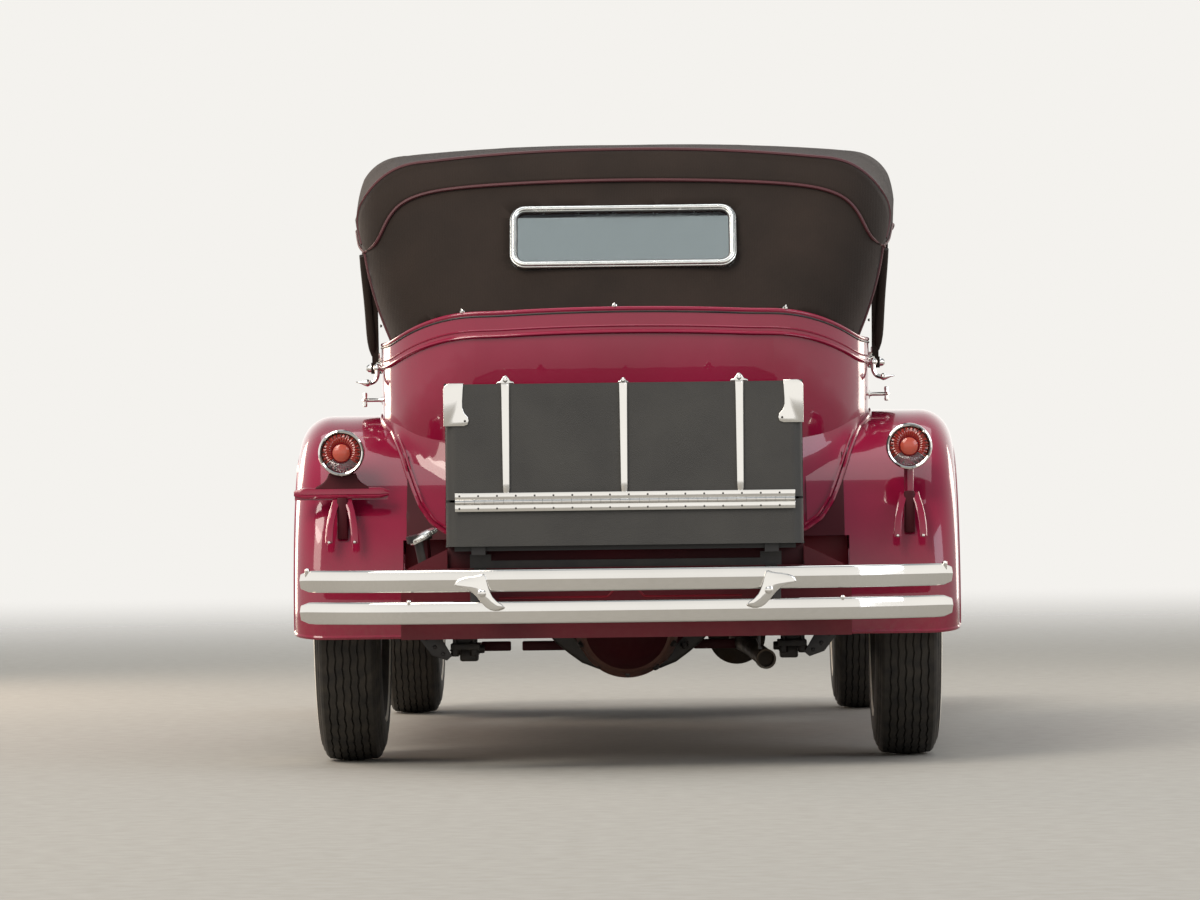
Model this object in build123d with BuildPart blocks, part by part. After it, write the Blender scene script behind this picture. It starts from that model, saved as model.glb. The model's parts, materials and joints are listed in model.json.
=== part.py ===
from build123d import *
import math
import os

# Touring car of the late 1920s with its cloth top up and a luggage trunk on the rear rack.
# Millimetres. +Y points to the front of the car, +X to its right-hand side, +Z up.
# The origin lies on the floor under the middle of the car.

os.makedirs("parts", exist_ok=True)


def save(builder, name):
    """Labels one finished piece and writes it to its own file."""
    builder.part.label = name
    export_step(builder.part, f"parts/{name}.step")


def both_sides(builder, name):
    """Writes a piece built on the right-hand side together with its mirror image."""
    with BuildPart() as pair:
        add(builder.part)
        mirror(builder.part, about=Plane.YZ)
    save(pair, name)


SIDES = {"left": -1, "right": 1}

# Wheels, tyres and axles
WHEELBASE = 3400
TRACK_REAR = 1496
TRACK_FRONT = 1448
TYRE_RADIUS = 419
TYRE_WIDTH = 178
TREAD_WIDTH = 132
RIM_RADIUS = 241
BEAD_WIDTH = 118
RIM_CLEARANCE = 0.3
FLANGE_RADIUS = 256
FLANGE_THICKNESS = 8
RIM_THICKNESS = 9
FELLOE_WIDTH = 58
FELLOE_DEPTH = 34
SPOKE_COUNT = 12
SPOKE_OUTER_RADIUS = 17
SPOKE_HUB_RADIUS = 23
HUB_RADIUS = 74
HUB_OUTBOARD = 46
HUB_CAP_RADIUS = 52
HUB_CAP_LENGTH = 44
DRUM_RADIUS = 188
DRUM_WIDTH = 52
DRUM_INBOARD = 62
SPINDLE_RADIUS = 25
SPINDLE_LENGTH = 96
SPINDLE_CLEARANCE = 0.3
REAR_AXLE_Y = -1535
FRONT_AXLE_Y = REAR_AXLE_Y + WHEELBASE
AXLE_Z = TYRE_RADIUS

# Frame
RAIL_OUTER_X = 405
RAIL_FLANGE = 55
RAIL_HEIGHT = 130
RAIL_WALL = 7
RAIL_TOP_Z = 560
KICK_TOP_Z = 672
KICK_HEIGHT = 96
FRAME_REAR_Y = REAR_AXLE_Y - 738
FRAME_FRONT_Y = FRONT_AXLE_Y + 400
RACK_Z = 564
GEARBOX_BACK_Y = REAR_AXLE_Y + 1720
GEARBOX_Z = 428
GEARBOX_RADIUS = 90
BELL_RADIUS = 126

# Body shell
WALL = 36
BODY_BOTTOM_Z = RAIL_TOP_Z
RIM_Z = 1125
RIM_BACK_Z = 1208
BACK_TURN = 8
COWL_BACK_Y = REAR_AXLE_Y + 1900
COWL_FRONT_Y = REAR_AXLE_Y + 2360
FLOOR_THICKNESS = 20
BODY_TOP_LIMIT_Z = 1260

# Doors
DOOR_GAP = 6
DOOR_BOTTOM_Z = 590
REAR_DOOR_BACK_Y = REAR_AXLE_Y + 545
REAR_DOOR_FRONT_Y = REAR_AXLE_Y + 1140
FRONT_DOOR_BACK_Y = REAR_AXLE_Y + 1260
FRONT_DOOR_FRONT_Y = COWL_BACK_Y - 3
DOOR_CORNER = 70
HINGE_RADIUS = 9
HINGE_OFFSET = 11
HINGE_KNUCKLE = 26
HINGE_PLAY = 0.5
HINGE_LEVELS = (690, 1020)

# Hood and radiator
HOOD_BOTTOM_Z = 735
HOOD_SHEET = 6
HOOD_GAP = 8
HOOD_ROD_RADIUS = 6
HOOD_ROD_PLAY = 0.8
RADIATOR_BACK_Y = REAR_AXLE_Y + 3326
RADIATOR_DEPTH = 105
RADIATOR_BOTTOM_Z = 500
SHELL_BAND = 34

# Fenders
FENDER_SHEET = 6
FENDER_OUTER_X = 880
FENDER_LIP = 58
FENDER_ROUND = 86
REAR_ARCH_RADIUS = 516
FRONT_ARCH_RADIUS = 522
BOARD_TOP_Z = 372
BOARD_THICKNESS = 26
BOARD_INNER_X = 600


def section_side(half_front, half_quarter, front_y, quarter_y):
    """Middle point of the bowed side of a plan outline, which runs square to the quarter."""
    length = front_y - quarter_y
    spread = half_quarter - half_front
    radius = (length**2 + spread**2) / (2 * spread)
    half_angle = math.asin(length / radius) / 2
    return (
        half_quarter - radius + radius * math.cos(half_angle),
        quarter_y + radius * math.sin(half_angle),
    )


def body_plan(half_front, half_quarter, back_y, corner, front_y, inset=0):
    """Plan outline of a body: bowed sides, round rear corners and a crowned back."""
    half_front -= inset
    half_quarter -= inset
    back_y += inset
    corner -= inset
    crown = math.radians(BACK_TURN)
    end_x = half_quarter - corner + corner * math.sin(crown)
    back_radius = end_x / math.sin(crown)
    end_y = back_y + back_radius * (1 - math.cos(crown))
    quarter_y = end_y + corner * math.cos(crown)
    side_x, side_y = section_side(half_front, half_quarter, front_y, quarter_y)
    arc_x = half_quarter - corner + corner * math.cos(math.radians(45 - BACK_TURN / 2))
    arc_y = quarter_y - corner * math.sin(math.radians(45 - BACK_TURN / 2))
    with BuildSketch() as plan:
        with BuildLine():
            ThreePointArc((half_front, front_y), (side_x, side_y), (half_quarter, quarter_y))
            ThreePointArc((half_quarter, quarter_y), (arc_x, arc_y), (end_x, end_y))
            ThreePointArc((end_x, end_y), (0, back_y), (-end_x, end_y))
            ThreePointArc((-end_x, end_y), (-arc_x, arc_y), (-half_quarter, quarter_y))
            ThreePointArc((-half_quarter, quarter_y), (-side_x, side_y), (-half_front, front_y))
            Line((-half_front, front_y), (half_front, front_y))
        make_face()
    return plan.sketch


# Body sections. Columns: level, half width at the cowl, half width at the quarter,
# back of the body behind the rear axle, radius of the rear corner.
BODY_SECTIONS = (
    (BODY_BOTTOM_Z, 520, 612, 330, 250),
    (760, 545, 645, 388, 280),
    (1000, 560, 658, 418, 300),
    (BODY_TOP_LIMIT_Z, 562, 655, 430, 300),
)


def body_solid(inset, front_y):
    """The body's full form, or its cavity when inset by the wall."""
    with BuildPart() as form:
        for level, half_front, half_quarter, back, corner in BODY_SECTIONS:
            with BuildSketch(Plane.XY.offset(level)):
                add(body_plan(half_front, half_quarter, REAR_AXLE_Y - back, corner, front_y, inset))
        loft()
    return form.part


body_outer = body_solid(0, COWL_BACK_Y)
body_inner = body_solid(WALL, COWL_BACK_Y + 1)


def arch_outline(bottom_half, bottom_z, side_half, shoulder_z, radius, top_z, inset=0):
    """Upright arch: sides that lean, round shoulders and a crowned top."""
    bottom_half -= inset
    side_half -= inset
    top_z -= inset
    radius -= inset
    knee = 0.7071
    corner_x = side_half - radius * (1 - knee)
    corner_z = shoulder_z + radius * knee
    with BuildSketch() as arch:
        with BuildLine():
            Line((-bottom_half, bottom_z), (bottom_half, bottom_z))
            Line((bottom_half, bottom_z), (side_half, shoulder_z))
            ThreePointArc(
                (side_half, shoulder_z),
                (corner_x, corner_z),
                (side_half - radius, shoulder_z + radius),
            )
            ThreePointArc(
                (side_half - radius, shoulder_z + radius),
                (0, top_z),
                (-side_half + radius, shoulder_z + radius),
            )
            ThreePointArc(
                (-side_half + radius, shoulder_z + radius),
                (-corner_x, corner_z),
                (-side_half, shoulder_z),
            )
            Line((-side_half, shoulder_z), (-bottom_half, bottom_z))
        make_face()
    return arch.sketch


def station(y):
    """Upright plane across the car: local x is X, local y is Z, and it looks rearwards."""
    return Plane(origin=(0, y, 0), x_dir=(1, 0, 0), z_dir=(0, -1, 0))


# Cowl sections. Columns: station, half width at the bottom, half width at the shoulder,
# shoulder level, shoulder radius, top level.
COWL_SECTIONS = (
    (COWL_BACK_Y, 520, 562, 1030, 95, 1166),
    (COWL_FRONT_Y, 404, 428, 1010, 95, 1150),
)
# Hood sections, in the same columns.
HOOD_SECTIONS = (
    (COWL_FRONT_Y + HOOD_GAP, 410, 428, 1010, 95, 1150),
    (RADIATOR_BACK_Y - HOOD_GAP, 282, 296, 975, 95, 1112),
)


def arch_solid(sections, bottom_z, inset=0, overrun=0):
    """Closed form between two upright arches, run past both ends by the overrun."""
    with BuildPart() as form:
        for y, bottom_half, side_half, shoulder_z, radius, top_z in sections:
            past = overrun if y == max(row[0] for row in sections) else -overrun
            with BuildSketch(station(y + past)):
                add(arch_outline(bottom_half, bottom_z, side_half, shoulder_z, radius, top_z, inset))
        loft(ruled=True)
    return form.part


def side_prism(points, low_x, high_x, rounding=0):
    """Solid with a side-view outline, between two distances from the middle of the car."""
    with BuildPart() as prism:
        with BuildSketch(Plane.YZ.offset(low_x)) as outline:
            with BuildLine():
                Polyline(*points, close=True)
            make_face()
            if rounding:
                fillet(outline.vertices(), rounding)
        extrude(amount=high_x - low_x)
    return prism.part


# Wheels: steel rim, wooden felloe and spokes, hub, cap and brake drum turn together
def wheel_plane(x, y):
    return Plane(origin=(x, y, AXLE_Z), x_dir=(1, 0, 0), z_dir=(0, -1, 0))


def make_tyre(name, x, y):
    bead = RIM_RADIUS + RIM_CLEARANCE
    with BuildPart() as tyre:
        with BuildSketch(wheel_plane(x, y)):
            with BuildLine():
                Line((-BEAD_WIDTH / 2, bead), (BEAD_WIDTH / 2, bead))
                Line((BEAD_WIDTH / 2, bead), (BEAD_WIDTH / 2, FLANGE_RADIUS + 6))
                ThreePointArc(
                    (BEAD_WIDTH / 2, FLANGE_RADIUS + 6),
                    (TYRE_WIDTH / 2, (FLANGE_RADIUS + TYRE_RADIUS) / 2),
                    (TREAD_WIDTH / 2, TYRE_RADIUS - 6),
                )
                ThreePointArc(
                    (TREAD_WIDTH / 2, TYRE_RADIUS - 6),
                    (0, TYRE_RADIUS),
                    (-TREAD_WIDTH / 2, TYRE_RADIUS - 6),
                )
                ThreePointArc(
                    (-TREAD_WIDTH / 2, TYRE_RADIUS - 6),
                    (-TYRE_WIDTH / 2, (FLANGE_RADIUS + TYRE_RADIUS) / 2),
                    (-BEAD_WIDTH / 2, FLANGE_RADIUS + 6),
                )
                Line((-BEAD_WIDTH / 2, FLANGE_RADIUS + 6), (-BEAD_WIDTH / 2, bead))
            make_face()
        revolve(axis=Axis((x, y, AXLE_Z), (1, 0, 0)))
    save(tyre, name)


def make_wheel(name, x, y):
    out = 1 if x > 0 else -1
    axle = Axis((x, y, AXLE_Z), (1, 0, 0))
    half_bead = BEAD_WIDTH / 2
    felloe_outer = RIM_RADIUS - RIM_THICKNESS
    felloe_inner = felloe_outer - FELLOE_DEPTH
    drum_in = -DRUM_INBOARD
    with BuildPart() as wheel:
        with BuildSketch(wheel_plane(x, y)):
            with BuildLine():
                Polyline(
                    (-half_bead - FLANGE_THICKNESS, FLANGE_RADIUS),
                    (-half_bead - RIM_CLEARANCE, FLANGE_RADIUS),
                    (-half_bead - RIM_CLEARANCE, RIM_RADIUS),
                    (half_bead + RIM_CLEARANCE, RIM_RADIUS),
                    (half_bead + RIM_CLEARANCE, FLANGE_RADIUS),
                    (half_bead + FLANGE_THICKNESS, FLANGE_RADIUS),
                    (half_bead + FLANGE_THICKNESS, felloe_outer),
                    (FELLOE_WIDTH / 2, felloe_outer),
                    (FELLOE_WIDTH / 2, felloe_inner),
                    (-FELLOE_WIDTH / 2, felloe_inner),
                    (-FELLOE_WIDTH / 2, felloe_outer),
                    (-half_bead - FLANGE_THICKNESS, felloe_outer),
                    close=True,
                )
            make_face()
        revolve(axis=axle)
        # hub with its cap outboard
        with BuildSketch(wheel_plane(x, y)):
            with BuildLine():
                Polyline(
                    (out * drum_in, 0),
                    (out * drum_in, HUB_RADIUS - 8),
                    (out * (drum_in + DRUM_WIDTH), HUB_RADIUS),
                    (out * HUB_OUTBOARD, HUB_RADIUS),
                    (out * HUB_OUTBOARD, HUB_CAP_RADIUS),
                    (out * (HUB_OUTBOARD + HUB_CAP_LENGTH - 12), HUB_CAP_RADIUS - 3),
                    (out * (HUB_OUTBOARD + HUB_CAP_LENGTH), HUB_CAP_RADIUS - 18),
                    (out * (HUB_OUTBOARD + HUB_CAP_LENGTH), 0),
                    close=True,
                )
            make_face()
        revolve(axis=axle)
        # brake drum, open on its inboard side
        with BuildSketch(wheel_plane(x, y)):
            with BuildLine():
                Polyline(
                    (out * (drum_in + DRUM_WIDTH - 8), HUB_RADIUS - 4),
                    (out * (drum_in + DRUM_WIDTH), HUB_RADIUS - 4),
                    (out * (drum_in + DRUM_WIDTH), DRUM_RADIUS),
                    (out * drum_in, DRUM_RADIUS),
                    (out * drum_in, DRUM_RADIUS - 9),
                    (out * (drum_in + DRUM_WIDTH - 8), DRUM_RADIUS - 9),
                    close=True,
                )
            make_face()
        revolve(axis=axle)
        # spokes, thicker at the hub
        spoke_length = felloe_inner - HUB_RADIUS + 14
        with Locations(Location((x, y, AXLE_Z), (0, 90, 0))):
            with PolarLocations(HUB_RADIUS - 7, SPOKE_COUNT):
                Cone(
                    SPOKE_HUB_RADIUS,
                    SPOKE_OUTER_RADIUS,
                    spoke_length,
                    rotation=(0, 90, 0),
                    align=(Align.CENTER, Align.CENTER, Align.MIN),
                )
        # blind bore for the spindle
        with BuildSketch(Plane.YZ.offset(x + out * drum_in)):
            with Locations((y, AXLE_Z)):
                Circle(SPINDLE_RADIUS + SPINDLE_CLEARANCE)
        extrude(amount=out * (SPINDLE_LENGTH + 4), mode=Mode.SUBTRACT)
    save(wheel, name)


WHEELS = {
    "front_left": (-TRACK_FRONT / 2, FRONT_AXLE_Y),
    "front_right": (TRACK_FRONT / 2, FRONT_AXLE_Y),
    "rear_left": (-TRACK_REAR / 2, REAR_AXLE_Y),
    "rear_right": (TRACK_REAR / 2, REAR_AXLE_Y),
}
for place, (wheel_x, wheel_y) in WHEELS.items():
    make_tyre(f"tyre_{place}", wheel_x, wheel_y)
    make_wheel(f"wheel_{place}", wheel_x, wheel_y)


# Front axle, an I-beam that drops between the kingpins
KINGPIN_X = 615
KINGPIN_RADIUS = 13
BOSS_RADIUS = 23
BOSS_HALF_HEIGHT = 48
BEAM_HEIGHT = 66
BEAM_DEPTH = 56
BEAM_DROP = 92
BEAM_WEB = 16
BEAM_FLAT_X = 450
YOKE_PLAY = 2
YOKE_EAR = 24
YOKE_WEB_X = 26
YOKE_WEB = 12
BACKING_RADIUS = 176
BACKING_THICKNESS = 5
STEERING_ARM = 150

with BuildPart() as front_axle:
    beam_z = AXLE_Z - BEAM_DROP
    with BuildSketch(station(FRONT_AXLE_Y + BEAM_DEPTH / 2)) as beam:
        with BuildLine():
            Polyline(
                (-KINGPIN_X, AXLE_Z - BEAM_HEIGHT / 2),
                (-BEAM_FLAT_X, beam_z - BEAM_HEIGHT / 2),
                (BEAM_FLAT_X, beam_z - BEAM_HEIGHT / 2),
                (KINGPIN_X, AXLE_Z - BEAM_HEIGHT / 2),
                (KINGPIN_X, AXLE_Z + BEAM_HEIGHT / 2),
                (BEAM_FLAT_X, beam_z + BEAM_HEIGHT / 2),
                (-BEAM_FLAT_X, beam_z + BEAM_HEIGHT / 2),
                (-KINGPIN_X, AXLE_Z + BEAM_HEIGHT / 2),
                close=True,
            )
        make_face()
    extrude(amount=BEAM_DEPTH)
    # hollow faces of the I-section, front and back
    for face_y, way in ((FRONT_AXLE_Y + BEAM_DEPTH / 2, 1), (FRONT_AXLE_Y - BEAM_DEPTH / 2, -1)):
        with BuildSketch(station(face_y)):
            with BuildLine():
                Polyline(
                    (-BEAM_FLAT_X - 60, beam_z + 44 - BEAM_HEIGHT / 2 + 10),
                    (-BEAM_FLAT_X + 8, beam_z - BEAM_HEIGHT / 2 + 12),
                    (BEAM_FLAT_X - 8, beam_z - BEAM_HEIGHT / 2 + 12),
                    (BEAM_FLAT_X + 60, beam_z + 44 - BEAM_HEIGHT / 2 + 10),
                    (BEAM_FLAT_X + 60, beam_z + 44 + BEAM_HEIGHT / 2 - 22),
                    (BEAM_FLAT_X - 8, beam_z + BEAM_HEIGHT / 2 - 12),
                    (-BEAM_FLAT_X + 8, beam_z + BEAM_HEIGHT / 2 - 12),
                    (-BEAM_FLAT_X - 60, beam_z + 44 + BEAM_HEIGHT / 2 - 22),
                    close=True,
                )
            make_face()
        extrude(amount=way * (BEAM_DEPTH - BEAM_WEB) / 2, mode=Mode.SUBTRACT)
    for side in SIDES.values():
        with Locations((side * KINGPIN_X, FRONT_AXLE_Y, AXLE_Z)):
            Cylinder(BOSS_RADIUS, 2 * BOSS_HALF_HEIGHT)
            Cylinder(KINGPIN_RADIUS, 2 * (BOSS_HALF_HEIGHT + YOKE_PLAY + YOKE_EAR - 2))
save(front_axle, "front_axle")


def make_knuckle(name, side):
    """Forked knuckle on the kingpin, with spindle, backing plate and steering arm."""
    pin_x = side * KINGPIN_X
    web_x = KINGPIN_X + YOKE_WEB_X
    ear_z = BOSS_HALF_HEIGHT + YOKE_PLAY
    wheel_in = TRACK_FRONT / 2 - DRUM_INBOARD
    with BuildPart() as knuckle:
        for way in (-1, 1):
            with Locations((pin_x, FRONT_AXLE_Y, AXLE_Z + way * (ear_z + YOKE_EAR / 2))):
                Cylinder(BOSS_RADIUS + 3, YOKE_EAR)
            with Locations(
                (side * (KINGPIN_X + web_x + YOKE_WEB) / 2, FRONT_AXLE_Y, AXLE_Z + way * (ear_z + YOKE_EAR / 2))
            ):
                Box(web_x + YOKE_WEB - KINGPIN_X, 2 * BOSS_RADIUS, YOKE_EAR)
        with Locations((side * (web_x + YOKE_WEB / 2), FRONT_AXLE_Y, AXLE_Z)):
            Box(YOKE_WEB, 2 * BOSS_RADIUS, 2 * (ear_z + YOKE_EAR))
        # backing plate just inside the drum's mouth, with its flange to the yoke
        with BuildSketch(Plane.YZ.offset(side * (wheel_in - BACKING_THICKNESS - 3))):
            with Locations((FRONT_AXLE_Y, AXLE_Z)):
                Circle(BACKING_RADIUS)
        extrude(amount=side * BACKING_THICKNESS)
        # spindle into the hub
        with BuildSketch(Plane.YZ.offset(side * web_x)):
            with Locations((FRONT_AXLE_Y, AXLE_Z)):
                Circle(SPINDLE_RADIUS)
        extrude(amount=side * (wheel_in + SPINDLE_LENGTH - web_x))
        # arm that reaches back to the tie rod
        with Locations(
            (side * (KINGPIN_X + 8), FRONT_AXLE_Y - STEERING_ARM / 2, AXLE_Z - ear_z - YOKE_EAR / 2)
        ):
            Box(30, STEERING_ARM + 2 * BOSS_RADIUS - 10, 16)
        # the ears swing on the kingpin
        with Locations((pin_x, FRONT_AXLE_Y, AXLE_Z)):
            Cylinder(
                KINGPIN_RADIUS + SPINDLE_CLEARANCE,
                2 * (ear_z + YOKE_EAR) + 1,
                mode=Mode.SUBTRACT,
            )
    save(knuckle, name)


for side_name, side in SIDES.items():
    make_knuckle(f"knuckle_{side_name}", side)

# Tie rod that joins the two steering arms
TIE_ROD_RADIUS = 13
TIE_ROD_Z = AXLE_Z - BOSS_HALF_HEIGHT - YOKE_PLAY - YOKE_EAR / 2 - 8 - TIE_ROD_RADIUS - 0.3
with BuildPart() as tie_rod:
    with BuildSketch(Plane.YZ.offset(-KINGPIN_X - 16)):
        with Locations((FRONT_AXLE_Y - STEERING_ARM, TIE_ROD_Z)):
            Circle(TIE_ROD_RADIUS)
    extrude(amount=2 * (KINGPIN_X + 16))
save(tie_rod, "tie_rod")

# Rear axle: tubes and a banjo that swells round the differential
AXLE_TUBE_RADIUS = 44
BANJO_RADIUS = 188
BANJO_HALF = 262
SHAFT_RADIUS = 38
with BuildPart() as rear_axle:
    tube_end = TRACK_REAR / 2 - DRUM_INBOARD - 3
    with BuildSketch(wheel_plane(0, REAR_AXLE_Y)):
        with BuildLine():
            Line((-tube_end, 0), (tube_end, 0))
            Line((tube_end, 0), (tube_end, AXLE_TUBE_RADIUS))
            Line((tube_end, AXLE_TUBE_RADIUS), (BANJO_HALF, AXLE_TUBE_RADIUS))
            ThreePointArc((BANJO_HALF, AXLE_TUBE_RADIUS), (188, 68), (128, 118))
            ThreePointArc((128, 118), (0, BANJO_RADIUS), (-128, 118))
            ThreePointArc((-128, 118), (-188, 68), (-BANJO_HALF, AXLE_TUBE_RADIUS))
            Line((-BANJO_HALF, AXLE_TUBE_RADIUS), (-tube_end, AXLE_TUBE_RADIUS))
            Line((-tube_end, AXLE_TUBE_RADIUS), (-tube_end, 0))
        make_face()
    revolve(axis=Axis((0, REAR_AXLE_Y, AXLE_Z), (1, 0, 0)))
    # nose that carries the drive shaft
    with BuildSketch(station(REAR_AXLE_Y + 150)):
        with Locations((0, AXLE_Z)):
            Circle(96)
    with BuildSketch(station(REAR_AXLE_Y + 300)):
        with Locations((0, AXLE_Z)):
            Circle(56)
    loft()
    for side in SIDES.values():
        # spindle into the hub and backing plate
        with BuildSketch(Plane.YZ.offset(side * (tube_end - 20))):
            with Locations((REAR_AXLE_Y, AXLE_Z)):
                Circle(SPINDLE_RADIUS)
        extrude(amount=side * (20 + 3 + SPINDLE_LENGTH))
        with BuildSketch(Plane.YZ.offset(side * (tube_end - BACKING_THICKNESS))):
            with Locations((REAR_AXLE_Y, AXLE_Z)):
                Circle(BACKING_RADIUS)
        extrude(amount=side * BACKING_THICKNESS)
    # drive shaft from the gearbox
    with BuildSketch(station(GEARBOX_BACK_Y - 0.3)):
        with Locations((0, GEARBOX_Z)):
            Circle(SHAFT_RADIUS)
    with BuildSketch(station(REAR_AXLE_Y + 290)):
        with Locations((0, AXLE_Z)):
            Circle(SHAFT_RADIUS)
    loft(ruled=True)
save(rear_axle, "rear_axle")


# Leaf springs. Each leaf is a slice of a ring about one centre, so that the leaves nest.
LEAF_THICKNESS = 8
LEAF_WIDTH = 50


def leaf_spring(x, centre_y, low_z, half_lengths, sag):
    """Spring of curved leaves, the longest on top, its lowest leaf at low_z over centre_y."""
    longest = max(half_lengths)
    radius = (longest**2 + sag**2) / (2 * sag)
    count = len(half_lengths)
    with BuildPart() as spring:
        with BuildSketch(Plane.YZ.offset(x - LEAF_WIDTH / 2)):
            for i, half in enumerate(half_lengths):
                low = low_z + (count - 1 - i) * LEAF_THICKNESS
                inner = radius - (low - low_z) - LEAF_THICKNESS
                outer = radius - (low - low_z)
                turn = half / radius
                centre_z = low_z + radius
                ends = [
                    (centre_y + r * math.sin(a), centre_z - r * math.cos(a))
                    for r, a in ((outer, -turn), (outer, turn), (inner, turn), (inner, -turn))
                ]
                with BuildLine():
                    ThreePointArc(ends[0], (centre_y, centre_z - outer), ends[1])
                    Line(ends[1], ends[2])
                    ThreePointArc(ends[2], (centre_y, centre_z - inner), ends[3])
                    Line(ends[3], ends[0])
                make_face()
        extrude(amount=LEAF_WIDTH)
    return spring.part


REAR_SPRING_X = 445
FRONT_SPRING_X = 375
REAR_LEAVES = (660, 560, 450, 340, 230)
FRONT_LEAVES = (440, 360, 270, 160)
SPRING_SAG = 120
FRONT_SPRING_SAG = 32
REAR_STACK = len(REAR_LEAVES) * LEAF_THICKNESS
rear_spring_z = AXLE_Z - AXLE_TUBE_RADIUS - REAR_STACK - 0.3
front_spring_z = AXLE_Z - BEAM_DROP + BEAM_HEIGHT / 2 + 0.3


def leaf_top(reach, low_z, leaves, sag):
    """Level of the spring's upper side at a distance from its middle, with a 17 mm margin."""
    radius = (max(leaves) ** 2 + sag**2) / (2 * sag)
    inner = radius - len(leaves) * LEAF_THICKNESS
    return low_z + radius - math.sqrt(inner**2 - (abs(reach) + 17) ** 2)


with BuildPart() as springs:
    for side in SIDES.values():
        add(leaf_spring(side * REAR_SPRING_X, REAR_AXLE_Y, rear_spring_z, REAR_LEAVES, SPRING_SAG))
        add(
            leaf_spring(
                side * FRONT_SPRING_X, FRONT_AXLE_Y, front_spring_z, FRONT_LEAVES, FRONT_SPRING_SAG
            )
        )
save(springs, "leaf_springs")

# Frame: two channel rails with a kick-up over the rear axle, joined by cross-members
rail_low = RAIL_TOP_Z - RAIL_HEIGHT
kick_low = KICK_TOP_Z - KICK_HEIGHT
RAIL_OUTLINE = (
    (FRAME_REAR_Y, 462),
    (REAR_AXLE_Y - 470, 462),
    (REAR_AXLE_Y - 250, kick_low),
    (REAR_AXLE_Y + 240, kick_low),
    (REAR_AXLE_Y + 620, rail_low),
    (FRONT_AXLE_Y - 560, rail_low),
    (FRONT_AXLE_Y - 250, 478),
    (FRONT_AXLE_Y + 200, 478),
    (FRAME_FRONT_Y + 26, 434),
    (FRAME_FRONT_Y + 26, 492),
    (FRONT_AXLE_Y + 220, RAIL_TOP_Z),
    (FRONT_AXLE_Y - 300, RAIL_TOP_Z),
    (REAR_AXLE_Y + 660, RAIL_TOP_Z),
    (REAR_AXLE_Y + 280, KICK_TOP_Z),
    (REAR_AXLE_Y - 270, KICK_TOP_Z),
    (REAR_AXLE_Y - 452, RACK_Z - 0.3),
    (FRAME_REAR_Y, RACK_Z - 0.3),
)
# Cross-members. Columns: station, level of the middle, height, depth.
CROSS_MEMBERS = (
    (FRONT_AXLE_Y + 180, 519, 60, 70),
    (REAR_AXLE_Y + 1950, 495, 100, 60),
    (REAR_AXLE_Y + 1000, 515, 74, 60),
    (REAR_AXLE_Y + 260, 624, 70, 60),
    (FRAME_REAR_Y + 30, 512, 70, 60),
)
with BuildPart() as frame:
    with BuildSketch(Plane.YZ.offset(RAIL_OUTER_X - RAIL_FLANGE)) as rail_side:
        with BuildLine():
            Polyline(*RAIL_OUTLINE, close=True)
        make_face()
    extrude(amount=RAIL_FLANGE)
    with BuildSketch(Plane.YZ.offset(RAIL_OUTER_X - RAIL_FLANGE)):
        offset(rail_side.sketch, amount=-RAIL_WALL, kind=Kind.INTERSECTION)
    extrude(amount=RAIL_FLANGE - RAIL_WALL, mode=Mode.SUBTRACT)
    mirror(about=Plane.YZ)
    for y, z, height, depth in CROSS_MEMBERS:
        with Locations((0, y, z)):
            Box(2 * (RAIL_OUTER_X - RAIL_WALL), depth, height)
    # hangers that reach the springs' ends
    for side in SIDES.values():
        for reach in (-640, 640):
            low = leaf_top(reach, rear_spring_z, REAR_LEAVES, SPRING_SAG) + 1
            with Locations((side * (RAIL_OUTER_X - 4), REAR_AXLE_Y + reach, low)):
                Box(
                    REAR_SPRING_X + LEAF_WIDTH / 2 - RAIL_OUTER_X + 4,
                    36,
                    40,
                    align=(Align.MIN if side > 0 else Align.MAX, Align.CENTER, Align.MIN),
                )
        for reach in (-415, 395):
            low = leaf_top(reach, front_spring_z, FRONT_LEAVES, FRONT_SPRING_SAG) + 0.6
            with Locations((side * FRONT_SPRING_X, FRONT_AXLE_Y + reach, low)):
                Box(LEAF_WIDTH, 34, 470 - low, align=(Align.CENTER, Align.CENTER, Align.MIN))
    # cradle that the gearbox rests in
    with BuildSketch(station(GEARBOX_BACK_Y + 400)):
        with Locations((0, GEARBOX_Z)):
            Circle(GEARBOX_RADIUS + 0.3)
    extrude(amount=400, mode=Mode.SUBTRACT)
save(frame, "chassis_frame")

# Engine and gearbox as one plain block, with the sump below
ENGINE_FRONT_Y = RADIATOR_BACK_Y - 130
ENGINE_BACK_Y = COWL_FRONT_Y + 60
ENGINE_HALF = 165
ENGINE_TOP_Z = 960
SUMP_Z = 350
with BuildPart() as engine:
    add(
        side_prism(
            (
                (ENGINE_BACK_Y, 440),
                (ENGINE_BACK_Y + 40, SUMP_Z),
                (ENGINE_FRONT_Y - 200, SUMP_Z),
                (ENGINE_FRONT_Y - 160, 430),
                (ENGINE_FRONT_Y, 450),
                (ENGINE_FRONT_Y, ENGINE_TOP_Z - 60),
                (ENGINE_FRONT_Y - 30, ENGINE_TOP_Z),
                (ENGINE_BACK_Y, ENGINE_TOP_Z),
            ),
            -ENGINE_HALF,
            ENGINE_HALF,
        )
    )
    with BuildSketch(station(ENGINE_BACK_Y)):
        with Locations((0, GEARBOX_Z)):
            Circle(BELL_RADIUS)
    with BuildSketch(station(ENGINE_BACK_Y - 260)):
        with Locations((0, GEARBOX_Z)):
            Circle(GEARBOX_RADIUS)
    loft()
    with BuildSketch(station(ENGINE_BACK_Y - 260)):
        with Locations((0, GEARBOX_Z)):
            Circle(GEARBOX_RADIUS)
    extrude(amount=ENGINE_BACK_Y - 260 - GEARBOX_BACK_Y)
save(engine, "engine_block")

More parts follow.
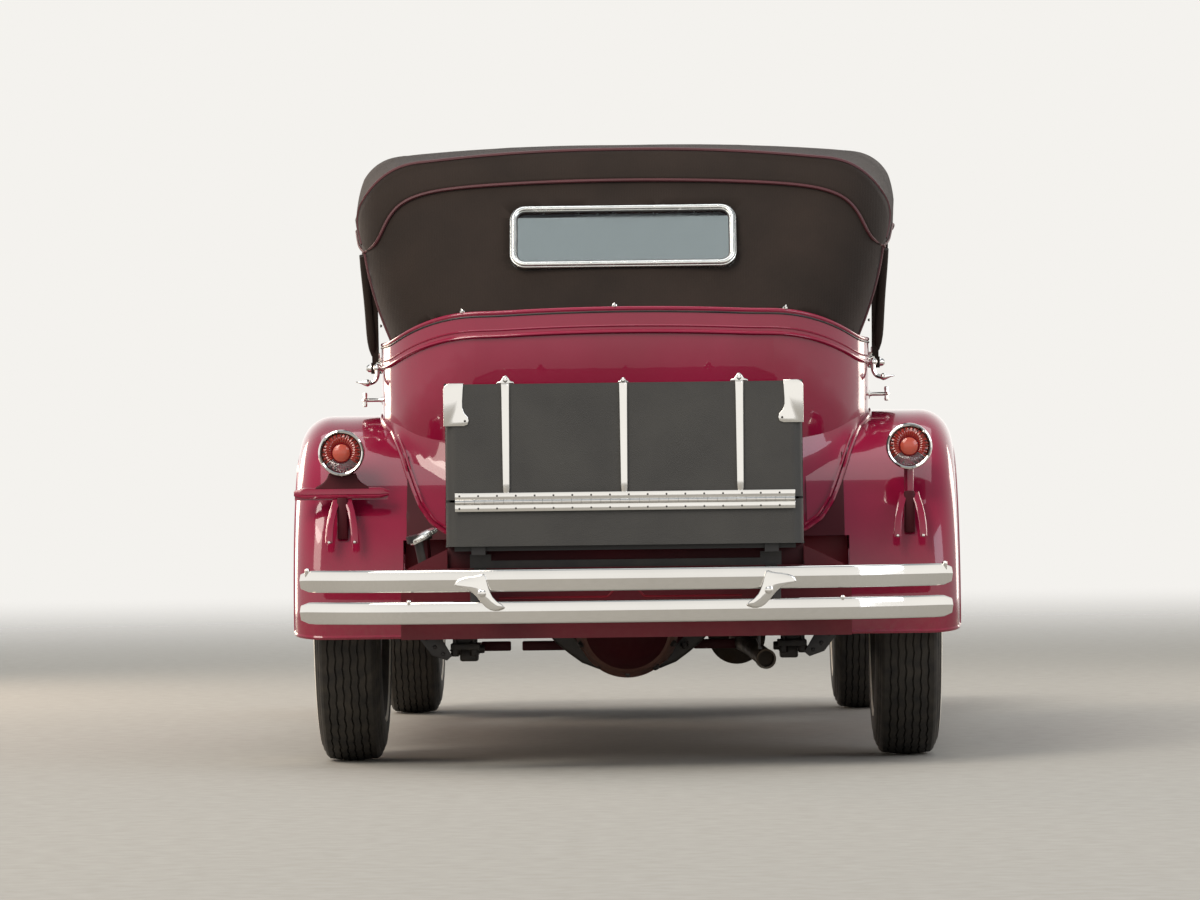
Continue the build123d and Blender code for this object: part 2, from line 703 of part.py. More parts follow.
# Exhaust: muffler under the floor on the right, and a tail pipe past the axle
EXHAUST_X = 300
PIPE_RADIUS = 24
MUFFLER_RADIUS = 78
MOUTH_DEPTH = 60
with BuildPart() as exhaust:
    pipe_z = 300
    muffler_z = 310
    with BuildLine() as run:
        FilletPolyline(
            (EXHAUST_X, REAR_AXLE_Y + 642, muffler_z),
            (EXHAUST_X, REAR_AXLE_Y + 360, pipe_z + 5),
            (EXHAUST_X + 30, REAR_AXLE_Y - 200, pipe_z),
            (EXHAUST_X + 62, REAR_AXLE_Y - 760, pipe_z - 16),
            radius=120,
        )
    with BuildSketch(Plane(origin=run.line @ 0, z_dir=run.line % 0)):
        Circle(PIPE_RADIUS)
    sweep()
    with BuildSketch(Plane(origin=run.line @ 1, z_dir=run.line % 1)):
        Circle(PIPE_RADIUS - 3)
    extrude(amount=-MOUTH_DEPTH, mode=Mode.SUBTRACT)
    with BuildSketch(station(REAR_AXLE_Y + 1400)):
        with Locations((EXHAUST_X, muffler_z)):
            Circle(MUFFLER_RADIUS)
    extrude(amount=760)
    with BuildLine() as front_run:
        FilletPolyline(
            (EXHAUST_X, REAR_AXLE_Y + 1399, muffler_z),
            (EXHAUST_X, ENGINE_BACK_Y - 40, muffler_z),
            (EXHAUST_X - 30, ENGINE_BACK_Y + 260, 560),
            (ENGINE_HALF + 0.3, ENGINE_BACK_Y + 260, 600),
            radius=60,
        )
    with BuildSketch(Plane(origin=front_run.line @ 0, z_dir=front_run.line % 0)):
        Circle(PIPE_RADIUS)
    sweep()
    with Locations((ENGINE_HALF - 40, ENGINE_BACK_Y + 260, 600)):
        Box(80, 200, 200, align=(Align.CENTER, Align.CENTER, Align.CENTER), mode=Mode.SUBTRACT)
    # hanger under the frame's middle cross-member
    with Locations((EXHAUST_X, REAR_AXLE_Y + 1000, muffler_z + MUFFLER_RADIUS - 6)):
        Box(30, 24, 477.7 - muffler_z - MUFFLER_RADIUS + 6, align=(Align.CENTER, Align.CENTER, Align.MIN))
save(exhaust, "exhaust")

# Rim of the tub, seen from behind. Columns: distance from the middle, level.
RIM_CURVE = ((0, RIM_BACK_Z), (350, RIM_BACK_Z - 9), (520, RIM_BACK_Z - 32), (618, RIM_Z))


def above_rim(lift=0):
    """Everything above the tub's arched rim, as a long block along the car."""
    with BuildPart() as block:
        with BuildSketch(station(COWL_BACK_Y + 40)):
            right = [(x, z + lift) for x, z in RIM_CURVE]
            left = [(-x, z) for x, z in reversed(right[1:])]
            with BuildLine():
                Polyline(right[-1], (900, right[-1][1]), (900, 2000), (-900, 2000))
                Polyline((-900, 2000), (-900, right[-1][1]), left[0])
                ThreePointArc(left[0], left[1], left[2])
                ThreePointArc(left[2], right[0], right[1])
                ThreePointArc(right[1], right[2], right[3])
            make_face()
        extrude(amount=COWL_BACK_Y + 40 - REAR_AXLE_Y + 900)
        with Locations((0, REAR_AXLE_Y + 100, RIM_Z + lift)):
            Box(1800, 2000, 875 - lift, align=(Align.CENTER, Align.MIN, Align.MIN))
    return block.part


rim_cut = above_rim()
DOORS = {
    "rear": (REAR_DOOR_BACK_Y, REAR_DOOR_FRONT_Y),
    "front": (FRONT_DOOR_BACK_Y, FRONT_DOOR_FRONT_Y),
}


def door_block(back_y, front_y, side, grow=0):
    """Block that takes a door out of the shell, with round lower corners."""
    with BuildPart() as block:
        with BuildSketch(Plane.YZ.offset(side * 400)) as outline:
            with BuildLine():
                Polyline(
                    (back_y - grow, DOOR_BOTTOM_Z - grow),
                    (front_y + grow, DOOR_BOTTOM_Z - grow),
                    (front_y + grow, RIM_Z + 60 * (grow > 0)),
                    (back_y - grow, RIM_Z + 60 * (grow > 0)),
                    close=True,
                )
            make_face()
            lower = outline.vertices().sort_by(Axis.Y)[:2]
            fillet(lower, DOOR_CORNER + grow)
        extrude(amount=side * 400)
    return block.part


# Hinges stand outside the skin on upright pins. Columns: pin distance from the middle, station.
HINGE_PINS = {
    "rear": (647 + HINGE_OFFSET + 4, REAR_DOOR_BACK_Y - DOOR_GAP / 2),
    "front": (613 + HINGE_OFFSET + 6, FRONT_DOOR_BACK_Y - DOOR_GAP / 2),
}


def hinge_leaf(side, door, moving):
    """Knuckles of the door's share, or the fixed share with its pin."""
    pin_x, pin_y = HINGE_PINS[door]
    way = 1 if moving else -1
    with BuildPart() as leaves:
        for level in HINGE_LEVELS:
            if moving:
                spots = ((level, HINGE_KNUCKLE),)
            else:
                reach = HINGE_KNUCKLE + HINGE_PLAY
                spots = ((level - reach, HINGE_KNUCKLE), (level + reach, HINGE_KNUCKLE))
            for z, height in spots:
                with Locations((side * pin_x, pin_y, z)):
                    Cylinder(HINGE_RADIUS, height)
                with Locations((side * (pin_x - 26), pin_y + way * 22, z)):
                    Box(46, 30, height)
            if moving:
                with Locations((side * pin_x, pin_y, level)):
                    Cylinder(4 + HINGE_PLAY, HINGE_KNUCKLE + 1, mode=Mode.SUBTRACT)
            else:
                with Locations((side * pin_x, pin_y, level)):
                    Cylinder(4, HINGE_KNUCKLE + 4)
    return leaves.part


# Tub: sides, centre pillars, sills and the round back in one shell
with BuildPart() as tub:
    add(body_outer)
    add(body_inner, mode=Mode.SUBTRACT)
    add(rim_cut, mode=Mode.SUBTRACT)
    for side in SIDES.values():
        for door, (back_y, front_y) in DOORS.items():
            add(door_block(back_y, front_y, side, DOOR_GAP), mode=Mode.SUBTRACT)
    with Locations((0, COWL_BACK_Y, BODY_BOTTOM_Z)):
        Box(1400, 4, 1400, mode=Mode.SUBTRACT)
    # opening over the frame rails, and the open front end
    with Locations((0, REAR_AXLE_Y - 250, BODY_BOTTOM_Z - 1)):
        Box(
            2 * 545,
            400,
            690 - BODY_BOTTOM_Z,
            align=(Align.CENTER, Align.MAX, Align.MIN),
            mode=Mode.SUBTRACT,
        )
    with Locations((0, COWL_BACK_Y - 20, BODY_BOTTOM_Z - 1)):
        Box(900, 60, 700, align=(Align.CENTER, Align.MIN, Align.MIN), mode=Mode.SUBTRACT)
    for side in SIDES.values():
        for door in DOORS:
            add(hinge_leaf(side, door, False))
save(tub, "body_tub")

# Doors with hinge knuckles and an outside handle near the free edge
HANDLE_Z = 985
HANDLE_REACH = 52
HANDLE_SKIN = {"rear": 617, "front": 575}
for side_name, side in SIDES.items():
    for door, (back_y, front_y) in DOORS.items():
        with BuildPart() as leaf:
            add(body_outer)
            add(body_inner, mode=Mode.SUBTRACT)
            add(door_block(back_y, front_y, side), mode=Mode.INTERSECT)
            add(hinge_leaf(side, door, True))
            handle_y = front_y - 62
            skin_x = HANDLE_SKIN[door]
            with Locations((side * (skin_x + HANDLE_REACH / 2 - 6), handle_y, HANDLE_Z)):
                Cylinder(8, HANDLE_REACH + 12, rotation=(0, 90, 0))
            with Locations((side * (skin_x + HANDLE_REACH), handle_y - 34, HANDLE_Z)):
                Box(14, 100, 17)
        save(leaf, f"door_{door}_{side_name}")

# Cowl with the bulkhead at its front
COWL_WALL = 22
BULKHEAD = 20
COLUMN_RADIUS = 19
WHEEL_CENTRE = Vector(-305, REAR_AXLE_Y + 1655, 1062)
COLUMN_FOOT = Vector(-305, COWL_FRONT_Y + 90, 612)
column_axis = (COLUMN_FOOT - WHEEL_CENTRE).normalized()
with BuildPart() as cowl:
    add(arch_solid(COWL_SECTIONS, BODY_BOTTOM_Z))
    with BuildPart(mode=Mode.PRIVATE) as cowl_room:
        add(arch_solid(COWL_SECTIONS, BODY_BOTTOM_Z - 1, COWL_WALL, 1))
        with Locations((0, COWL_FRONT_Y - BULKHEAD, 500)):
            Box(1200, 60, 900, align=(Align.CENTER, Align.MIN, Align.MIN), mode=Mode.SUBTRACT)
    add(cowl_room.part, mode=Mode.SUBTRACT)
    # floor under the dashboard
    with BuildPart(mode=Mode.PRIVATE) as toe_floor:
        add(cowl_room.part)
        with Locations((0, 0, BODY_BOTTOM_Z)):
            Box(
                1200,
                8000,
                FLOOR_THICKNESS,
                align=(Align.CENTER, Align.CENTER, Align.MIN),
                mode=Mode.INTERSECT,
            )
        with Locations((0, COWL_BACK_Y, 500)):
            Box(1400, 20, 300, align=(Align.CENTER, Align.MAX, Align.MIN), mode=Mode.SUBTRACT)
    add(toe_floor.part)
    with BuildSketch(Plane(origin=WHEEL_CENTRE, z_dir=column_axis)):
        Circle(COLUMN_RADIUS + 0.3)
    extrude(amount=1000, mode=Mode.SUBTRACT)
save(cowl, "cowl")

# Dashboard across the back of the cowl
with BuildPart() as dashboard:
    add(cowl_room.part)
    with Locations((0, COWL_BACK_Y + 12, 962)):
        Box(1200, 22, 400, align=(Align.CENTER, Align.MIN, Align.MIN), mode=Mode.INTERSECT)
save(dashboard, "dashboard")

# Floor, heel board and rear pan inside the shell
PAN_Z = 684
HEEL_Y = REAR_AXLE_Y + 672
with BuildPart() as body_floor:
    add(body_inner)
    with BuildPart(mode=Mode.PRIVATE) as levels:
        with Locations((0, HEEL_Y, BODY_BOTTOM_Z)):
            Box(1400, 2400, FLOOR_THICKNESS, align=(Align.CENTER, Align.MIN, Align.MIN))
        with Locations((0, HEEL_Y, BODY_BOTTOM_Z)):
            Box(1400, 16, PAN_Z - BODY_BOTTOM_Z + 16, align=(Align.CENTER, Align.MIN, Align.MIN))
        with Locations((0, HEEL_Y, PAN_Z)):
            Box(1400, 1200, 16, align=(Align.CENTER, Align.MAX, Align.MIN))
    add(levels.part, mode=Mode.INTERSECT)
    with Locations((0, COWL_BACK_Y, 500)):
        Box(1400, 400, 300, align=(Align.CENTER, Align.MIN, Align.MIN), mode=Mode.SUBTRACT)
save(body_floor, "body_floor")
# Seats
SEAT_Z = 700
CUSHION_TOP_Z = 868


def seat_profile(points, half_width, rounding):
    """Upholstered block with a side-view outline, rounded all along."""
    with BuildPart() as block:
        with BuildSketch(Plane.YZ.offset(-half_width)):
            with BuildLine():
                Polyline(*points, close=True)
            make_face()
        extrude(amount=2 * half_width)
        if rounding:
            fillet(block.edges(), rounding)
    return block.part


FRONT_BACK_Y = REAR_AXLE_Y + 1215
with BuildPart() as front_seat:
    # low box, cushion and back rest
    add(
        seat_profile(
            (
                (FRONT_BACK_Y + 40, BODY_BOTTOM_Z + FLOOR_THICKNESS),
                (FRONT_BACK_Y + 470, BODY_BOTTOM_Z + FLOOR_THICKNESS),
                (FRONT_BACK_Y + 470, SEAT_Z),
                (FRONT_BACK_Y + 40, SEAT_Z),
            ),
            500,
            0,
        )
    )
    add(
        seat_profile(
            (
                (FRONT_BACK_Y + 95, SEAT_Z),
                (FRONT_BACK_Y + 530, SEAT_Z),
                (FRONT_BACK_Y + 530, CUSHION_TOP_Z),
                (FRONT_BACK_Y + 120, CUSHION_TOP_Z - 40),
            ),
            520,
            40,
        )
    )
    add(
        seat_profile(
            (
                (FRONT_BACK_Y + 20, SEAT_Z - 60),
                (FRONT_BACK_Y + 140, SEAT_Z - 40),
                (FRONT_BACK_Y + 120, CUSHION_TOP_Z),
                (FRONT_BACK_Y + 40, 1140),
                (FRONT_BACK_Y - 60, 1140),
            ),
            528,
            36,
        )
    )
save(front_seat, "front_seat")

with BuildPart() as rear_seat:
    with BuildPart(mode=Mode.PRIVATE) as rear_back:
        add(body_inner)
        add(
            side_prism(
                (
                    (REAR_AXLE_Y - 500, SEAT_Z),
                    (REAR_AXLE_Y - 70, SEAT_Z),
                    (REAR_AXLE_Y - 90, 900),
                    (REAR_AXLE_Y - 235, 1128),
                    (REAR_AXLE_Y - 500, 1128),
                ),
                -560,
                560,
            ),
            mode=Mode.INTERSECT,
        )
    add(rear_back.part)
    add(
        seat_profile(
            (
                (REAR_AXLE_Y - 75, SEAT_Z),
                (REAR_AXLE_Y + 560, SEAT_Z),
                (REAR_AXLE_Y + 560, CUSHION_TOP_Z + 6),
                (REAR_AXLE_Y - 75, CUSHION_TOP_Z - 36),
            ),
            566,
            42,
        )
    )
save(rear_seat, "rear_seat")

# Steering column and wheel
STEERING_RADIUS = 195
STEERING_RIM = 14
column_plane = Plane(origin=WHEEL_CENTRE, x_dir=(1, 0, 0), z_dir=column_axis)
column_length = (COLUMN_FOOT - WHEEL_CENTRE).length
with BuildPart() as column:
    with BuildSketch(column_plane.offset(34)):
        Circle(COLUMN_RADIUS)
    extrude(amount=column_length - 34)
    with Locations((COLUMN_FOOT.X, COLUMN_FOOT.Y, COLUMN_FOOT.Z - 5)):
        Box(70, 110, 92)
    # small-diameter end that carries the wheel
    with BuildSketch(column_plane.offset(8)):
        Circle(9)
    extrude(amount=30)
save(column, "steering_column")
with BuildPart() as steering_wheel:
    with BuildSketch(column_plane.offset(-26)):
        Circle(30)
    extrude(amount=54)
    with BuildSketch(column_plane.offset(8)):
        Circle(9.4)
    extrude(amount=30, mode=Mode.SUBTRACT)
    with BuildSketch(Plane(origin=WHEEL_CENTRE, x_dir=column_plane.y_dir, z_dir=column_plane.x_dir)):
        with Locations((STEERING_RADIUS, 0)):
            Circle(STEERING_RIM)
    revolve(axis=Axis(WHEEL_CENTRE, column_axis))
    for i in range(4):
        turn = math.radians(45 + 90 * i)
        reach = column_plane.x_dir * math.cos(turn) + column_plane.y_dir * math.sin(turn)
        with BuildSketch(Plane(origin=WHEEL_CENTRE + reach * 20, z_dir=reach)):
            Circle(9)
        extrude(amount=STEERING_RADIUS - 20)
save(steering_wheel, "steering_wheel")

# Windscreen: posts on the cowl's sides, a frame and one pane
SCREEN_Y = REAR_AXLE_Y + 1985
SCREEN_HALF = 565
SCREEN_LOW_Z = 1172
SCREEN_TOP_Z = 1572
SCREEN_BAR = 24
screen_plane = station(SCREEN_Y)
with BuildPart() as screen_frame:
    with BuildSketch(screen_plane.offset(-SCREEN_BAR / 2)):
        with BuildLine():
            Polyline(
                (-SCREEN_HALF, SCREEN_LOW_Z),
                (SCREEN_HALF, SCREEN_LOW_Z),
                (SCREEN_HALF, SCREEN_TOP_Z),
                (-SCREEN_HALF, SCREEN_TOP_Z),
                close=True,
            )
        make_face()
        with Locations((0, (SCREEN_LOW_Z + SCREEN_TOP_Z) / 2)):
            Rectangle(
                2 * (SCREEN_HALF - SCREEN_BAR),
                SCREEN_TOP_Z - SCREEN_LOW_Z - 2 * SCREEN_BAR,
                mode=Mode.SUBTRACT,
            )
    extrude(amount=SCREEN_BAR)
    for side in SIDES.values():
        # post outside the frame, its foot on the cowl's side
        with BuildSketch(Plane.XY.offset(985)):
            with Locations((side * (SCREEN_HALF + 11), SCREEN_Y)):
                RectangleRounded(22, 46, 8)
        extrude(amount=SCREEN_TOP_Z - 985)
    add(arch_solid(COWL_SECTIONS, BODY_BOTTOM_Z), mode=Mode.SUBTRACT)
save(screen_frame, "windscreen_frame")
with BuildPart() as screen_glass:
    with BuildSketch(screen_plane.offset(-3)):
        with Locations((0, (SCREEN_LOW_Z + SCREEN_TOP_Z) / 2)):
            Rectangle(
                2 * (SCREEN_HALF - SCREEN_BAR) - 0.6,
                SCREEN_TOP_Z - SCREEN_LOW_Z - 2 * SCREEN_BAR - 0.6,
            )
    extrude(amount=6)
save(screen_glass, "windscreen_glass")

# Hood halves on a rod along the middle
hood_back_y, _, hood_back_half, _, _, hood_back_z = HOOD_SECTIONS[0]
hood_front_y, _, hood_front_half, _, _, hood_front_z = HOOD_SECTIONS[1]
rod_back = Vector(0, COWL_FRONT_Y + 0.3, hood_back_z - 2)
rod_front = Vector(0, RADIATOR_BACK_Y - 0.3, hood_front_z - 2)
rod_axis = (rod_front - rod_back).normalized()
rod_length = (rod_front - rod_back).length
rod_plane = Plane(origin=rod_back, x_dir=(1, 0, 0), z_dir=rod_axis)
hood_form = arch_solid(HOOD_SECTIONS, HOOD_BOTTOM_Z)
hood_room = arch_solid(HOOD_SECTIONS, HOOD_BOTTOM_Z - 1, HOOD_SHEET, 1)
HOOD_KNUCKLES = 3
KNUCKLE_LENGTH = 90
knuckle_pitch = (rod_length - 60) / (2 * HOOD_KNUCKLES)
with BuildPart() as hood_rod:
    with BuildSketch(rod_plane):
        Circle(HOOD_ROD_RADIUS)
    extrude(amount=rod_length)
save(hood_rod, "hood_rod")
for side_name, side in SIDES.items():
    with BuildPart() as hood:
        add(hood_form)
        add(hood_room, mode=Mode.SUBTRACT)
        with Locations((side * 8, 0, 900)):
            Box(
                800,
                6000,
                1200,
                align=(Align.MIN if side > 0 else Align.MAX, Align.CENTER, Align.CENTER),
                mode=Mode.INTERSECT,
            )
        for i in range(2 * HOOD_KNUCKLES):
            middle = 30 + knuckle_pitch * (i + 0.5)
            own = (i % 2 == 0) == (side > 0)
            if own:
                with BuildSketch(rod_plane.offset(middle - KNUCKLE_LENGTH / 2)):
                    Circle(HOOD_ROD_RADIUS + 5)
                extrude(amount=KNUCKLE_LENGTH)
            else:
                with BuildSketch(rod_plane.offset(middle - KNUCKLE_LENGTH / 2 - 5)):
                    Circle(HOOD_ROD_RADIUS + 10)
                extrude(amount=KNUCKLE_LENGTH + 10, mode=Mode.SUBTRACT)
        with BuildSketch(rod_plane):
            Circle(HOOD_ROD_RADIUS + HOOD_ROD_PLAY)
        extrude(amount=rod_length, mode=Mode.SUBTRACT)
    save(hood, f"hood_{side_name}")

# Side panels below the hood, with a ledge out to the frame rail
PANEL_SHEET = 5
PANEL_ENDS = (COWL_FRONT_Y + 0.3, RADIATOR_BACK_Y - 0.3)
with BuildPart() as side_panels:
    with BuildSketch(Plane.XY.offset(RAIL_TOP_Z + 0.3)):
        with BuildLine():
            Polyline(
                (398, PANEL_ENDS[0]),
                (404, PANEL_ENDS[0]),
                (404, PANEL_ENDS[1]),
                (268, PANEL_ENDS[1]),
                close=True,
            )
        make_face()
    extrude(amount=PANEL_SHEET)
    with BuildSketch(Plane.XY.offset(RAIL_TOP_Z + 0.3)):
        with BuildLine():
            Polyline(
                (398, PANEL_ENDS[0]),
                (404, PANEL_ENDS[0]),
                (276, PANEL_ENDS[1]),
                (270, PANEL_ENDS[1]),
                close=True,
            )
        make_face()
    extrude(amount=HOOD_BOTTOM_Z - HOOD_GAP - RAIL_TOP_Z)
both_sides(side_panels, "engine_side_panels")

# Radiator: bright shell, a core inside it and a filler cap
RADIATOR_SECTIONS = (
    (RADIATOR_BACK_Y, 296, 306, 985, 100, 1126),
    (RADIATOR_BACK_Y + RADIATOR_DEPTH, 290, 300, 982, 100, 1120),
)
with BuildPart() as shell:
    add(arch_solid(RADIATOR_SECTIONS, RADIATOR_BOTTOM_Z))
    add(
        arch_solid(RADIATOR_SECTIONS, RADIATOR_BOTTOM_Z + SHELL_BAND, SHELL_BAND, 1),
        mode=Mode.SUBTRACT,
    )
    with Locations((0, RADIATOR_BACK_Y + RADIATOR_DEPTH / 2, 1112)):
        Cylinder(27, 40, align=(Align.CENTER, Align.CENTER, Align.MIN))
        Cylinder(33, 16, align=(Align.CENTER, Align.CENTER, Align.MIN))
    with Locations((0, RADIATOR_BACK_Y + RADIATOR_DEPTH / 2, 1145)):
        Cylinder(36, 18, align=(Align.CENTER, Align.CENTER, Align.MIN))
save(shell, "radiator_shell")
with BuildPart() as core:
    add(arch_solid(RADIATOR_SECTIONS, RADIATOR_BOTTOM_Z + SHELL_BAND + 0.3, SHELL_BAND + 0.3))
    with Locations((0, RADIATOR_BACK_Y + 12, 0)):
        Box(800, RADIATOR_DEPTH - 40, 3000, align=(Align.CENTER, Align.MIN, Align.CENTER), mode=Mode.INTERSECT)
save(core, "radiator_core")


# Fenders: one cross-section carried along a side-view path
def fender_section(outer_x, inner_x, lip, rounding, flange_x=0):
    """Cross-section of the sheet: lip, round shoulder, crown, and an inner step if asked."""
    sheet = FENDER_SHEET
    crown_end = inner_x
    with BuildSketch() as outline:
        with BuildLine():
            Line((outer_x, -lip), (outer_x, -rounding))
            RadiusArc((outer_x, -rounding), (outer_x - rounding, 0), -rounding)
            if flange_x:
                step = 40
                Line((outer_x - rounding, 0), (crown_end + step, 0))
                RadiusArc((crown_end + step, 0), (crown_end, -step), -step)
                Polyline(
                    (crown_end, -step),
                    (crown_end, -lip + sheet),
                    (flange_x, -lip + sheet),
                    (flange_x, -lip),
                    (crown_end + sheet, -lip),
                    (crown_end + sheet, -step),
                )
                RadiusArc((crown_end + sheet, -step), (crown_end + step, -sheet), step - sheet)
                Line((crown_end + step, -sheet), (outer_x - rounding, -sheet))
            else:
                Polyline(
                    (outer_x - rounding, 0),
                    (crown_end, 0),
                    (crown_end, -sheet),
                    (outer_x - rounding, -sheet),
                )
            RadiusArc((outer_x - rounding, -sheet), (outer_x - sheet, -rounding), rounding - sheet)
            Polyline((outer_x - sheet, -rounding), (outer_x - sheet, -lip), (outer_x, -lip))
        make_face()
    return outline.sketch


def fender_path(centre_y, radius, start_angle, past_top, valley, toward):
    """Side-view path: arc over the wheel, a straight tail and a valley down to the board."""
    end_angle = math.radians(90 - past_top)
    arc_start = (
        centre_y - toward * radius * math.cos(math.radians(start_angle)),
        AXLE_Z + radius * math.sin(math.radians(start_angle)),
    )
    arc_top = (centre_y, AXLE_Z + radius)
    arc_end = (
        centre_y + toward * radius * math.cos(end_angle),
        AXLE_Z + radius * math.sin(end_angle),
    )
    slope = math.radians(past_top)
    land_z = BOARD_TOP_Z + FENDER_SHEET
    drop = arc_end[1] - valley * (1 - math.cos(slope)) - land_z
    line_end = (arc_end[0] + toward * drop / math.tan(slope), arc_end[1] - drop)
    valley_end = (line_end[0] + toward * valley * math.sin(slope), land_z)
    half = slope / 2
    valley_mid = (
        valley_end[0] - toward * valley * math.sin(half),
        land_z + valley * (1 - math.cos(half)),
    )
    with BuildLine(Plane.YZ) as path:
        ThreePointArc(arc_start, arc_top, arc_end)
        Line(arc_end, line_end)
        ThreePointArc(line_end, valley_mid, valley_end)
    return path.line, valley_end[0]


def fender_solid(section, line, toward):
    """Sweeps the section, whose local x is X, square to the path's start."""
    start_tangent = (line % 0) * -toward
    with BuildPart() as fender:
        start = line @ 0
        with BuildSketch(Plane(origin=start, x_dir=(1, 0, 0), z_dir=start_tangent)):
            add(section)
        sweep(path=line)
    return fender.part


REAR_LIP = 96
rear_line, rear_tail_y = fender_path(REAR_AXLE_Y, REAR_ARCH_RADIUS, -8.2, 60, 160, 1)
front_line, front_tail_y = fender_path(FRONT_AXLE_Y, FRONT_ARCH_RADIUS, 14, 42, 350, -1)
rear_section = fender_section(FENDER_OUTER_X, 478, REAR_LIP, FENDER_ROUND)
front_section = fender_section(FENDER_OUTER_X, 585, FENDER_LIP, 56, 425)
REAR_END_INNER_X = 589
with BuildPart() as rear_fender:
    add(fender_solid(rear_section, rear_line, 1))
    # narrower end behind the wheel, closed on its inner side
    with Locations((0, REAR_AXLE_Y - 200, 0)):
        Box(
            REAR_END_INNER_X,
            1000,
            600,
            align=(Align.MIN, Align.MAX, Align.MIN),
            mode=Mode.SUBTRACT,
        )
    with Locations((0, REAR_AXLE_Y, 0)):
        Box(REAR_END_INNER_X + 14, 1000, 572, align=(Align.MIN, Align.MIN, Align.MIN), mode=Mode.SUBTRACT)
    with BuildPart(mode=Mode.PRIVATE) as inner_side:
        with BuildSketch(Plane.YZ.offset(REAR_END_INNER_X)):
            with Locations((REAR_AXLE_Y, AXLE_Z)):
                Circle(REAR_ARCH_RADIUS - FENDER_SHEET / 2)
                Circle(REAR_ARCH_RADIUS - REAR_LIP, mode=Mode.SUBTRACT)
        extrude(amount=FENDER_SHEET)
        with Locations((0, REAR_AXLE_Y - 200, 344)):
            Box(1000, 800, 330, align=(Align.MIN, Align.MAX, Align.MIN), mode=Mode.INTERSECT)
    add(inner_side.part)
    add(body_outer, mode=Mode.SUBTRACT)
    with Locations((0, REAR_AXLE_Y, BOARD_TOP_Z)):
        Box(1200, 1400, 400, align=(Align.MIN, Align.MIN, Align.MAX), mode=Mode.SUBTRACT)
with BuildPart() as front_fender:
    add(fender_solid(front_section, front_line, -1))
    with Locations((0, front_tail_y - 60, BOARD_TOP_Z)):
        Box(1200, 600, 400, align=(Align.MIN, Align.MIN, Align.MAX), mode=Mode.SUBTRACT)
    # the flange stops short of the lamps and the frame's front end
    with Locations((0, FRONT_AXLE_Y + 40, 0)):
        Box(585, 900, 1200, align=(Align.MIN, Align.MIN, Align.MIN), mode=Mode.SUBTRACT)
for side_name, side in SIDES.items():
    for fender, fender_name in ((rear_fender, "rear"), (front_fender, "front")):
        with BuildPart() as placed:
            if side > 0:
                add(fender.part)
            else:
                add(mirror(fender.part, about=Plane.YZ))
        save(placed, f"fender_{fender_name}_{side_name}")

# Running boards and the splash panels between them and the frame
BOARD_BACK_Y = rear_tail_y - 60
BOARD_FRONT_Y = front_tail_y + 60
SPLASH = 6
with BuildPart() as boards:
    with BuildSketch(Plane.XY.offset(BOARD_TOP_Z - BOARD_THICKNESS)):
        with BuildLine():
            Polyline(
                (BOARD_INNER_X, BOARD_BACK_Y),
                (FENDER_OUTER_X, BOARD_BACK_Y),
                (FENDER_OUTER_X, BOARD_FRONT_Y),
                (BOARD_INNER_X, BOARD_FRONT_Y),
                close=True,
            )
        make_face()
    extrude(amount=BOARD_THICKNESS)
    with Locations((BOARD_INNER_X - SPLASH, rear_tail_y - 100, BOARD_TOP_Z - BOARD_THICKNESS)):
        Box(
            SPLASH,
            front_tail_y - rear_tail_y + 100 - 2,
            RAIL_TOP_Z - 0.3 - BOARD_TOP_Z + BOARD_THICKNESS,
            align=(Align.MIN, Align.MIN, Align.MIN),
        )
    with Locations((RAIL_OUTER_X + 0.3, rear_tail_y - 100, RAIL_TOP_Z - 0.3)):
        Box(
            BOARD_INNER_X - RAIL_OUTER_X - 0.3 - SPLASH / 2,
            front_tail_y - rear_tail_y + 100 - 2,
            SPLASH,
            align=(Align.MIN, Align.MIN, Align.MAX),
        )
both_sides(boards, "running_boards")

# Fuel tank between the rails behind the axle, with its filler on the left
TANK_HALF = 338
TANK_BACK_Y = FRAME_REAR_Y + 60.3
TANK_FRONT_Y = REAR_AXLE_Y - 330
FILLER_X = -536
with BuildPart() as tank:
    with Locations((0, (TANK_BACK_Y + TANK_FRONT_Y) / 2, 460)):
        Box(2 * TANK_HALF, TANK_FRONT_Y - TANK_BACK_Y, 150)
        fillet(tank.edges().filter_by(Axis.X), 36)
    with BuildLine() as filler_run:
        FilletPolyline(
            (-TANK_HALF + 20, TANK_BACK_Y + 40, 434),
            (-500, TANK_BACK_Y - 20, 430),
            (FILLER_X, TANK_BACK_Y - 30, 600),
            radius=40,
        )
    with BuildSketch(Plane(origin=filler_run.line @ 0, z_dir=filler_run.line % 0)):
        Circle(17)
    sweep()
    with BuildSketch(Plane(origin=filler_run.line @ 1, z_dir=filler_run.line % 1)):
        Circle(34)
    extrude(amount=18)
save(tank, "fuel_tank")

# Apron behind the tank, with slots for the bumper arms
APRON_Y = REAR_AXLE_Y - 742
ARM_X = 378
ARM_WIDTH = 30
BUMPER_LEVELS = (498, 416)
ARM_LOW_Z = 470
ARM_HIGH_Z = 528
with BuildPart() as apron:
    with BuildSketch(station(APRON_Y)):
        with BuildLine():
            Polyline(
                (-586, 344),
                (586, 344),
                (586, 500),
                (565, 530),
                (464, 578),
                (464, 528),
                (-464, 528),
                (-464, 578),
                (-565, 530),
                (-586, 500),
                close=True,
            )
        make_face()
        for side in SIDES.values():
            with Locations((side * ARM_X, (ARM_LOW_Z + ARM_HIGH_Z) / 2)):
                Rectangle(ARM_WIDTH + 0.6, ARM_HIGH_Z - ARM_LOW_Z + 0.6, mode=Mode.SUBTRACT)
    extrude(amount=6)
save(apron, "rear_apron")

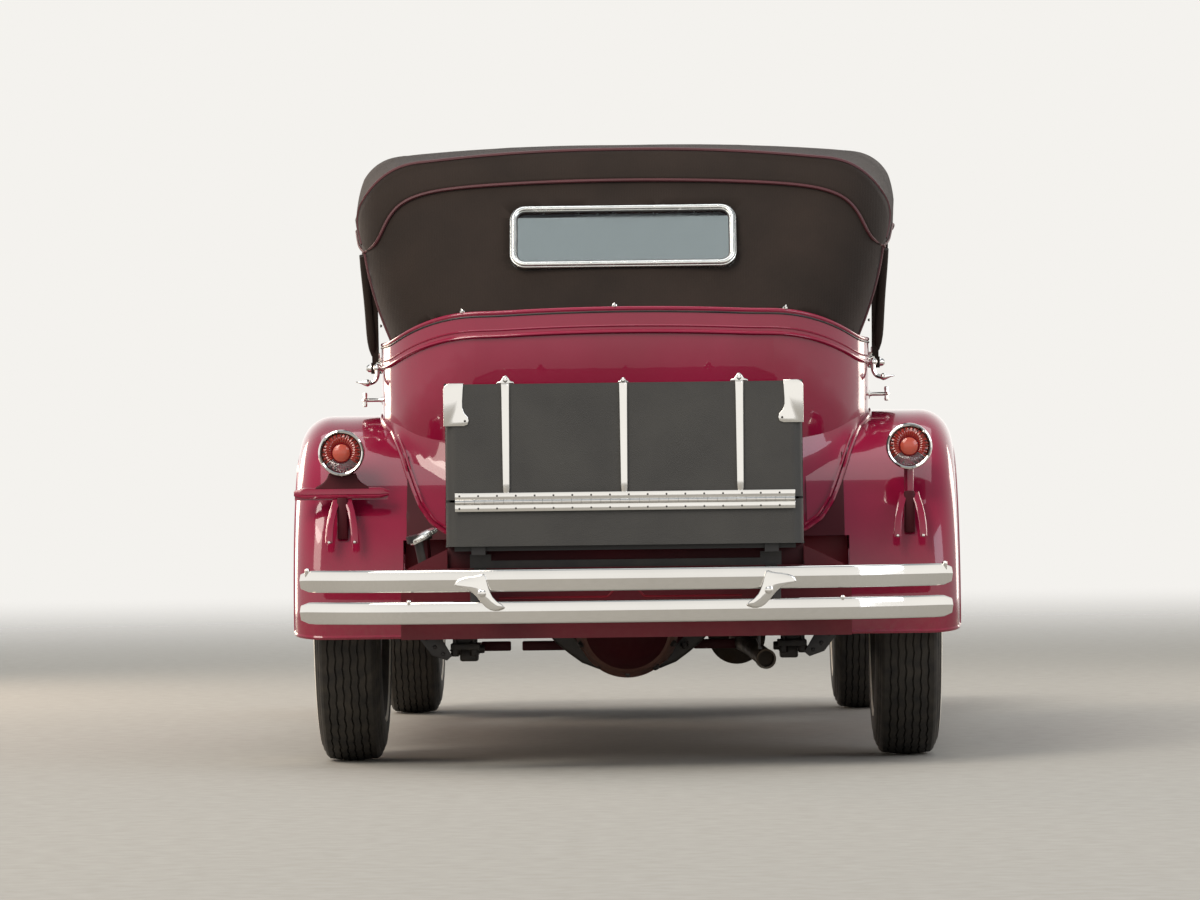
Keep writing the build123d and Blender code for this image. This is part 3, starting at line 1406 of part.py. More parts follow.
# Bumpers: two spring bars each, with round ends that turn toward the car
BAR_HEIGHT = 58
BAR_THICKNESS = 12
BAR_FLAT_X = 560
BAR_HALF_LENGTH = {"rear": 851, "front": 790}
BAR_RADIUS = 3030
BUMPER_OVERHANG = {"rear": (REAR_AXLE_Y - 950, 1), "front": (FRONT_AXLE_Y + 620, -1)}
bar_turn = math.asin(BAR_FLAT_X / BAR_RADIUS)
BAR_END_RADIUS = 470


def bar_curve(radius_shift, half_length):
    """Half of a bar's plan curve: the long arc and the tight end, shifted by the thickness."""
    bar_end_turn = math.asin(math.sin(bar_turn) + (half_length - BAR_FLAT_X) / BAR_END_RADIUS)
    long_r = BAR_RADIUS - radius_shift
    tight_r = BAR_END_RADIUS - radius_shift
    centre_y = BAR_RADIUS
    tight_x = (BAR_RADIUS - BAR_END_RADIUS) * math.sin(bar_turn)
    tight_y = centre_y - (BAR_RADIUS - BAR_END_RADIUS) * math.cos(bar_turn)
    points = []
    for angle in (0, bar_turn / 2, bar_turn):
        points.append((long_r * math.sin(angle), centre_y - long_r * math.cos(angle)))
    for angle in ((bar_turn + bar_end_turn) / 2, bar_end_turn):
        points.append((tight_x + tight_r * math.sin(angle), tight_y - tight_r * math.cos(angle)))
    return points


for name, (tip_y, toward) in BUMPER_OVERHANG.items():
    rail_end_y = FRAME_REAR_Y if name == "rear" else FRAME_FRONT_Y + 26
    arm_z = (ARM_LOW_Z, ARM_HIGH_Z) if name == "rear" else (436, 486)
    with BuildPart() as bumper:
        for level in BUMPER_LEVELS:
            with BuildSketch(Plane.XY.offset(level - BAR_HEIGHT / 2)):
                half_length = BAR_HALF_LENGTH[name]
                back = [(x, tip_y + toward * y) for x, y in bar_curve(0, half_length)]
                face = [(x, tip_y + toward * y) for x, y in bar_curve(BAR_THICKNESS, half_length)]
                with BuildLine():
                    ThreePointArc(back[0], back[1], back[2])
                    ThreePointArc(back[2], back[3], back[4])
                    Line(back[4], face[4])
                    ThreePointArc(face[4], face[3], face[2])
                    ThreePointArc(face[2], face[1], face[0])
                    Line(face[0], back[0])
                make_face()
            extrude(amount=BAR_HEIGHT)
        mirror(about=Plane.YZ)
        for side in SIDES.values():
            # arm from the rail's end, and an upright that carries both bars
            arm_end_y = tip_y + toward * 34
            low = min(rail_end_y, arm_end_y)
            high = max(rail_end_y, arm_end_y)
            with Locations((side * ARM_X, (low + high) / 2, sum(arm_z) / 2)):
                Box(ARM_WIDTH, high - low - 0.3, arm_z[1] - arm_z[0])
            with Locations((side * ARM_X, tip_y + toward * 38, sum(BUMPER_LEVELS) / 2)):
                Box(44, 12, BUMPER_LEVELS[0] - BUMPER_LEVELS[1] + BAR_HEIGHT)
    save(bumper, f"{name}_bumper")

# Luggage rack and trunk. The trunk's face drops open on a hinge near its foot.
TRUNK_HALF = 461
TRUNK_FRONT_Y = REAR_AXLE_Y - 500
TRUNK_BACK_Y = REAR_AXLE_Y - 900
TRUNK_LOW_Z = 586
TRUNK_TOP_Z = 1004
TRUNK_WALL = 12
TRUNK_CORNER = 30
FLAP_THICKNESS = 20
FLAP_LOW_Z = 706
FLAP_SIDE = 8
TRUNK_PIN_Z = 700
TRUNK_PIN_Y = TRUNK_BACK_Y - 9
with BuildPart() as rack:
    for side in SIDES.values():
        with Locations((side * 378, (TRUNK_BACK_Y + TRUNK_FRONT_Y) / 2 + 10, (RACK_Z + TRUNK_LOW_Z) / 2)):
            Box(36, TRUNK_FRONT_Y - TRUNK_BACK_Y, TRUNK_LOW_Z - RACK_Z - 0.6)
    for i in range(5):
        slat_y = TRUNK_BACK_Y + 40 + i * (TRUNK_FRONT_Y - TRUNK_BACK_Y - 80) / 4
        with Locations((0, slat_y, TRUNK_LOW_Z - 6.3)):
            Box(2 * 440, 34, 12)
save(rack, "trunk_rack")
with BuildPart() as trunk:
    with BuildSketch(Plane.XY.offset(TRUNK_LOW_Z)):
        with Locations((0, (TRUNK_BACK_Y + TRUNK_FRONT_Y) / 2)):
            RectangleRounded(2 * TRUNK_HALF, TRUNK_FRONT_Y - TRUNK_BACK_Y, TRUNK_CORNER)
    extrude(amount=TRUNK_TOP_Z - TRUNK_LOW_Z)
    with BuildSketch(Plane.XY.offset(TRUNK_LOW_Z + TRUNK_WALL)):
        with Locations((0, (TRUNK_BACK_Y + TRUNK_FRONT_Y) / 2)):
            Rectangle(
                2 * (TRUNK_HALF - TRUNK_WALL),
                TRUNK_FRONT_Y - TRUNK_BACK_Y - 2 * TRUNK_WALL,
            )
    extrude(amount=TRUNK_TOP_Z - TRUNK_LOW_Z - 2 * TRUNK_WALL, mode=Mode.SUBTRACT)
    with Locations((0, TRUNK_BACK_Y, FLAP_LOW_Z - 6)):
        Box(
            3 * TRUNK_HALF,
            FLAP_THICKNESS + 6,
            TRUNK_TOP_Z - FLAP_LOW_Z + 60,
            align=(Align.CENTER, Align.MIN, Align.MIN),
            mode=Mode.SUBTRACT,
        )
    # fixed share of the long hinge
    for x, length in ((-300, 180), (0, 180), (300, 180)):
        with Locations((x, TRUNK_PIN_Y, TRUNK_PIN_Z)):
            Cylinder(5, length, rotation=(0, 90, 0))
        with Locations((x, TRUNK_BACK_Y - 3, TRUNK_PIN_Z - 10)):
            Box(length, 6, 16)
    with Locations((0, TRUNK_PIN_Y, TRUNK_PIN_Z)):
        Cylinder(2.5, 780, rotation=(0, 90, 0))
save(trunk, "trunk_body")
with BuildPart() as trunk_lid:
    with BuildSketch(Plane.XY.offset(FLAP_LOW_Z)) as flap_plan:
        with Locations((0, (TRUNK_BACK_Y + TRUNK_FRONT_Y) / 2)):
            RectangleRounded(2 * TRUNK_HALF, TRUNK_FRONT_Y - TRUNK_BACK_Y, TRUNK_CORNER)
    extrude(amount=TRUNK_TOP_Z - FLAP_LOW_Z)
    with Locations((0, TRUNK_BACK_Y, FLAP_LOW_Z)):
        Box(
            3 * TRUNK_HALF,
            FLAP_THICKNESS,
            TRUNK_TOP_Z - FLAP_LOW_Z,
            align=(Align.CENTER, Align.MIN, Align.MIN),
            mode=Mode.INTERSECT,
        )
    for x, length in ((-150, 118), (150, 118)):
        with Locations((x, TRUNK_PIN_Y, TRUNK_PIN_Z)):
            Cylinder(5.5, length, rotation=(0, 90, 0))
            Cylinder(3, length + 1, rotation=(0, 90, 0), mode=Mode.SUBTRACT)
        with Locations((x, TRUNK_BACK_Y - 3, FLAP_LOW_Z + 9)):
            Box(length, 6, 22)
save(trunk_lid, "trunk_lid")

# Headlamps on posts from the first cross-member
HEADLAMP_X = 288
HEADLAMP_Z = 925
HEADLAMP_RADIUS = 122
LAMP_BACK_Y = FRONT_AXLE_Y + 52
LAMP_LENGTH = 186
with BuildPart() as headlamps:
    for side in SIDES.values():
        with BuildSketch(Plane(origin=(side * HEADLAMP_X, 0, HEADLAMP_Z), x_dir=(1, 0, 0), z_dir=(0, 0, 1))):
            y0 = LAMP_BACK_Y
            with BuildLine():
                Line((0, y0), (0, y0 + 8))
                ThreePointArc(
                    (0, y0 + 8),
                    (76, y0 + 46),
                    (HEADLAMP_RADIUS - 8, y0 + LAMP_LENGTH - 34),
                )
                Polyline(
                    (HEADLAMP_RADIUS - 8, y0 + LAMP_LENGTH - 34),
                    (HEADLAMP_RADIUS - 8, y0 + LAMP_LENGTH),
                    (HEADLAMP_RADIUS, y0 + LAMP_LENGTH),
                    (HEADLAMP_RADIUS, y0 + LAMP_LENGTH - 34),
                )
                ThreePointArc(
                    (HEADLAMP_RADIUS, y0 + LAMP_LENGTH - 34),
                    (82, y0 + 40),
                    (0, y0),
                )
            make_face()
        revolve(axis=Axis((side * HEADLAMP_X, 0, HEADLAMP_Z), (0, 1, 0)))
        with BuildSketch(Plane.XY.offset(549.3)):
            with Locations((side * HEADLAMP_X, FRONT_AXLE_Y + 180)):
                Circle(15)
        extrude(amount=HEADLAMP_Z - HEADLAMP_RADIUS + 4 - 549.3)
    with Locations((0, FRONT_AXLE_Y + 180, HEADLAMP_Z - HEADLAMP_RADIUS - 16)):
        Cylinder(12, 2 * HEADLAMP_X, rotation=(0, 90, 0))
save(headlamps, "headlamps")
with BuildPart() as headlamp_lenses:
    for side in SIDES.values():
        with BuildSketch(station(LAMP_BACK_Y + LAMP_LENGTH - 4)):
            with Locations((side * HEADLAMP_X, HEADLAMP_Z)):
                Circle(HEADLAMP_RADIUS - 8.3)
        extrude(amount=6)
save(headlamp_lenses, "headlamp_lenses")

# Tail lamps on stems that stand on the rear fenders, with the plate bar on the left
TAIL_LAMP_X = 749
TAIL_LAMP_Z = 833
TAIL_LAMP_RADIUS = 59
TAIL_FACE_Y = REAR_AXLE_Y - 505
STEM_Y = REAR_AXLE_Y - 462
with BuildPart() as tail_lamps:
    for side in SIDES.values():
        with BuildSketch(station(TAIL_FACE_Y)):
            with Locations((side * TAIL_LAMP_X, TAIL_LAMP_Z)):
                Circle(TAIL_LAMP_RADIUS)
        extrude(amount=-64)
        with BuildSketch(station(TAIL_FACE_Y)):
            with Locations((side * TAIL_LAMP_X, TAIL_LAMP_Z)):
                Circle(TAIL_LAMP_RADIUS - 7)
        extrude(amount=-12, mode=Mode.SUBTRACT)
        with BuildSketch(Plane.XY.offset(600)):
            with Locations((side * TAIL_LAMP_X, STEM_Y)):
                Circle(13)
        extrude(amount=TAIL_LAMP_Z - TAIL_LAMP_RADIUS + 4 - 600)
    with Locations((-752, STEM_Y - 13, 722)):
        Box(246, 6, 26)
    with BuildSketch(Plane.YZ.offset(-1000)):
        with Locations((REAR_AXLE_Y, AXLE_Z)):
            Circle(REAR_ARCH_RADIUS + 0.3)
    extrude(amount=2000, mode=Mode.SUBTRACT)
save(tail_lamps, "tail_lamps")
with BuildPart() as tail_lenses:
    for side in SIDES.values():
        with BuildSketch(station(TAIL_FACE_Y + 11.7)):
            with Locations((side * TAIL_LAMP_X, TAIL_LAMP_Z)):
                Circle(TAIL_LAMP_RADIUS - 7.3)
        extrude(amount=18)
save(tail_lenses, "tail_lamp_lenses")

# Cloth top: a plan form and an arched tunnel cut each other, then the sides are opened
CANOPY_SHEET = 10
CANOPY_FRONT_Y = REAR_AXLE_Y + 2010
# Plan sections. Columns: level, half width in front, half width at the quarter,
# back behind the rear axle, radius of the rear corner.
CANOPY_PLAN = (
    (1100, 790, 612, 447, 288),
    (1380, 800, 714, 319, 262),
    (1760, 800, 734, 117, 200),
)
# Tunnel sections, in the columns of the cowl.
CANOPY_TUNNEL = (
    (REAR_AXLE_Y - 560, 736, 734, 1400, 205, 1636),
    (REAR_AXLE_Y - 180, 736, 734, 1400, 205, 1640),
    (REAR_AXLE_Y + 900, 768, 766, 1525, 130, 1708),
    (CANOPY_FRONT_Y, 722, 720, 1470, 130, 1636),
)


def canopy_plan(half_front, half_quarter, back_y, corner, inset):
    """Plan outline with straight sides, round rear corners and a crowned back."""
    half_front -= inset
    half_quarter -= inset
    back_y += inset
    corner -= inset
    crown = math.radians(BACK_TURN)
    end_x = half_quarter - corner + corner * math.sin(crown)
    end_y = back_y + end_x / math.sin(crown) * (1 - math.cos(crown))
    quarter_y = end_y + corner * math.cos(crown)
    turn = math.radians(45 - BACK_TURN / 2)
    arc = (half_quarter - corner + corner * math.cos(turn), quarter_y - corner * math.sin(turn))
    front_y = CANOPY_FRONT_Y + (1 if inset else 0)
    with BuildSketch() as plan:
        with BuildLine():
            Line((half_front, front_y), (half_quarter, quarter_y))
            ThreePointArc((half_quarter, quarter_y), arc, (end_x, end_y))
            ThreePointArc((end_x, end_y), (0, back_y), (-end_x, end_y))
            ThreePointArc((-end_x, end_y), (-arc[0], arc[1]), (-half_quarter, quarter_y))
            Line((-half_quarter, quarter_y), (-half_front, front_y))
            Line((-half_front, front_y), (half_front, front_y))
        make_face()
    return plan.sketch


def canopy_form(inset):
    """The top's full form, or the room under it when inset by the cloth."""
    with BuildPart() as form:
        for level, half_front, half_quarter, back, corner in CANOPY_PLAN:
            with BuildSketch(Plane.XY.offset(level)):
                add(canopy_plan(half_front, half_quarter, REAR_AXLE_Y - back, corner, inset))
        loft()
        with BuildPart(mode=Mode.PRIVATE) as tunnel:
            for y, bottom_half, side_half, shoulder_z, radius, top_z in CANOPY_TUNNEL:
                past = 1 if inset and y == CANOPY_FRONT_Y else 0
                with BuildSketch(station(y + past)):
                    add(arch_outline(bottom_half, 1090, side_half, shoulder_z, radius, top_z, inset))
            loft()
        add(tunnel.part, mode=Mode.INTERSECT)
    return form.part


WINDOW_Z = 1401
WINDOW_WIDTH = 600
WINDOW_HEIGHT = 185
WINDOW_CORNER = 40
WINDOW_BAR = 15
window_plane = Plane(
    origin=(0, REAR_AXLE_Y - 306, WINDOW_Z),
    x_dir=(1, 0, 0),
    z_dir=(0, -math.cos(math.radians(28)), math.sin(math.radians(28))),
)
with BuildPart() as canopy:
    add(canopy_form(0))
    add(canopy_form(CANOPY_SHEET), mode=Mode.SUBTRACT)
    for side in SIDES.values():
        add(
            side_prism(
                (
                    (REAR_AXLE_Y - 160, 1080),
                    (REAR_AXLE_Y - 110, 1372),
                    (REAR_AXLE_Y + 130, 1440),
                    (REAR_AXLE_Y + 900, 1470),
                    (CANOPY_FRONT_Y + 5, 1462),
                    (CANOPY_FRONT_Y + 5, 1080),
                ),
                side * 500,
                side * 900,
            ),
            mode=Mode.SUBTRACT,
        )
    with BuildSketch(window_plane.offset(-60)):
        RectangleRounded(WINDOW_WIDTH, WINDOW_HEIGHT, WINDOW_CORNER)
    extrude(amount=120, mode=Mode.SUBTRACT)
    # the curtain's foot follows the tub's rim
    with BuildPart(mode=Mode.PRIVATE) as above:
        add(above_rim(0.3))
    add(above.part, mode=Mode.INTERSECT)
save(canopy, "top_canopy")
with BuildPart() as window_frame:
    with BuildSketch(window_plane.offset(-12)):
        RectangleRounded(WINDOW_WIDTH - 0.6, WINDOW_HEIGHT - 0.6, WINDOW_CORNER - 0.3)
        RectangleRounded(
            WINDOW_WIDTH - 0.6 - 2 * WINDOW_BAR,
            WINDOW_HEIGHT - 0.6 - 2 * WINDOW_BAR,
            WINDOW_CORNER - 0.3 - WINDOW_BAR,
            mode=Mode.SUBTRACT,
        )
    extrude(amount=22)
save(window_frame, "rear_window_frame")
with BuildPart() as window_glass:
    with BuildSketch(window_plane.offset(-2)):
        RectangleRounded(
            WINDOW_WIDTH - 1.2 - 2 * WINDOW_BAR,
            WINDOW_HEIGHT - 1.2 - 2 * WINDOW_BAR,
            WINDOW_CORNER - 0.6 - WINDOW_BAR,
        )
    extrude(amount=5)
save(window_glass, "rear_window_glass")

# Bows under the cloth, a header on the windscreen, and side irons that stand on the tub
BOW_DEPTH = 26
BOW_THICKNESS = 18
BOW_PLAY = 0.8
PIVOT_Y = REAR_AXLE_Y - 20
PIVOT_Z = 1064
IRON_X = 669
IRON_THICKNESS = 18
IRON_WIDTH = 26
BOW_STATIONS = (REAR_AXLE_Y - 104, REAR_AXLE_Y + 500, REAR_AXLE_Y + 1200)
IRON_LEVELS = (1405, 1470, 1506)
HEADER_Y = REAR_AXLE_Y + 1972


def side_bar(start, end, width, low_x, high_x):
    """Straight flat bar between two side-view points."""
    along = (Vector(*end) - Vector(*start)).normalized()
    off = Vector(-along.Y, along.X) * (width / 2)
    corners = [Vector(*start) + off, Vector(*end) + off, Vector(*end) - off, Vector(*start) - off]
    return side_prism([(c.X, c.Y) for c in corners], low_x, high_x)


with BuildPart() as bows:
    add(canopy_form(CANOPY_SHEET + BOW_PLAY))
    add(canopy_form(CANOPY_SHEET + BOW_THICKNESS), mode=Mode.SUBTRACT)
    with BuildPart(mode=Mode.PRIVATE) as slabs:
        for y in BOW_STATIONS:
            with Locations((0, y, 1390)):
                Box(1700, BOW_DEPTH, 500, align=(Align.CENTER, Align.CENTER, Align.MIN))
    add(slabs.part, mode=Mode.INTERSECT)
    # short blocks that tie each bow to the side irons
    with BuildPart(mode=Mode.PRIVATE) as ties:
        add(canopy_form(CANOPY_SHEET + BOW_PLAY))
        with BuildPart(mode=Mode.PRIVATE) as tie_boxes:
            for y, z in zip(BOW_STATIONS, IRON_LEVELS):
                for side in SIDES.values():
                    with Locations((side * (IRON_X + 60), y, z)):
                        Box(120, BOW_DEPTH, 30)
            for side in SIDES.values():
                with Locations((side * (IRON_X + 9), HEADER_Y + 15, 1540)):
                    Box(60, 30, 104)
        add(tie_boxes.part, mode=Mode.INTERSECT)
    add(ties.part)
    with BuildPart(mode=Mode.PRIVATE) as header:
        add(canopy_form(CANOPY_SHEET + BOW_PLAY))
        with Locations((0, HEADER_Y, SCREEN_TOP_Z + 0.3)):
            Box(
                1700,
                30,
                500,
                align=(Align.CENTER, Align.MIN, Align.MIN),
                mode=Mode.INTERSECT,
            )
    add(header.part)
    with BuildPart(mode=Mode.PRIVATE) as irons:
        high_x = IRON_X + IRON_THICKNESS
        add(side_bar((PIVOT_Y, PIVOT_Z), (REAR_AXLE_Y - 98, 1404), IRON_WIDTH, IRON_X, high_x))
        knots = list(zip(BOW_STATIONS, IRON_LEVELS))
        for start, end in zip(knots, knots[1:]):
            add(side_bar(start, end, 22, IRON_X, high_x))
        add(side_bar(knots[-1], (HEADER_Y + 10, 1498), 22, IRON_X, high_x))
        with Locations((660, PIVOT_Y, PIVOT_Z)):
            Box(60, 30, 30)
    add(irons.part)
    add(mirror(irons.part, about=Plane.YZ))
    add(body_outer, mode=Mode.SUBTRACT)
save(bows, "top_bows")
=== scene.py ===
# %% [markdown]
# # A touring car of the late 1920s, seen from behind
# The solids of the car come from a CAD model, in metres, with +Y to the front, +X to
# the car's right-hand side and +Z up. They carry the sizes and the joints. This lesson
# gives them their finishes, and adds what a maker would fit by hand: cloth, leather,
# mouldings, bright trim, bolts, tread and lenses.

# %% Load the car
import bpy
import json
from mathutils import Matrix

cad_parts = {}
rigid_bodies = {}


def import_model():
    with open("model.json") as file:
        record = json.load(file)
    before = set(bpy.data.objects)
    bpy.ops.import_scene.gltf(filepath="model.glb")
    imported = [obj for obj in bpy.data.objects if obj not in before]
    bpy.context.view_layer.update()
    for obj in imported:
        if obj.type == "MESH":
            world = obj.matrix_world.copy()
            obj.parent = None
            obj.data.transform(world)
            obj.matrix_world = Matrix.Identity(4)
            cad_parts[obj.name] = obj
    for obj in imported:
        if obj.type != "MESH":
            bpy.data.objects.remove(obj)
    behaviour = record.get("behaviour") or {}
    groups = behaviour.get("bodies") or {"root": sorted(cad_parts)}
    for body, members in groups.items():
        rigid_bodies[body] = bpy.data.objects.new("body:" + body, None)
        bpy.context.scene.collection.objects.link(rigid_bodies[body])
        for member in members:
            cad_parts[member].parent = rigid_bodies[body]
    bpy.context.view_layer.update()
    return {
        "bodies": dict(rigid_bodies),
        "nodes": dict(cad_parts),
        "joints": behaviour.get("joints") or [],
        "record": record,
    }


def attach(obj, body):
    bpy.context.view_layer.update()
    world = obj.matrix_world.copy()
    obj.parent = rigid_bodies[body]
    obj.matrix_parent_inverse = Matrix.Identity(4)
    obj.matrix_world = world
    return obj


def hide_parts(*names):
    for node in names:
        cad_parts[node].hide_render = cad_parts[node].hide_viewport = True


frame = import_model()

import functools
import json
from math import asin, atan2, copysign, cos, degrees, exp, hypot, pi, radians, sin, sqrt, tan
import bmesh
import bpy
from mathutils import Euler, Matrix, Vector
from mathutils.bvhtree import BVHTree

nodes = frame["nodes"]
REAR_AXLE_Y = -1.535
FRONT_AXLE_Y = 1.865
AXLE_Z = 0.419
HANDS = (("left", -1), ("right", 1))

# %% [markdown]
# ## The camera first
# The car was photographed from 17 metres behind its rear axle, from hip height, with a
# long lens. A long lens from far away keeps the front and rear tyres nearly the same
# width. The horizon's height in the picture gives the camera's height, and the small
# lean of the picture gives its roll.

# %% Camera
CAMERA_DISTANCE = 17.0
CAMERA_HEIGHT = 0.764
CAMERA_SIDE = 0.13
PITCH, YAW, ROLL = (radians(angle) for angle in (0.238, 0.681, 0.70))
camera_data = bpy.data.cameras.new("camera")
camera_data.lens = 187.6
camera_data.sensor_width = 36
camera_data.clip_end = 200
camera = bpy.data.objects.new("camera", camera_data)
bpy.context.scene.collection.objects.link(camera)
camera.location = (CAMERA_SIDE, REAR_AXLE_Y - CAMERA_DISTANCE, CAMERA_HEIGHT)
look = Euler((pi / 2 + PITCH, 0, YAW)).to_matrix()
camera.rotation_euler = (look @ Matrix.Rotation(-ROLL, 3, "Z")).to_euler()
bpy.context.scene.camera = camera
bpy.context.scene.view_settings.view_transform = "Standard"
print("camera:", [round(v, 3) for v in camera.location])

# %% [markdown]
# ## Colours and nodes
# A painter's colours are written as on a screen, and the renderer works in linear
# light, so one function turns the one into the other. One more adds a node with its
# settings and links, which keeps each finish short to read. Patterns take their scale
# in repeats per metre, so a scale of 240 is a spot about every 4 millimetres.

# %% Helpers for finishes
def linear(screen_colour):
    """A screen colour such as #6B1230, as linear red, green, blue and 1."""
    channels = [int(screen_colour[k:k + 2], 16) / 255 for k in (1, 3, 5)]
    return tuple(c / 12.92 if c <= 0.04045 else ((c + 0.055) / 1.055) ** 2.4
                 for c in channels) + (1.0,)


def add(tree, kind, inputs, output=0, **settings):
    """Adds a node and gives one output back. Inputs are numbers, sockets or colours."""
    node = tree.nodes.new("ShaderNode" + kind)
    for name, value in settings.items():
        setattr(node, name, value)
    for name, value in inputs.items():
        if isinstance(value, bpy.types.NodeSocket):
            tree.links.new(value, node.inputs[name])
        else:
            node.inputs[name].default_value = linear(value) if isinstance(value, str) else value
    return node.outputs[output] if node.outputs else None


def new_finish(name):
    """An empty material, a function that adds its nodes, and the car's own coordinates."""
    finish = bpy.data.materials.new(name)
    finish.use_nodes = True
    finish.node_tree.nodes.clear()
    node = functools.partial(add, finish.node_tree)
    return finish, node, node("TexCoord", {}, "Object")


def mottle(node, place, scale, detail, high=1.0, low=0.0):
    """Soft noise, stretched to run from low to high."""
    noise = node("TexNoise", {"Vector": place, "Scale": scale, "Detail": detail})
    return node("MapRange", {0: noise, 1: 0.3, 2: 0.7, 3: low, 4: high})


def surfaced(finish, node, inputs):
    """Closes a material with one surface shader, and gives the material back."""
    node("OutputMaterial", {"Surface": node("BsdfPrincipled", inputs)})
    return finish


BLEND = {"output": 2, "data_type": "RGBA"}      # Mix nodes here mix colours: inputs 6 and 7

# %% [markdown]
# ## The studio
# A pale floor that fades out far away, a pale backdrop, a soft sun, and five large
# lamps: a key and a fill from behind the camera, one over the top, and two low ones
# ahead of the car that edge its sides with light. The camera, mirrors and glass see the
# backdrop as white, through the Light Path node, while the car itself is lit by a
# dimmer one, so bright chrome still has dark parts to show its shape.

# %% Floor and backdrop
FLOOR_FADE = (6.0, 23.0)        # metres from the car, from solid to clear
floor_finish, node, place = new_finish("matte studio floor")
tone = node("Mix", {0: mottle(node, place, 18, 4), 6: "#98958D", 7: "#A09D96"}, **BLEND)
paint = node("BsdfPrincipled", {"Base Color": tone, "Roughness": 0.85, "Specular IOR Level": 0.2})
reach = node("VectorMath", {0: place}, "Value", operation="LENGTH")
fade = node("MapRange", {0: reach, 1: FLOOR_FADE[0], 2: FLOOR_FADE[1]},
            interpolation_type="SMOOTHSTEP")
clear = node("BsdfTransparent", {})
node("OutputMaterial", {"Surface": node("MixShader", {0: fade, 1: paint, 2: clear})})
bm = bmesh.new()
bmesh.ops.create_grid(bm, x_segments=2, y_segments=2, size=40)
floor_mesh = bpy.data.meshes.new("floor")
bm.to_mesh(floor_mesh)
bm.free()
floor = bpy.data.objects.new("floor", floor_mesh)
bpy.context.scene.collection.objects.link(floor)
floor_mesh.materials.append(floor_finish)

world = bpy.data.worlds.new("studio")
bpy.context.scene.world = world
world.use_nodes = True
world.node_tree.nodes.clear()
node = functools.partial(add, world.node_tree)
height = node("SeparateXYZ", {0: node("TexCoord", {}, "Generated")}, 2)
climb = node("MapRange", {0: height, 1: 0.12, 2: 0.85}, interpolation_type="SMOOTHSTEP")
seen_sky = node("Mix", {0: climb, 6: "#F4F2EE", 7: "#8F9499"}, **BLEND)
lit_sky = node("Mix", {0: climb, 6: "#CFCFD0", 7: "#C2C8D0"}, **BLEND)
by_camera, by_mirror, by_glass = (node("LightPath", {}, f"Is {kind} Ray")
                                  for kind in ("Camera", "Glossy", "Transmission"))
seen = node("Math", {0: by_camera, 1: by_mirror}, operation="MAXIMUM")
seen = node("Math", {0: seen, 1: by_glass}, operation="MAXIMUM")
sky = node("Mix", {0: seen, 6: lit_sky, 7: seen_sky}, **BLEND)
glow = node("MapRange", {0: by_mirror, 3: 1.0, 4: 1.3})
node("OutputWorld", {"Surface": node("Background", {"Color": sky, "Strength": glow})})


# %% Lamps
def lamp(name, kind, place, aim, power, tint, size):
    """A lamp that looks at a place. An area lamp has sides in metres, a sun an angle."""
    data = bpy.data.lights.new(name, kind)
    data.energy = power
    data.color = linear(tint)[:3]
    if kind == "AREA":
        data.shape = "RECTANGLE"
        data.size, data.size_y = size
    else:
        data.angle = radians(size)
    made = bpy.data.objects.new(name, data)
    bpy.context.scene.collection.objects.link(made)
    made.location = place
    made.rotation_euler = (Vector(aim) - made.location).to_track_quat("-Z", "Y").to_euler()


lamp("soft sun", "SUN", (-5.0, -6.0, 9.0), (0, 0, 0), 1.5, "#FFF6EA", 26)
lamp("key lamp", "AREA", (-6.5, -9.5, 6.5), (0, -1.5, 0.8), 420, "#FFF4E6", (5, 5))
lamp("fill lamp", "AREA", (7.0, -7.5, 4.5), (0, -1, 0.8), 200, "#EAF1FF", (5, 4))
lamp("top lamp", "AREA", (0, 0.5, 8.0), (0, 0, 0), 260, "#FFFFFF", (7, 8))
lamp("left edge lamp", "AREA", (-5.2, 4.2, 1.9), (0, -1.6, 0.9), 240, "#FFE4CC", (2.6, 3.4))
lamp("right edge lamp", "AREA", (5.6, 3.6, 1.9), (0, -1.6, 0.9), 110, "#FFEFE2", (2.2, 3.2))

# %% [markdown]
# ## Finish: wine-red lacquer
# The body is sheet steel under many coats of polished cellulose lacquer. A deep red
# base under a clear coat gives both the dark colour and the sharp sky reflections. Very
# soft bumps a few millimetres across stop the panels from looking like plastic, and a
# little road dust sits low on the car. Enamel under the car has no clear coat, so the
# eye sees its colour and hardly any reflection. Two of these enamels are the body
# colour darkened as painted shade, for the apron and for parts that lie in shade.

# %% Lacquers
ROAD_DUST = "#7A6A5C"
DUST_HEIGHTS = (0.62, 0.25)     # dust fades out above the first, and is full below the second


def lacquer_finish(name, top_tone, low_tone, dusty, coat=0.9, dull=0.16, shine=0.5):
    finish, node, place = new_finish(name)
    tone = node("Mix", {0: mottle(node, place, 3, 3), 6: low_tone, 7: top_tone}, **BLEND)
    height = node("SeparateXYZ", {0: place}, 2)
    low = node("MapRange", {0: height, 1: DUST_HEIGHTS[0], 2: DUST_HEIGHTS[1], 3: 0.0, 4: dusty})
    specks = mottle(node, place, 60, 6, 1.0, 0.3)
    dust = node("Math", {0: low, 1: specks}, operation="MULTIPLY")
    tone = node("Mix", {0: dust, 6: tone, 7: ROAD_DUST}, **BLEND)
    peel = mottle(node, place, 240, 2)
    return surfaced(finish, node, {
        "Base Color": tone, "Roughness": node("MapRange", {0: dust, 3: dull, 4: 0.6}),
        "IOR": 1.5, "Specular IOR Level": shine, "Coat Weight": coat, "Coat Roughness": 0.02,
        "Normal": node("Bump", {"Height": peel, "Strength": 0.05, "Distance": 0.0004})})


# polished body colour, deep under its coat
wine_lacquer = lacquer_finish("wine red cellulose lacquer", "#90173A", "#80112F",
                              0.2, shine=0.15)
# the same colour on wood, with more dust
wheel_lacquer = lacquer_finish("wine red wheel enamel", "#7C1734", "#6A122B", 0.35)
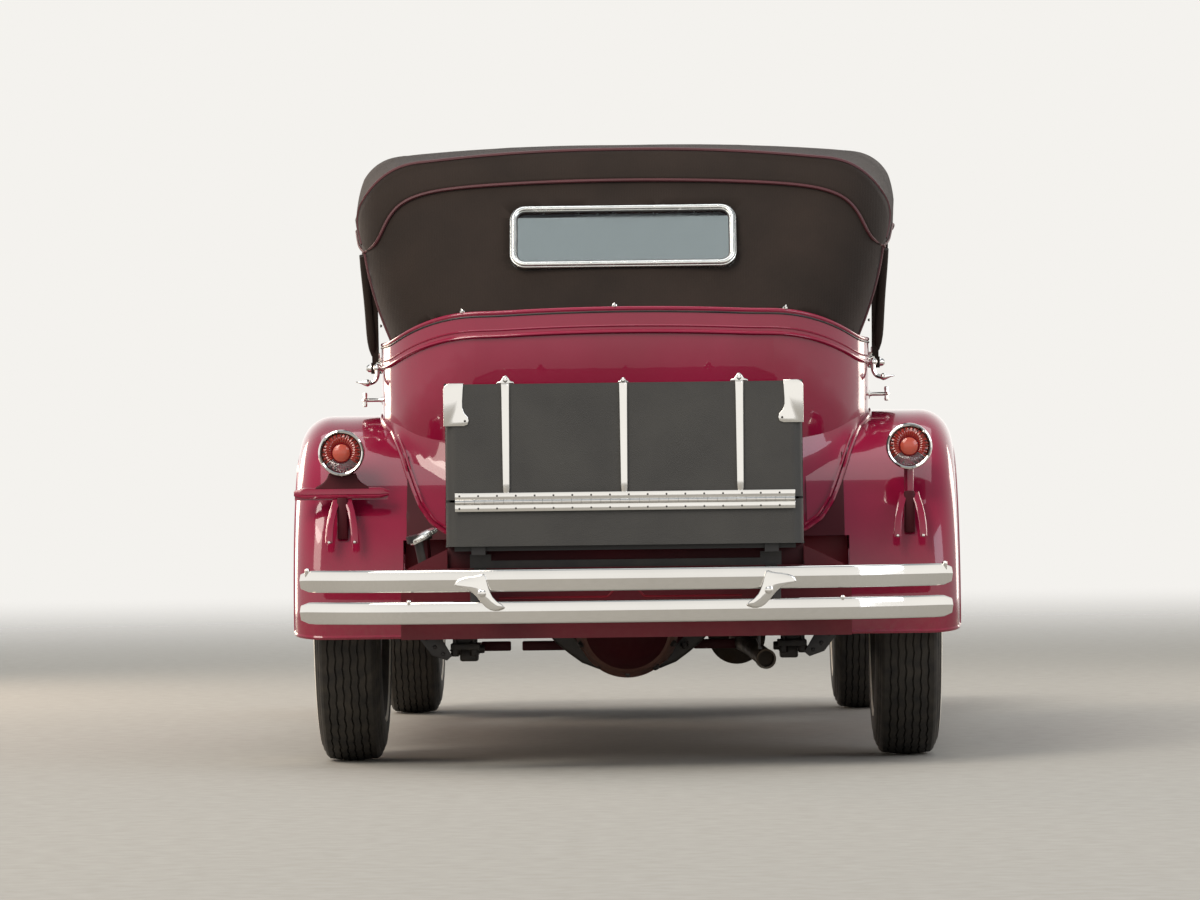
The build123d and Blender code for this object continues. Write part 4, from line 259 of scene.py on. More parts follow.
# three thin enamels without polish: a nearly black red, which is the body colour darkened as
# painted shade; a clear red; and a red brown, which is the body colour darkened as painted shade on
# the apron
painted_shade_lacquer = lacquer_finish("wine enamel darkened as painted shade", "#4A0A16", "#36070F",
                               0.05, 0.0, 0.5, 0.2)
arch_lacquer = lacquer_finish("deep red wheel arch enamel", "#8A1226", "#720E1E",
                              0.05, 0.0, 0.4, 0.3)
# the apron's wine red is darker than the body colour: painted shade
apron_painted_shade_lacquer = lacquer_finish("wine red apron enamel darkened as painted shade", "#641020", "#500C19",
                               0.08, 0.0, 0.4, 0.3)
print("made:", wine_lacquer.name)

# %% [markdown]
# ## Finish: chrome plate and other metals
# Bright parts are polished and plated steel: fully metallic, nearly a mirror, with faint
# wiping marks that vary the gloss. Painted iron is one tone with dust in patches, and
# castings have a rough skin under their paint.

# %% Metals and enamels
def metal_finish(name, light_tone, dark_tone, sharp, dull, grain, pits=0.0):
    finish, node, place = new_finish(name)
    cloudy = mottle(node, place, grain, 5)
    inputs = {"Base Color": node("Mix", {0: cloudy, 6: dark_tone, 7: light_tone}, **BLEND),
              "Metallic": 1.0, "Roughness": node("MapRange", {0: cloudy, 3: sharp, 4: dull})}
    if pits:
        inputs["Normal"] = node("Bump", {"Height": mottle(node, place, grain * 9, 4),
                                         "Strength": pits, "Distance": 0.0006})
    return surfaced(finish, node, inputs)


def enamel_finish(name, tone, dusty_tone, gloss, grime=0.45, rough_cast=0.0):
    finish, node, place = new_finish(name)
    patches = mottle(node, place, 14, 6, grime)
    inputs = {"Base Color": node("Mix", {0: patches, 6: tone, 7: dusty_tone}, **BLEND),
              "Roughness": gloss, "IOR": 1.5}
    if rough_cast:
        inputs["Normal"] = node("Bump", {"Height": mottle(node, place, 320, 5),
                                         "Strength": rough_cast, "Distance": 0.0012})
    return surfaced(finish, node, inputs)


# a mirror with the faintest haze
chrome = metal_finish("chrome plated steel", "#E2E0DC", "#DCDAD6", 0.03, 0.065, 4)
# pale and softly blurred
satin_nickel = metal_finish("satin nickel plate", "#F1F2EF", "#E6E8E5", 0.2, 0.3, 30)
# grey metal with a broad, dull shine
brushed_aluminium = metal_finish("brushed aluminium", "#B9B9B6", "#9C9C99", 0.28, 0.42, 90)
# brown from heat, pitted
pipe_steel = metal_finish("heat stained steel pipe", "#4E4842", "#30271F", 0.42, 0.7, 22, 0.35)
# black paint with brown dust in its corners
chassis_enamel = enamel_finish("black chassis enamel", "#17161A", "#4A433B", 0.36)
# the same over a rough casting
axle_enamel = enamel_finish("black axle enamel on cast iron", "#1A191B", "#51483E",
                            0.45, 0.55, 0.35)
# red brown, lighter than the black axle as a painted highlight on the flange ring, with patches of
# dust
flange_highlight_enamel = enamel_finish("dusty wine enamel on the axle flange", "#5E3833", "#80604F",
                              0.42, 0.7, 0.2)
# nearly black, without shine
rack_enamel = enamel_finish("black luggage rack enamel", "#0C0B0C", "#1E1A18", 0.55, 0.3)
# dark steel, brown where oil holds the dust
spring_paint = enamel_finish("oiled spring steel", "#1B1A1A", "#5A4B3A", 0.4, 0.6, 0.2)
# grey green with dark stains
engine_enamel = enamel_finish("grey green engine enamel on cast iron", "#4B5650", "#2E2B27",
                              0.5, 0.4, 0.5)
# black with dust between the fins
core_brass = enamel_finish("black painted radiator brass", "#121212", "#3C3226", 0.5, 0.5)
# smooth, even black
dial_black = enamel_finish("black dial face", "#0E0E0E", "#1C1C1C", 0.3, 0.3)
print("metals and enamels:", chrome.name, chassis_enamel.name)

# %% [markdown]
# ## Finish: rubber
# Tyre rubber is a dark, matt grey-brown with dust in the tread. The white wall is the
# same rubber with zinc white in it, a little yellowed.

# %% Rubber
def rubber_finish(name, tone, dusty_tone, amount, gloss):
    finish, node, place = new_finish(name)
    patches, grain = mottle(node, place, 26, 7, amount), mottle(node, place, 700, 3)
    return surfaced(finish, node, {
        "Base Color": node("Mix", {0: patches, 6: tone, 7: dusty_tone}, **BLEND),
        "Roughness": gloss, "IOR": 1.52, "Specular IOR Level": 0.35,
        "Normal": node("Bump", {"Height": grain, "Strength": 0.25, "Distance": 0.0006})})


# matt and brownish, cream and a little chalky, dusty in its grooves, and hard and glossy
tyre_rubber = rubber_finish("black tyre rubber", "#211F1D", "#4E473D", 0.5, 0.72)
white_rubber = rubber_finish("white wall rubber", "#DDD8CB", "#A69D8B", 0.35, 0.6)
mat_rubber = rubber_finish("black ribbed mat rubber", "#1C1B1A", "#5C5548", 0.5, 0.62)
rim_rubber = rubber_finish("hard black wheel rim rubber", "#121111", "#262320", 0.4, 0.25)

# %% [markdown]
# ## Finish: cloth and leathercloth
# The top is a thick twill woven of dark brown yarn, about a thread each millimetre. That
# is too fine to show from 17 metres, so the weave is drawn about twice as coarse. The
# pattern is two wave textures at right angles over a noise for the uneven yarn. Leather
# and leathercloth have small cells of grain with creases between them.

# %% Cloth and hides
def woven_finish(name, yarn, shade, pitch, sheen):
    finish, node, place = new_finish(name)
    across, forward, up = (node("SeparateXYZ", {0: place}, axis) for axis in range(3))
    run = node("Math", {0: forward, 1: up}, operation="ADD")
    lay = node("CombineXYZ", {0: across, 1: run})
    threads = [node("TexWave", {"Vector": lay, "Scale": 0.16 / pitch, "Distortion": 1.5}, 1,
                    bands_direction=axis) for axis in "XY"]
    cloth = node("Math", {0: threads[0], 1: threads[1]}, operation="MAXIMUM")
    faded = node("Mix", {0: mottle(node, place, 5, 6), 6: shade, 7: yarn}, **BLEND)
    # the colour darkens towards near black in the gaps between threads: painted shade in the
    # hollows of the weave
    gaps = node("MapRange", {0: cloth, 3: 0.35, 4: 0.0})
    return surfaced(finish, node, {
        "Base Color": node("Mix", {0: gaps, 6: faded, 7: "#14100D"}, **BLEND),
        "Roughness": 0.88, "Sheen Weight": sheen, "Sheen Roughness": 0.4,
        "Specular IOR Level": 0.25,
        "Normal": node("Bump", {"Height": cloth, "Strength": 0.5, "Distance": 0.0007})})


def hide_finish(name, tone, shade, cell, depth, gloss):
    finish, node, place = new_finish(name)
    cells = node("TexVoronoi", {"Vector": place, "Scale": 1 / cell}, feature="DISTANCE_TO_EDGE")
    crease = node("MapRange", {0: cells, 2: 0.25})
    worn = mottle(node, place, 7, 5)
    return surfaced(finish, node, {
        "Base Color": node("Mix", {0: worn, 6: shade, 7: tone}, **BLEND),
        "Roughness": node("MapRange", {0: worn, 3: gloss, 4: gloss + 0.14}), "IOR": 1.48,
        "Normal": node("Bump", {"Height": crease, "Strength": depth, "Distance": 0.0008})})


# matt brown that is nearly black, and a soft pile for the floor
top_cloth = woven_finish("dark brown woven top cloth", "#2F251F", "#251D18", 0.0022, 0.07)
carpet = woven_finish("dark wool carpet", "#33221F", "#281A18", 0.004, 0.3)
# dull black grain, a thin red line, and worn wine-brown leather
trunk_hide = hide_finish("grey black grained leathercloth", "#393835", "#2E2D2B",
                         0.0042, 0.35, 0.5)
piping_hide = hide_finish("wine red leathercloth piping", "#532429", "#451D21",
                          0.003, 0.2, 0.45)
seat_hide = hide_finish("wine brown seat leather", "#5C2622", "#46191A", 0.005, 0.35, 0.4)
print("cloths:", top_cloth.name, trunk_hide.name, seat_hide.name)

# %% [markdown]
# ## Finish: wood and glass
# The dashboard is varnished walnut. A wave texture stretched along the grain gives the
# rings, bent by noise. Window glass is clear, with a faint grey body. Lens glass is
# tinted through, so it is a transmitting shader with the colour in it.

# %% Walnut
walnut, node, place = new_finish("varnished walnut")
WALNUT_TONES = ("#2C1710", "#5A3320")
RING_WIDTH = 0.005
stretched = node("Mapping", {"Vector": place, "Scale": (0.25, 1, 1)})
rings = node("TexWave", {"Vector": stretched, "Scale": 1 / RING_WIDTH / 20, "Distortion": 7,
                         "Detail": 4, "Detail Scale": 1.6}, 1, wave_type="RINGS")
pores = node("MapRange", {0: mottle(node, stretched, 120, 5), 3: 0.3, 4: 0.0})
tone = node("Mix", {0: rings, 6: WALNUT_TONES[0], 7: WALNUT_TONES[1]}, **BLEND)
surfaced(walnut, node, {
    "Base Color": node("Mix", {0: pores, 6: tone, 7: WALNUT_TONES[0]}, **BLEND),
    "Roughness": 0.3, "IOR": 1.5, "Coat Weight": 0.8, "Coat Roughness": 0.06,
    "Normal": node("Bump", {"Height": rings, "Strength": 0.08, "Distance": 0.0005})})


# %% Glass
def glass_finish(name, tone, gloss, see_through, ripple=0.0):
    finish, node, place = new_finish(name)
    film = node("MapRange", {0: mottle(node, place, 9, 4), 3: gloss, 4: gloss + 0.05})
    inputs = {"Base Color": tone, "Roughness": film, "IOR": 1.5, "Transmission Weight": see_through}
    if ripple:
        inputs["Normal"] = node("Bump", {"Height": mottle(node, place, 60, 2),
                                         "Strength": ripple, "Distance": 0.0006})
    return surfaced(finish, node, inputs)


# clear and grey, clear and rippled, then two lenses that glow where light goes through
window_glass = glass_finish("window glass", "#BAC1C3", 0.0, 1.0)
lamp_glass = glass_finish("clear lamp glass", "#F2F4F2", 0.03, 0.95, 0.3)
red_glass = glass_finish("ruby red lamp glass", "#A02F25", 0.08, 0.25, 0.15)
amber_glass = glass_finish("orange red lamp glass", "#CC5B48", 0.12, 0.25, 0.1)
print("glass:", window_glass.name, red_glass.name)

# %% [markdown]
# ## Finishes on the CAD solids
# Every solid keeps its shape and takes a finish through its own material slots. One
# short table says which finish covers which solids.

# %% Hand out the finishes
CORNERS = ("front_left", "front_right", "rear_left", "rear_right")


def four(kind):
    return " ".join(f"{kind}_{corner}" for corner in CORNERS)


COVERED = {
    wine_lacquer: "cowl body_tub engine_side_panels running_boards tail_lamps hood_left "
                  f"hood_right {four('fender')} {four('door')}",
    wheel_lacquer: four("wheel"), tyre_rubber: four("tyre"),
    # the rear axle and the apron take the wine red darkened as painted shade
    painted_shade_lacquer: "rear_axle", apron_painted_shade_lacquer: "rear_apron", engine_enamel: "engine_block",
    chassis_enamel: "chassis_frame fuel_tank steering_column", rack_enamel: "trunk_rack",
    axle_enamel: "front_axle knuckle_left knuckle_right tie_rod", pipe_steel: "exhaust",
    chrome: "radiator_shell windscreen_frame rear_bumper front_bumper headlamps hood_rod",
    core_brass: "radiator_core", spring_paint: "leaf_springs", walnut: "dashboard",
    carpet: "body_floor", seat_hide: "front_seat rear_seat", rim_rubber: "steering_wheel",
    window_glass: "windscreen_glass rear_window_glass", satin_nickel: "rear_window_frame",
    top_cloth: "top_canopy top_bows", trunk_hide: "trunk_body trunk_lid",
    lamp_glass: "headlamp_lenses", red_glass: "tail_lamp_lenses",
}
for finish, names in COVERED.items():
    for name in names.split():
        for slot in nodes[name].material_slots:
            slot.material = finish
bare = set(nodes) - set(" ".join(COVERED.values()).split())
print("solids without a finish:", sorted(bare))
# %% [markdown]
# ## How new pieces are made here
# A bmesh starts from a primitive or a profile, and operators shape it. A few small
# helpers finish the work: one closes a piece and puts it on its body, one draws round
# beads and rods through points with a smooth curve, one spins a profile, and one finds a
# place on the skin of a solid by casting a ray at it, so that trim sits on the panel
# that carries it.

# %% Places, closing a piece, and rays
BEHIND, AHEAD = Vector((0, -1, 0)), Vector((0, 1, 0))


def at(x, y, z):
    """A place whose y is measured forwards from the rear axle."""
    return Vector((x, REAR_AXLE_Y + y, z))


def mm(*pairs):
    """Pairs of millimetres, as metres."""
    return [(first / 1000, second / 1000) for first, second in pairs]


def turns(count, start=0.0):
    """Even angles round a full circle."""
    return [start + 2 * pi * k / count for k in range(count)]


def spokes(count, start=0.0):
    """Even directions round a wheel."""
    return [Vector((0, cos(angle), sin(angle))) for angle in turns(count, start)]


def into_object(name, bm, finishes, sharp=35, body="chassis"):
    """Merges doubles, turns the faces outwards, and rides the piece on its body."""
    bmesh.ops.remove_doubles(bm, verts=bm.verts, dist=0.00002)
    bmesh.ops.recalc_face_normals(bm, faces=bm.faces)
    mesh = bpy.data.meshes.new(name)
    bm.to_mesh(mesh)
    bm.free()
    for finish in finishes:
        mesh.materials.append(finish)
    mesh.shade_smooth()
    mesh.set_sharp_from_angle(angle=radians(sharp))
    made = bpy.data.objects.new(name, mesh)
    bpy.context.scene.collection.objects.link(made)
    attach(made, body)
    return made


def skin_of(*names):
    """The joined surface of some solids, ready for rays."""
    bm = bmesh.new()
    for name in names:
        bm.from_mesh(nodes[name].data)
    bmesh.ops.remove_doubles(bm, verts=bm.verts, dist=0.00001)
    skin = BVHTree.FromBMesh(bm)
    bm.free()
    return skin


def touch(skin, start, direction):
    """Where a ray first meets a skin, and the skin's outward direction there."""
    return skin.ray_cast(Vector(start), Vector(direction).normalized())[:2]


def side_touch(skin, side, y, z):
    """The same for a level ray from one side of the car to its middle."""
    return touch(skin, (side * 1.3, y, z), (-side, 0, 0))


# %% Rods, blocks and turned parts
def from_curve(bm, curve, points, kind, closed, finish, matrix=Matrix.Identity(4)):
    """Gives a curve one spline through the points, and joins its mesh to the bmesh."""
    spline = curve.splines.new(kind)
    spline.points.add(len(points) - 1)
    for knot, place in zip(spline.points, points):
        knot.co = (*place, 1)
    spline.use_cyclic_u = closed
    if kind == "NURBS":
        spline.order_u = 3
        spline.use_endpoint_u = not closed
    holder = bpy.data.objects.new("route", curve)
    mesh = bpy.data.meshes.new_from_object(holder)
    mesh.transform(matrix)
    mesh.polygons.foreach_set("material_index", [finish] * len(mesh.polygons))
    before = set(bm.verts)
    bm.from_mesh(mesh)
    bpy.data.objects.remove(holder)
    bpy.data.curves.remove(curve)
    bpy.data.meshes.remove(mesh)
    return [vert for vert in bm.verts if vert not in before]


def bead(bm, points, radius, around=8, smooth=True, closed=False, finish=0):
    """A round rod through the points, straight between them or smooth."""
    curve = bpy.data.curves.new("route", "CURVE")
    curve.dimensions = "3D"
    curve.bevel_depth = radius
    curve.bevel_resolution = around // 4 - 1
    curve.resolution_u = 4 if smooth else 1
    curve.use_fill_caps = True
    from_curve(bm, curve, points, "NURBS" if smooth else "POLY", closed, finish)


def finish_of(made, finish):
    """Gives the faces of the vertices that an operator made their finish."""
    for face in {face for vert in made for face in vert.link_faces}:
        face.material_index = finish


def block(bm, size, place, edge, turn=Matrix.Identity(4), steps=2, finish=0):
    """A block with rounded edges, turned about its middle and put in its place."""
    made = bmesh.ops.create_cube(bm, size=1.0)["verts"]
    bmesh.ops.scale(bm, vec=size, verts=made)
    edges = list({e for v in made for e in v.link_edges})
    faces = bmesh.ops.bevel(bm, geom=edges, offset=edge, offset_type="OFFSET", profile=0.5,
                            segments=steps, affect="EDGES", material=-1)["faces"]
    made = list({v for f in faces for v in f.verts} | {v for v in made if v.is_valid})
    bmesh.ops.transform(bm, matrix=Matrix.Translation(place) @ turn, verts=made)
    finish_of(made, finish)


def aim(direction):
    """A turn that takes +Z to a direction."""
    return Vector(direction).to_track_quat("Z", "Y").to_matrix().to_4x4()


def lathe(bm, profile, place, direction, steps=24, finish=0):
    """Spins a profile of (radius, height) pairs about a direction through a place."""
    before = set(bm.verts)
    line = [bm.verts.new((radius, 0, height)) for radius, height in profile]
    edges = [bm.edges.new(pair) for pair in zip(line, line[1:])]
    bmesh.ops.spin(bm, geom=line + edges, axis=(0, 0, 1), cent=(0, 0, 0), angle=2 * pi,
                   steps=steps, use_merge=True)
    made = [vert for vert in bm.verts if vert not in before]
    bmesh.ops.remove_doubles(bm, verts=made, dist=0.00001)
    made = [vert for vert in made if vert.is_valid]
    bmesh.ops.transform(bm, matrix=Matrix.Translation(place) @ aim(direction), verts=made)
    finish_of(made, finish)
    return made


def nut(bm, place, direction, across, high):
    """A hexagon nut on a washer, with a bevelled top."""
    corner = across / 2 / cos(pi / 6)
    washer, rim = corner * 1.25, corner * 0.8
    lathe(bm, [(0, -0.001), (washer, -0.001), (washer, high * 0.18), (0, high * 0.18)],
          place, direction, 12)
    lathe(bm, [(0, 0), (corner, 0), (corner, high * 0.85), (rim, high), (0, high)],
          place, direction, 6)


def half_circle(radius):
    """The profile of a ball."""
    return [(radius * sin(pi * k / 10), radius * cos(pi * k / 10)) for k in range(11)]


def screw(bm, place, direction, radius, finish=0):
    """A small domed screw head."""
    dome = ((0, 0.55), (0.5, 0.48), (0.87, 0.26), (1, 0), (1, -0.5), (0, -0.5))
    lathe(bm, [(radius * a, radius * b) for a, b in dome], place, direction, 10, finish)


# %% Nets, and one section carried along a route
def net(bm, columns, rows, place):
    """A grid of faces whose points stand where place(column, row) says."""
    made = bmesh.ops.create_grid(bm, x_segments=columns, y_segments=rows, size=1.0)["verts"]
    for vert in made:
        u, v = vert.co.x, vert.co.y
        vert.co = place(round((u + 1) / 2 * columns), round((v + 1) / 2 * rows))
    return made


def carried(bm, columns, section, place, finish=0):
    """A closed section carried along columns of places, with its ends filled."""
    rows = len(section)
    made = net(bm, columns, rows, lambda column, row: place(column, section[row % rows]))
    bmesh.ops.remove_doubles(bm, verts=made, dist=0.00001)
    made = [vert for vert in made if vert.is_valid]
    rims = [e for e in {e for v in made for e in v.link_edges} if e.is_boundary]
    bmesh.ops.holes_fill(bm, edges=rims, sides=0)
    finish_of(made, finish)


def oval(width, height, count, square=1.0):
    """Points round an oval by its half width and height. A low square fills its corners."""
    def side(value):
        return copysign(abs(value) ** square, value)
    return [(width * side(cos(a)), height * side(sin(a))) for a in turns(count)]


print("helpers ready")

# %% [markdown]
# ## The cloth top
# The top is one piece of canvas pulled over wooden bows and tacked round the rear bow.
# A curtain drops from the rear bow to the tub's rim, and a flap with a shaped lower edge
# covers the joint. The CAD shell has the right form, so its outer skin is taken as the
# cut pattern: a copy is merged, only the faces that look outwards are kept, and planes
# cut it into a fine net. The net can then stand full at its square shoulders and sag
# between the bows like real cloth, which a stiff solid can't, and a Solidify modifier
# gives it the thickness of canvas.

# %% Canvas over the bows
BOW_STATIONS = [REAR_AXLE_Y + y for y in (-0.104, 0.5, 1.2, 1.99)]
CANVAS = 0.0026
SAG = 0.007
CURTAIN_FRONT_Y = REAR_AXLE_Y + 0.05
bm = bmesh.new()
bm.from_mesh(nodes["top_canopy"].data)
bmesh.ops.remove_doubles(bm, verts=bm.verts, dist=0.00002)
bmesh.ops.recalc_face_normals(bm, faces=bm.faces)


def looks_outwards(face):
    centre = face.calc_center_median()
    away = centre - Vector((0, max(centre.y, CURTAIN_FRONT_Y), 1.32))
    if centre.y > CURTAIN_FRONT_Y:
        away.y = 0
    return face.normal.dot(away.normalized()) > 0.25 and abs(face.normal.y) < 0.995


bmesh.ops.delete(bm, geom=[f for f in bm.faces if not looks_outwards(f)], context="FACES")
CUTS = ((1, -2.0, 0.48, 0.05), (0, -0.75, 0.76, 0.06), (2, 1.16, 1.66, 0.05))
for axis, reach, last, step in CUTS:
    square = Matrix.Identity(3)[axis]
    while reach < last:
        whole = list(bm.verts) + list(bm.edges) + list(bm.faces)
        bmesh.ops.bisect_plane(bm, geom=whole, plane_co=square * reach, plane_no=square,
                               dist=0.0008)
        reach += step
bmesh.ops.remove_doubles(bm, verts=bm.verts, dist=0.0006)
bmesh.ops.dissolve_degenerate(bm, edges=bm.edges, dist=0.0004)
canvas_area = sum(f.calc_area() for f in bm.faces)


def crown(z):
    """0 on the side walls, growing to 1 on the roof."""
    return min(1.0, max(0.0, (z - 1.5) / 0.09))


def fullness(x, y, z):
    """How far the cloth stands above the CAD shell: the photo's roof has square shoulders."""
    share = min(1.0, max(0.0, (y - BOW_STATIONS[0]) / (BOW_STATIONS[-1] - BOW_STATIONS[0])))
    out = min(1.0, abs(x) / 0.62) ** 1.5
    lift = (0.008 + 0.03 * out) * sin(pi * share) ** 0.6
    return (lift + 0.009 * out * max(0.0, 1 - 4 * share)) * crown(z)


for vert in bm.verts:
    raised = fullness(*vert.co)
    for start, end in zip(BOW_STATIONS, BOW_STATIONS[1:]):
        if start < vert.co.y < end:
            share = (vert.co.y - start) / (end - start)
            raised -= SAG * crown(vert.co.z) * sin(pi * share) ** 0.8
    vert.co.z += raised
print("canvas faces:", len(bm.faces), "area:", round(canvas_area, 3))
canvas = into_object("canvas_top", bm, [top_cloth], 32)
walls = canvas.modifiers.new("canvas thickness", "SOLIDIFY")
walls.thickness = CANVAS
walls.offset = -1
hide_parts("top_canopy")

# %% [markdown]
# ## Piping and the rear flap
# Wine-red piping marks every seam of the top. The line of the rear bow is found by
# casting rays forwards from behind: in each direction from the middle of the curtain,
# the last ray that still meets the curtain marks the seam. The flap's lower edge was
# read from the photograph as a few points, and a smooth curve joins them.

# %% Seam lines of the top
COLUMNS = 96
CURTAIN_MIDDLE_Z = 1.37
canopy_skin = skin_of("top_canopy")


def curtain_at(x, z, proud=0.0):
    """A place on the back curtain at a height and distance from the middle, or nothing."""
    place, normal = touch(canopy_skin, (x, -4, z), (0, 1, 0))
    if place is None or normal.y > -0.22 or place.y > REAR_AXLE_Y + 0.12:
        return None
    return place - Vector((0, proud, 0))


def seam_point(angle):
    """The last place in a direction that is still curtain, found by halving."""
    def reached(reach):
        return curtain_at(reach * cos(angle), CURTAIN_MIDDLE_Z + reach * sin(angle))
    near, far = 0.05, 0.95
    for step in range(26):
        middle = (near + far) / 2
        near, far = (middle, far) if reached(middle) else (near, middle)
    return reached(near - 0.0015)


def along(points, count):
    """Places at equal spacing along a line of points."""
    points = [Vector(p) for p in points]
    steps = [0.0]
    for a, b in zip(points, points[1:]):
        steps.append(steps[-1] + (b - a).length)
    spaced, k = [], 0
    for n in range(count + 1):
        goal = steps[-1] * n / count
        while k < len(steps) - 2 and steps[k + 1] < goal:
            k += 1
        share = (goal - steps[k]) / max(1e-9, steps[k + 1] - steps[k])
        spaced.append(points[k].lerp(points[k + 1], min(1.0, share)))
    return spaced


def smoothed(points, rounds, closed=False):
    """Corner-cutting of a line, which keeps an open line's ends."""
    for turn in range(rounds):
        cut = []
        for a, b in zip(points, points[1:] + points[:1] if closed else points[1:]):
            cut += [a.lerp(b, 0.25), a.lerp(b, 0.75)]
        points = cut if closed else [points[0]] + cut + [points[-1]]
    return points


seam = [seam_point(radians(2 + 176 * k / COLUMNS)) for k in range(COLUMNS + 1)]
seam = [place + Vector((0, 0, fullness(*place))) for place in seam if place]
seam = along(smoothed(seam, 1), COLUMNS)
FLAP_EDGE = [Vector(pair) for pair in mm(
    (705, 1374), (672, 1384), (652, 1420), (634, 1464), (598, 1506),
    (530, 1531), (440, 1543), (300, 1551), (150, 1555.5), (0, 1557))]
flap_line = FLAP_EDGE + [Vector((-p.x, p.y)) for p in reversed(FLAP_EDGE[:-1])]
flap = along(smoothed(flap_line, 3), COLUMNS)
print("seam from", [round(v, 3) for v in seam[0]])

# %% Rear flap with its piping
ROWS = 7
FLAP_PROUD = 0.004


def flap_place(column, row):
    """Between the shaped lower edge and the seam, a little proud of the curtain."""
    top, low, share = seam[column], flap[column], row / ROWS
    x, z = top.x * share + low.x * (1 - share), top.z * share + low.y * (1 - share)
    found = curtain_at(x, z, FLAP_PROUD + 0.003 * sin(pi * share))
    return x, found.y if found else top.y - FLAP_PROUD, z


bm = bmesh.new()
net(bm, COLUMNS, ROWS, flap_place)
flap_area = sum(f.calc_area() for f in bm.faces)
rear_flap = into_object("rear_flap", bm, [top_cloth], 50)
walls = rear_flap.modifiers.new("canvas thickness", "SOLIDIFY")
walls.thickness = 0.002
walls.offset = 0
print("flap area:", round(flap_area, 3))

PIPING = 0.0046
SIDE_PIPING = 0.0038
OPENING = ((-0.112, 1.374), (0.13, 1.442), (0.9, 1.472), (2.004, 1.464))
bm = bmesh.new()
bead(bm, [p + Vector((0, -0.0035, 0.0035)) for p in seam[::2]], PIPING)
edge_line = [curtain_at(p.x, p.y, FLAP_PROUD + 0.003) or Vector((p.x, seam[0].y - 0.005, p.y))
             for p in flap]
bead(bm, edge_line[::2], PIPING)


def piping_along(bm, skin, rays, proud, radius):
    """A bead on the places where rays meet a skin."""
    hits = [touch(skin, start, direction) for start, direction in rays]
    bead(bm, [place + normal * proud for place, normal in hits if place], radius)


for side in (-1, 1):
    heights = [1.135 + 0.0295 * k for k in range(9)]
    foot = [(0.171 * (z - 1.08) - 0.163, z) for z in heights]
    lower = [(y0 + (y1 - y0) * k / 8, z0 + (z1 - z0) * k / 8 + 0.002)
             for (y0, z0), (y1, z1) in zip(OPENING, OPENING[1:]) for k in range(8)]
    for edge in (foot, lower):
        rays = [(at(side * 1.3, y, z), (-side, 0, 0)) for y, z in edge]
        piping_along(bm, canopy_skin, rays, 0.002, SIDE_PIPING)
front_rays = []
for k in range(41):
    angle = radians(8 + 164 * k / 40)
    out = Vector((cos(angle), 0, sin(angle)))
    front_rays.append((at(0, 2.006, 1.4) + out * 1.2, -out))
piping_along(bm, canopy_skin, front_rays, 0.001, 0.0042)
piping = into_object("top_piping", bm, [piping_hide])
print("piping faces:", len(piping.data.polygons))
# %% [markdown]
# ## Tyres with ribs and white walls
# A tyre is a body of revolution, so it is spun from half a cross-section. The section
# follows the solid's own curve, and adds what a mould adds: tread ribs with zigzag
# edges, three rounded ridges on the shoulder and a raised white wall. The faces take
# their rubber by their distance from the axle.

# %% Tyres
TYRE_HALF, TYRE_RADIUS = 0.089, 0.419
TREAD_HALF = 0.066
WIDEST = 0.3375
WHITE_FROM, WHITE_TO = 0.277, 0.368
INNER_RING_FROM, INNER_RING_TO = 0.2965, 0.3095
GROOVE, GROOVE_DEPTH = 0.0046, 0.0065
ZIGZAG = 0.0017
TURNS = 96
WHEELS = [(end, hand, side, Vector((side * x, axle_y, AXLE_Z)))
          for end, x, axle_y in (("rear", 0.748, REAR_AXLE_Y), ("front", 0.724, FRONT_AXLE_Y))
          for hand, side in HANDS]


def wall_width(radius):
    """Half the tyre's width at a distance from the axle."""
    reach = (radius - WIDEST) / 0.0755
    return TYRE_HALF - (0.03 if radius < WIDEST else 0.023) * reach * reach


def half_section(proud_white):
    """Points of (radius, width) from the bead over the shoulder to the tread's middle."""
    points = mm((244.5, 50), (245, 57.5), (262, 59.2)) + [(0.27, wall_width(0.27))]
    white = [WHITE_FROM + (WHITE_TO - WHITE_FROM) * k / 7 for k in range(8)]
    points.append((WHITE_FROM - 0.0012, wall_width(WHITE_FROM)))
    points += [(r, wall_width(r) + proud_white) for r in white]
    points.append((WHITE_TO + 0.0012, wall_width(WHITE_TO)))
    for ridge in range(3):
        for step, lift in mm((0, 0), (3, 2.2), (6, 3), (9, 2.2)):
            radius = 0.374 + 0.0125 * ridge + step
            points.append((radius, wall_width(radius) + lift))
    points += mm((411.5, 67.2), (413.5, 65))
    for place in (0.05, 0.03, 0.01):
        for shift, depth in ((0.5, 0), (0.36, 1), (-0.36, 1), (-0.5, 0)):
            width = place + shift * GROOVE
            crowned = TYRE_RADIUS - 0.006 * (width / TREAD_HALF) ** 2
            points.append((crowned - depth * GROOVE_DEPTH, width))
    return points


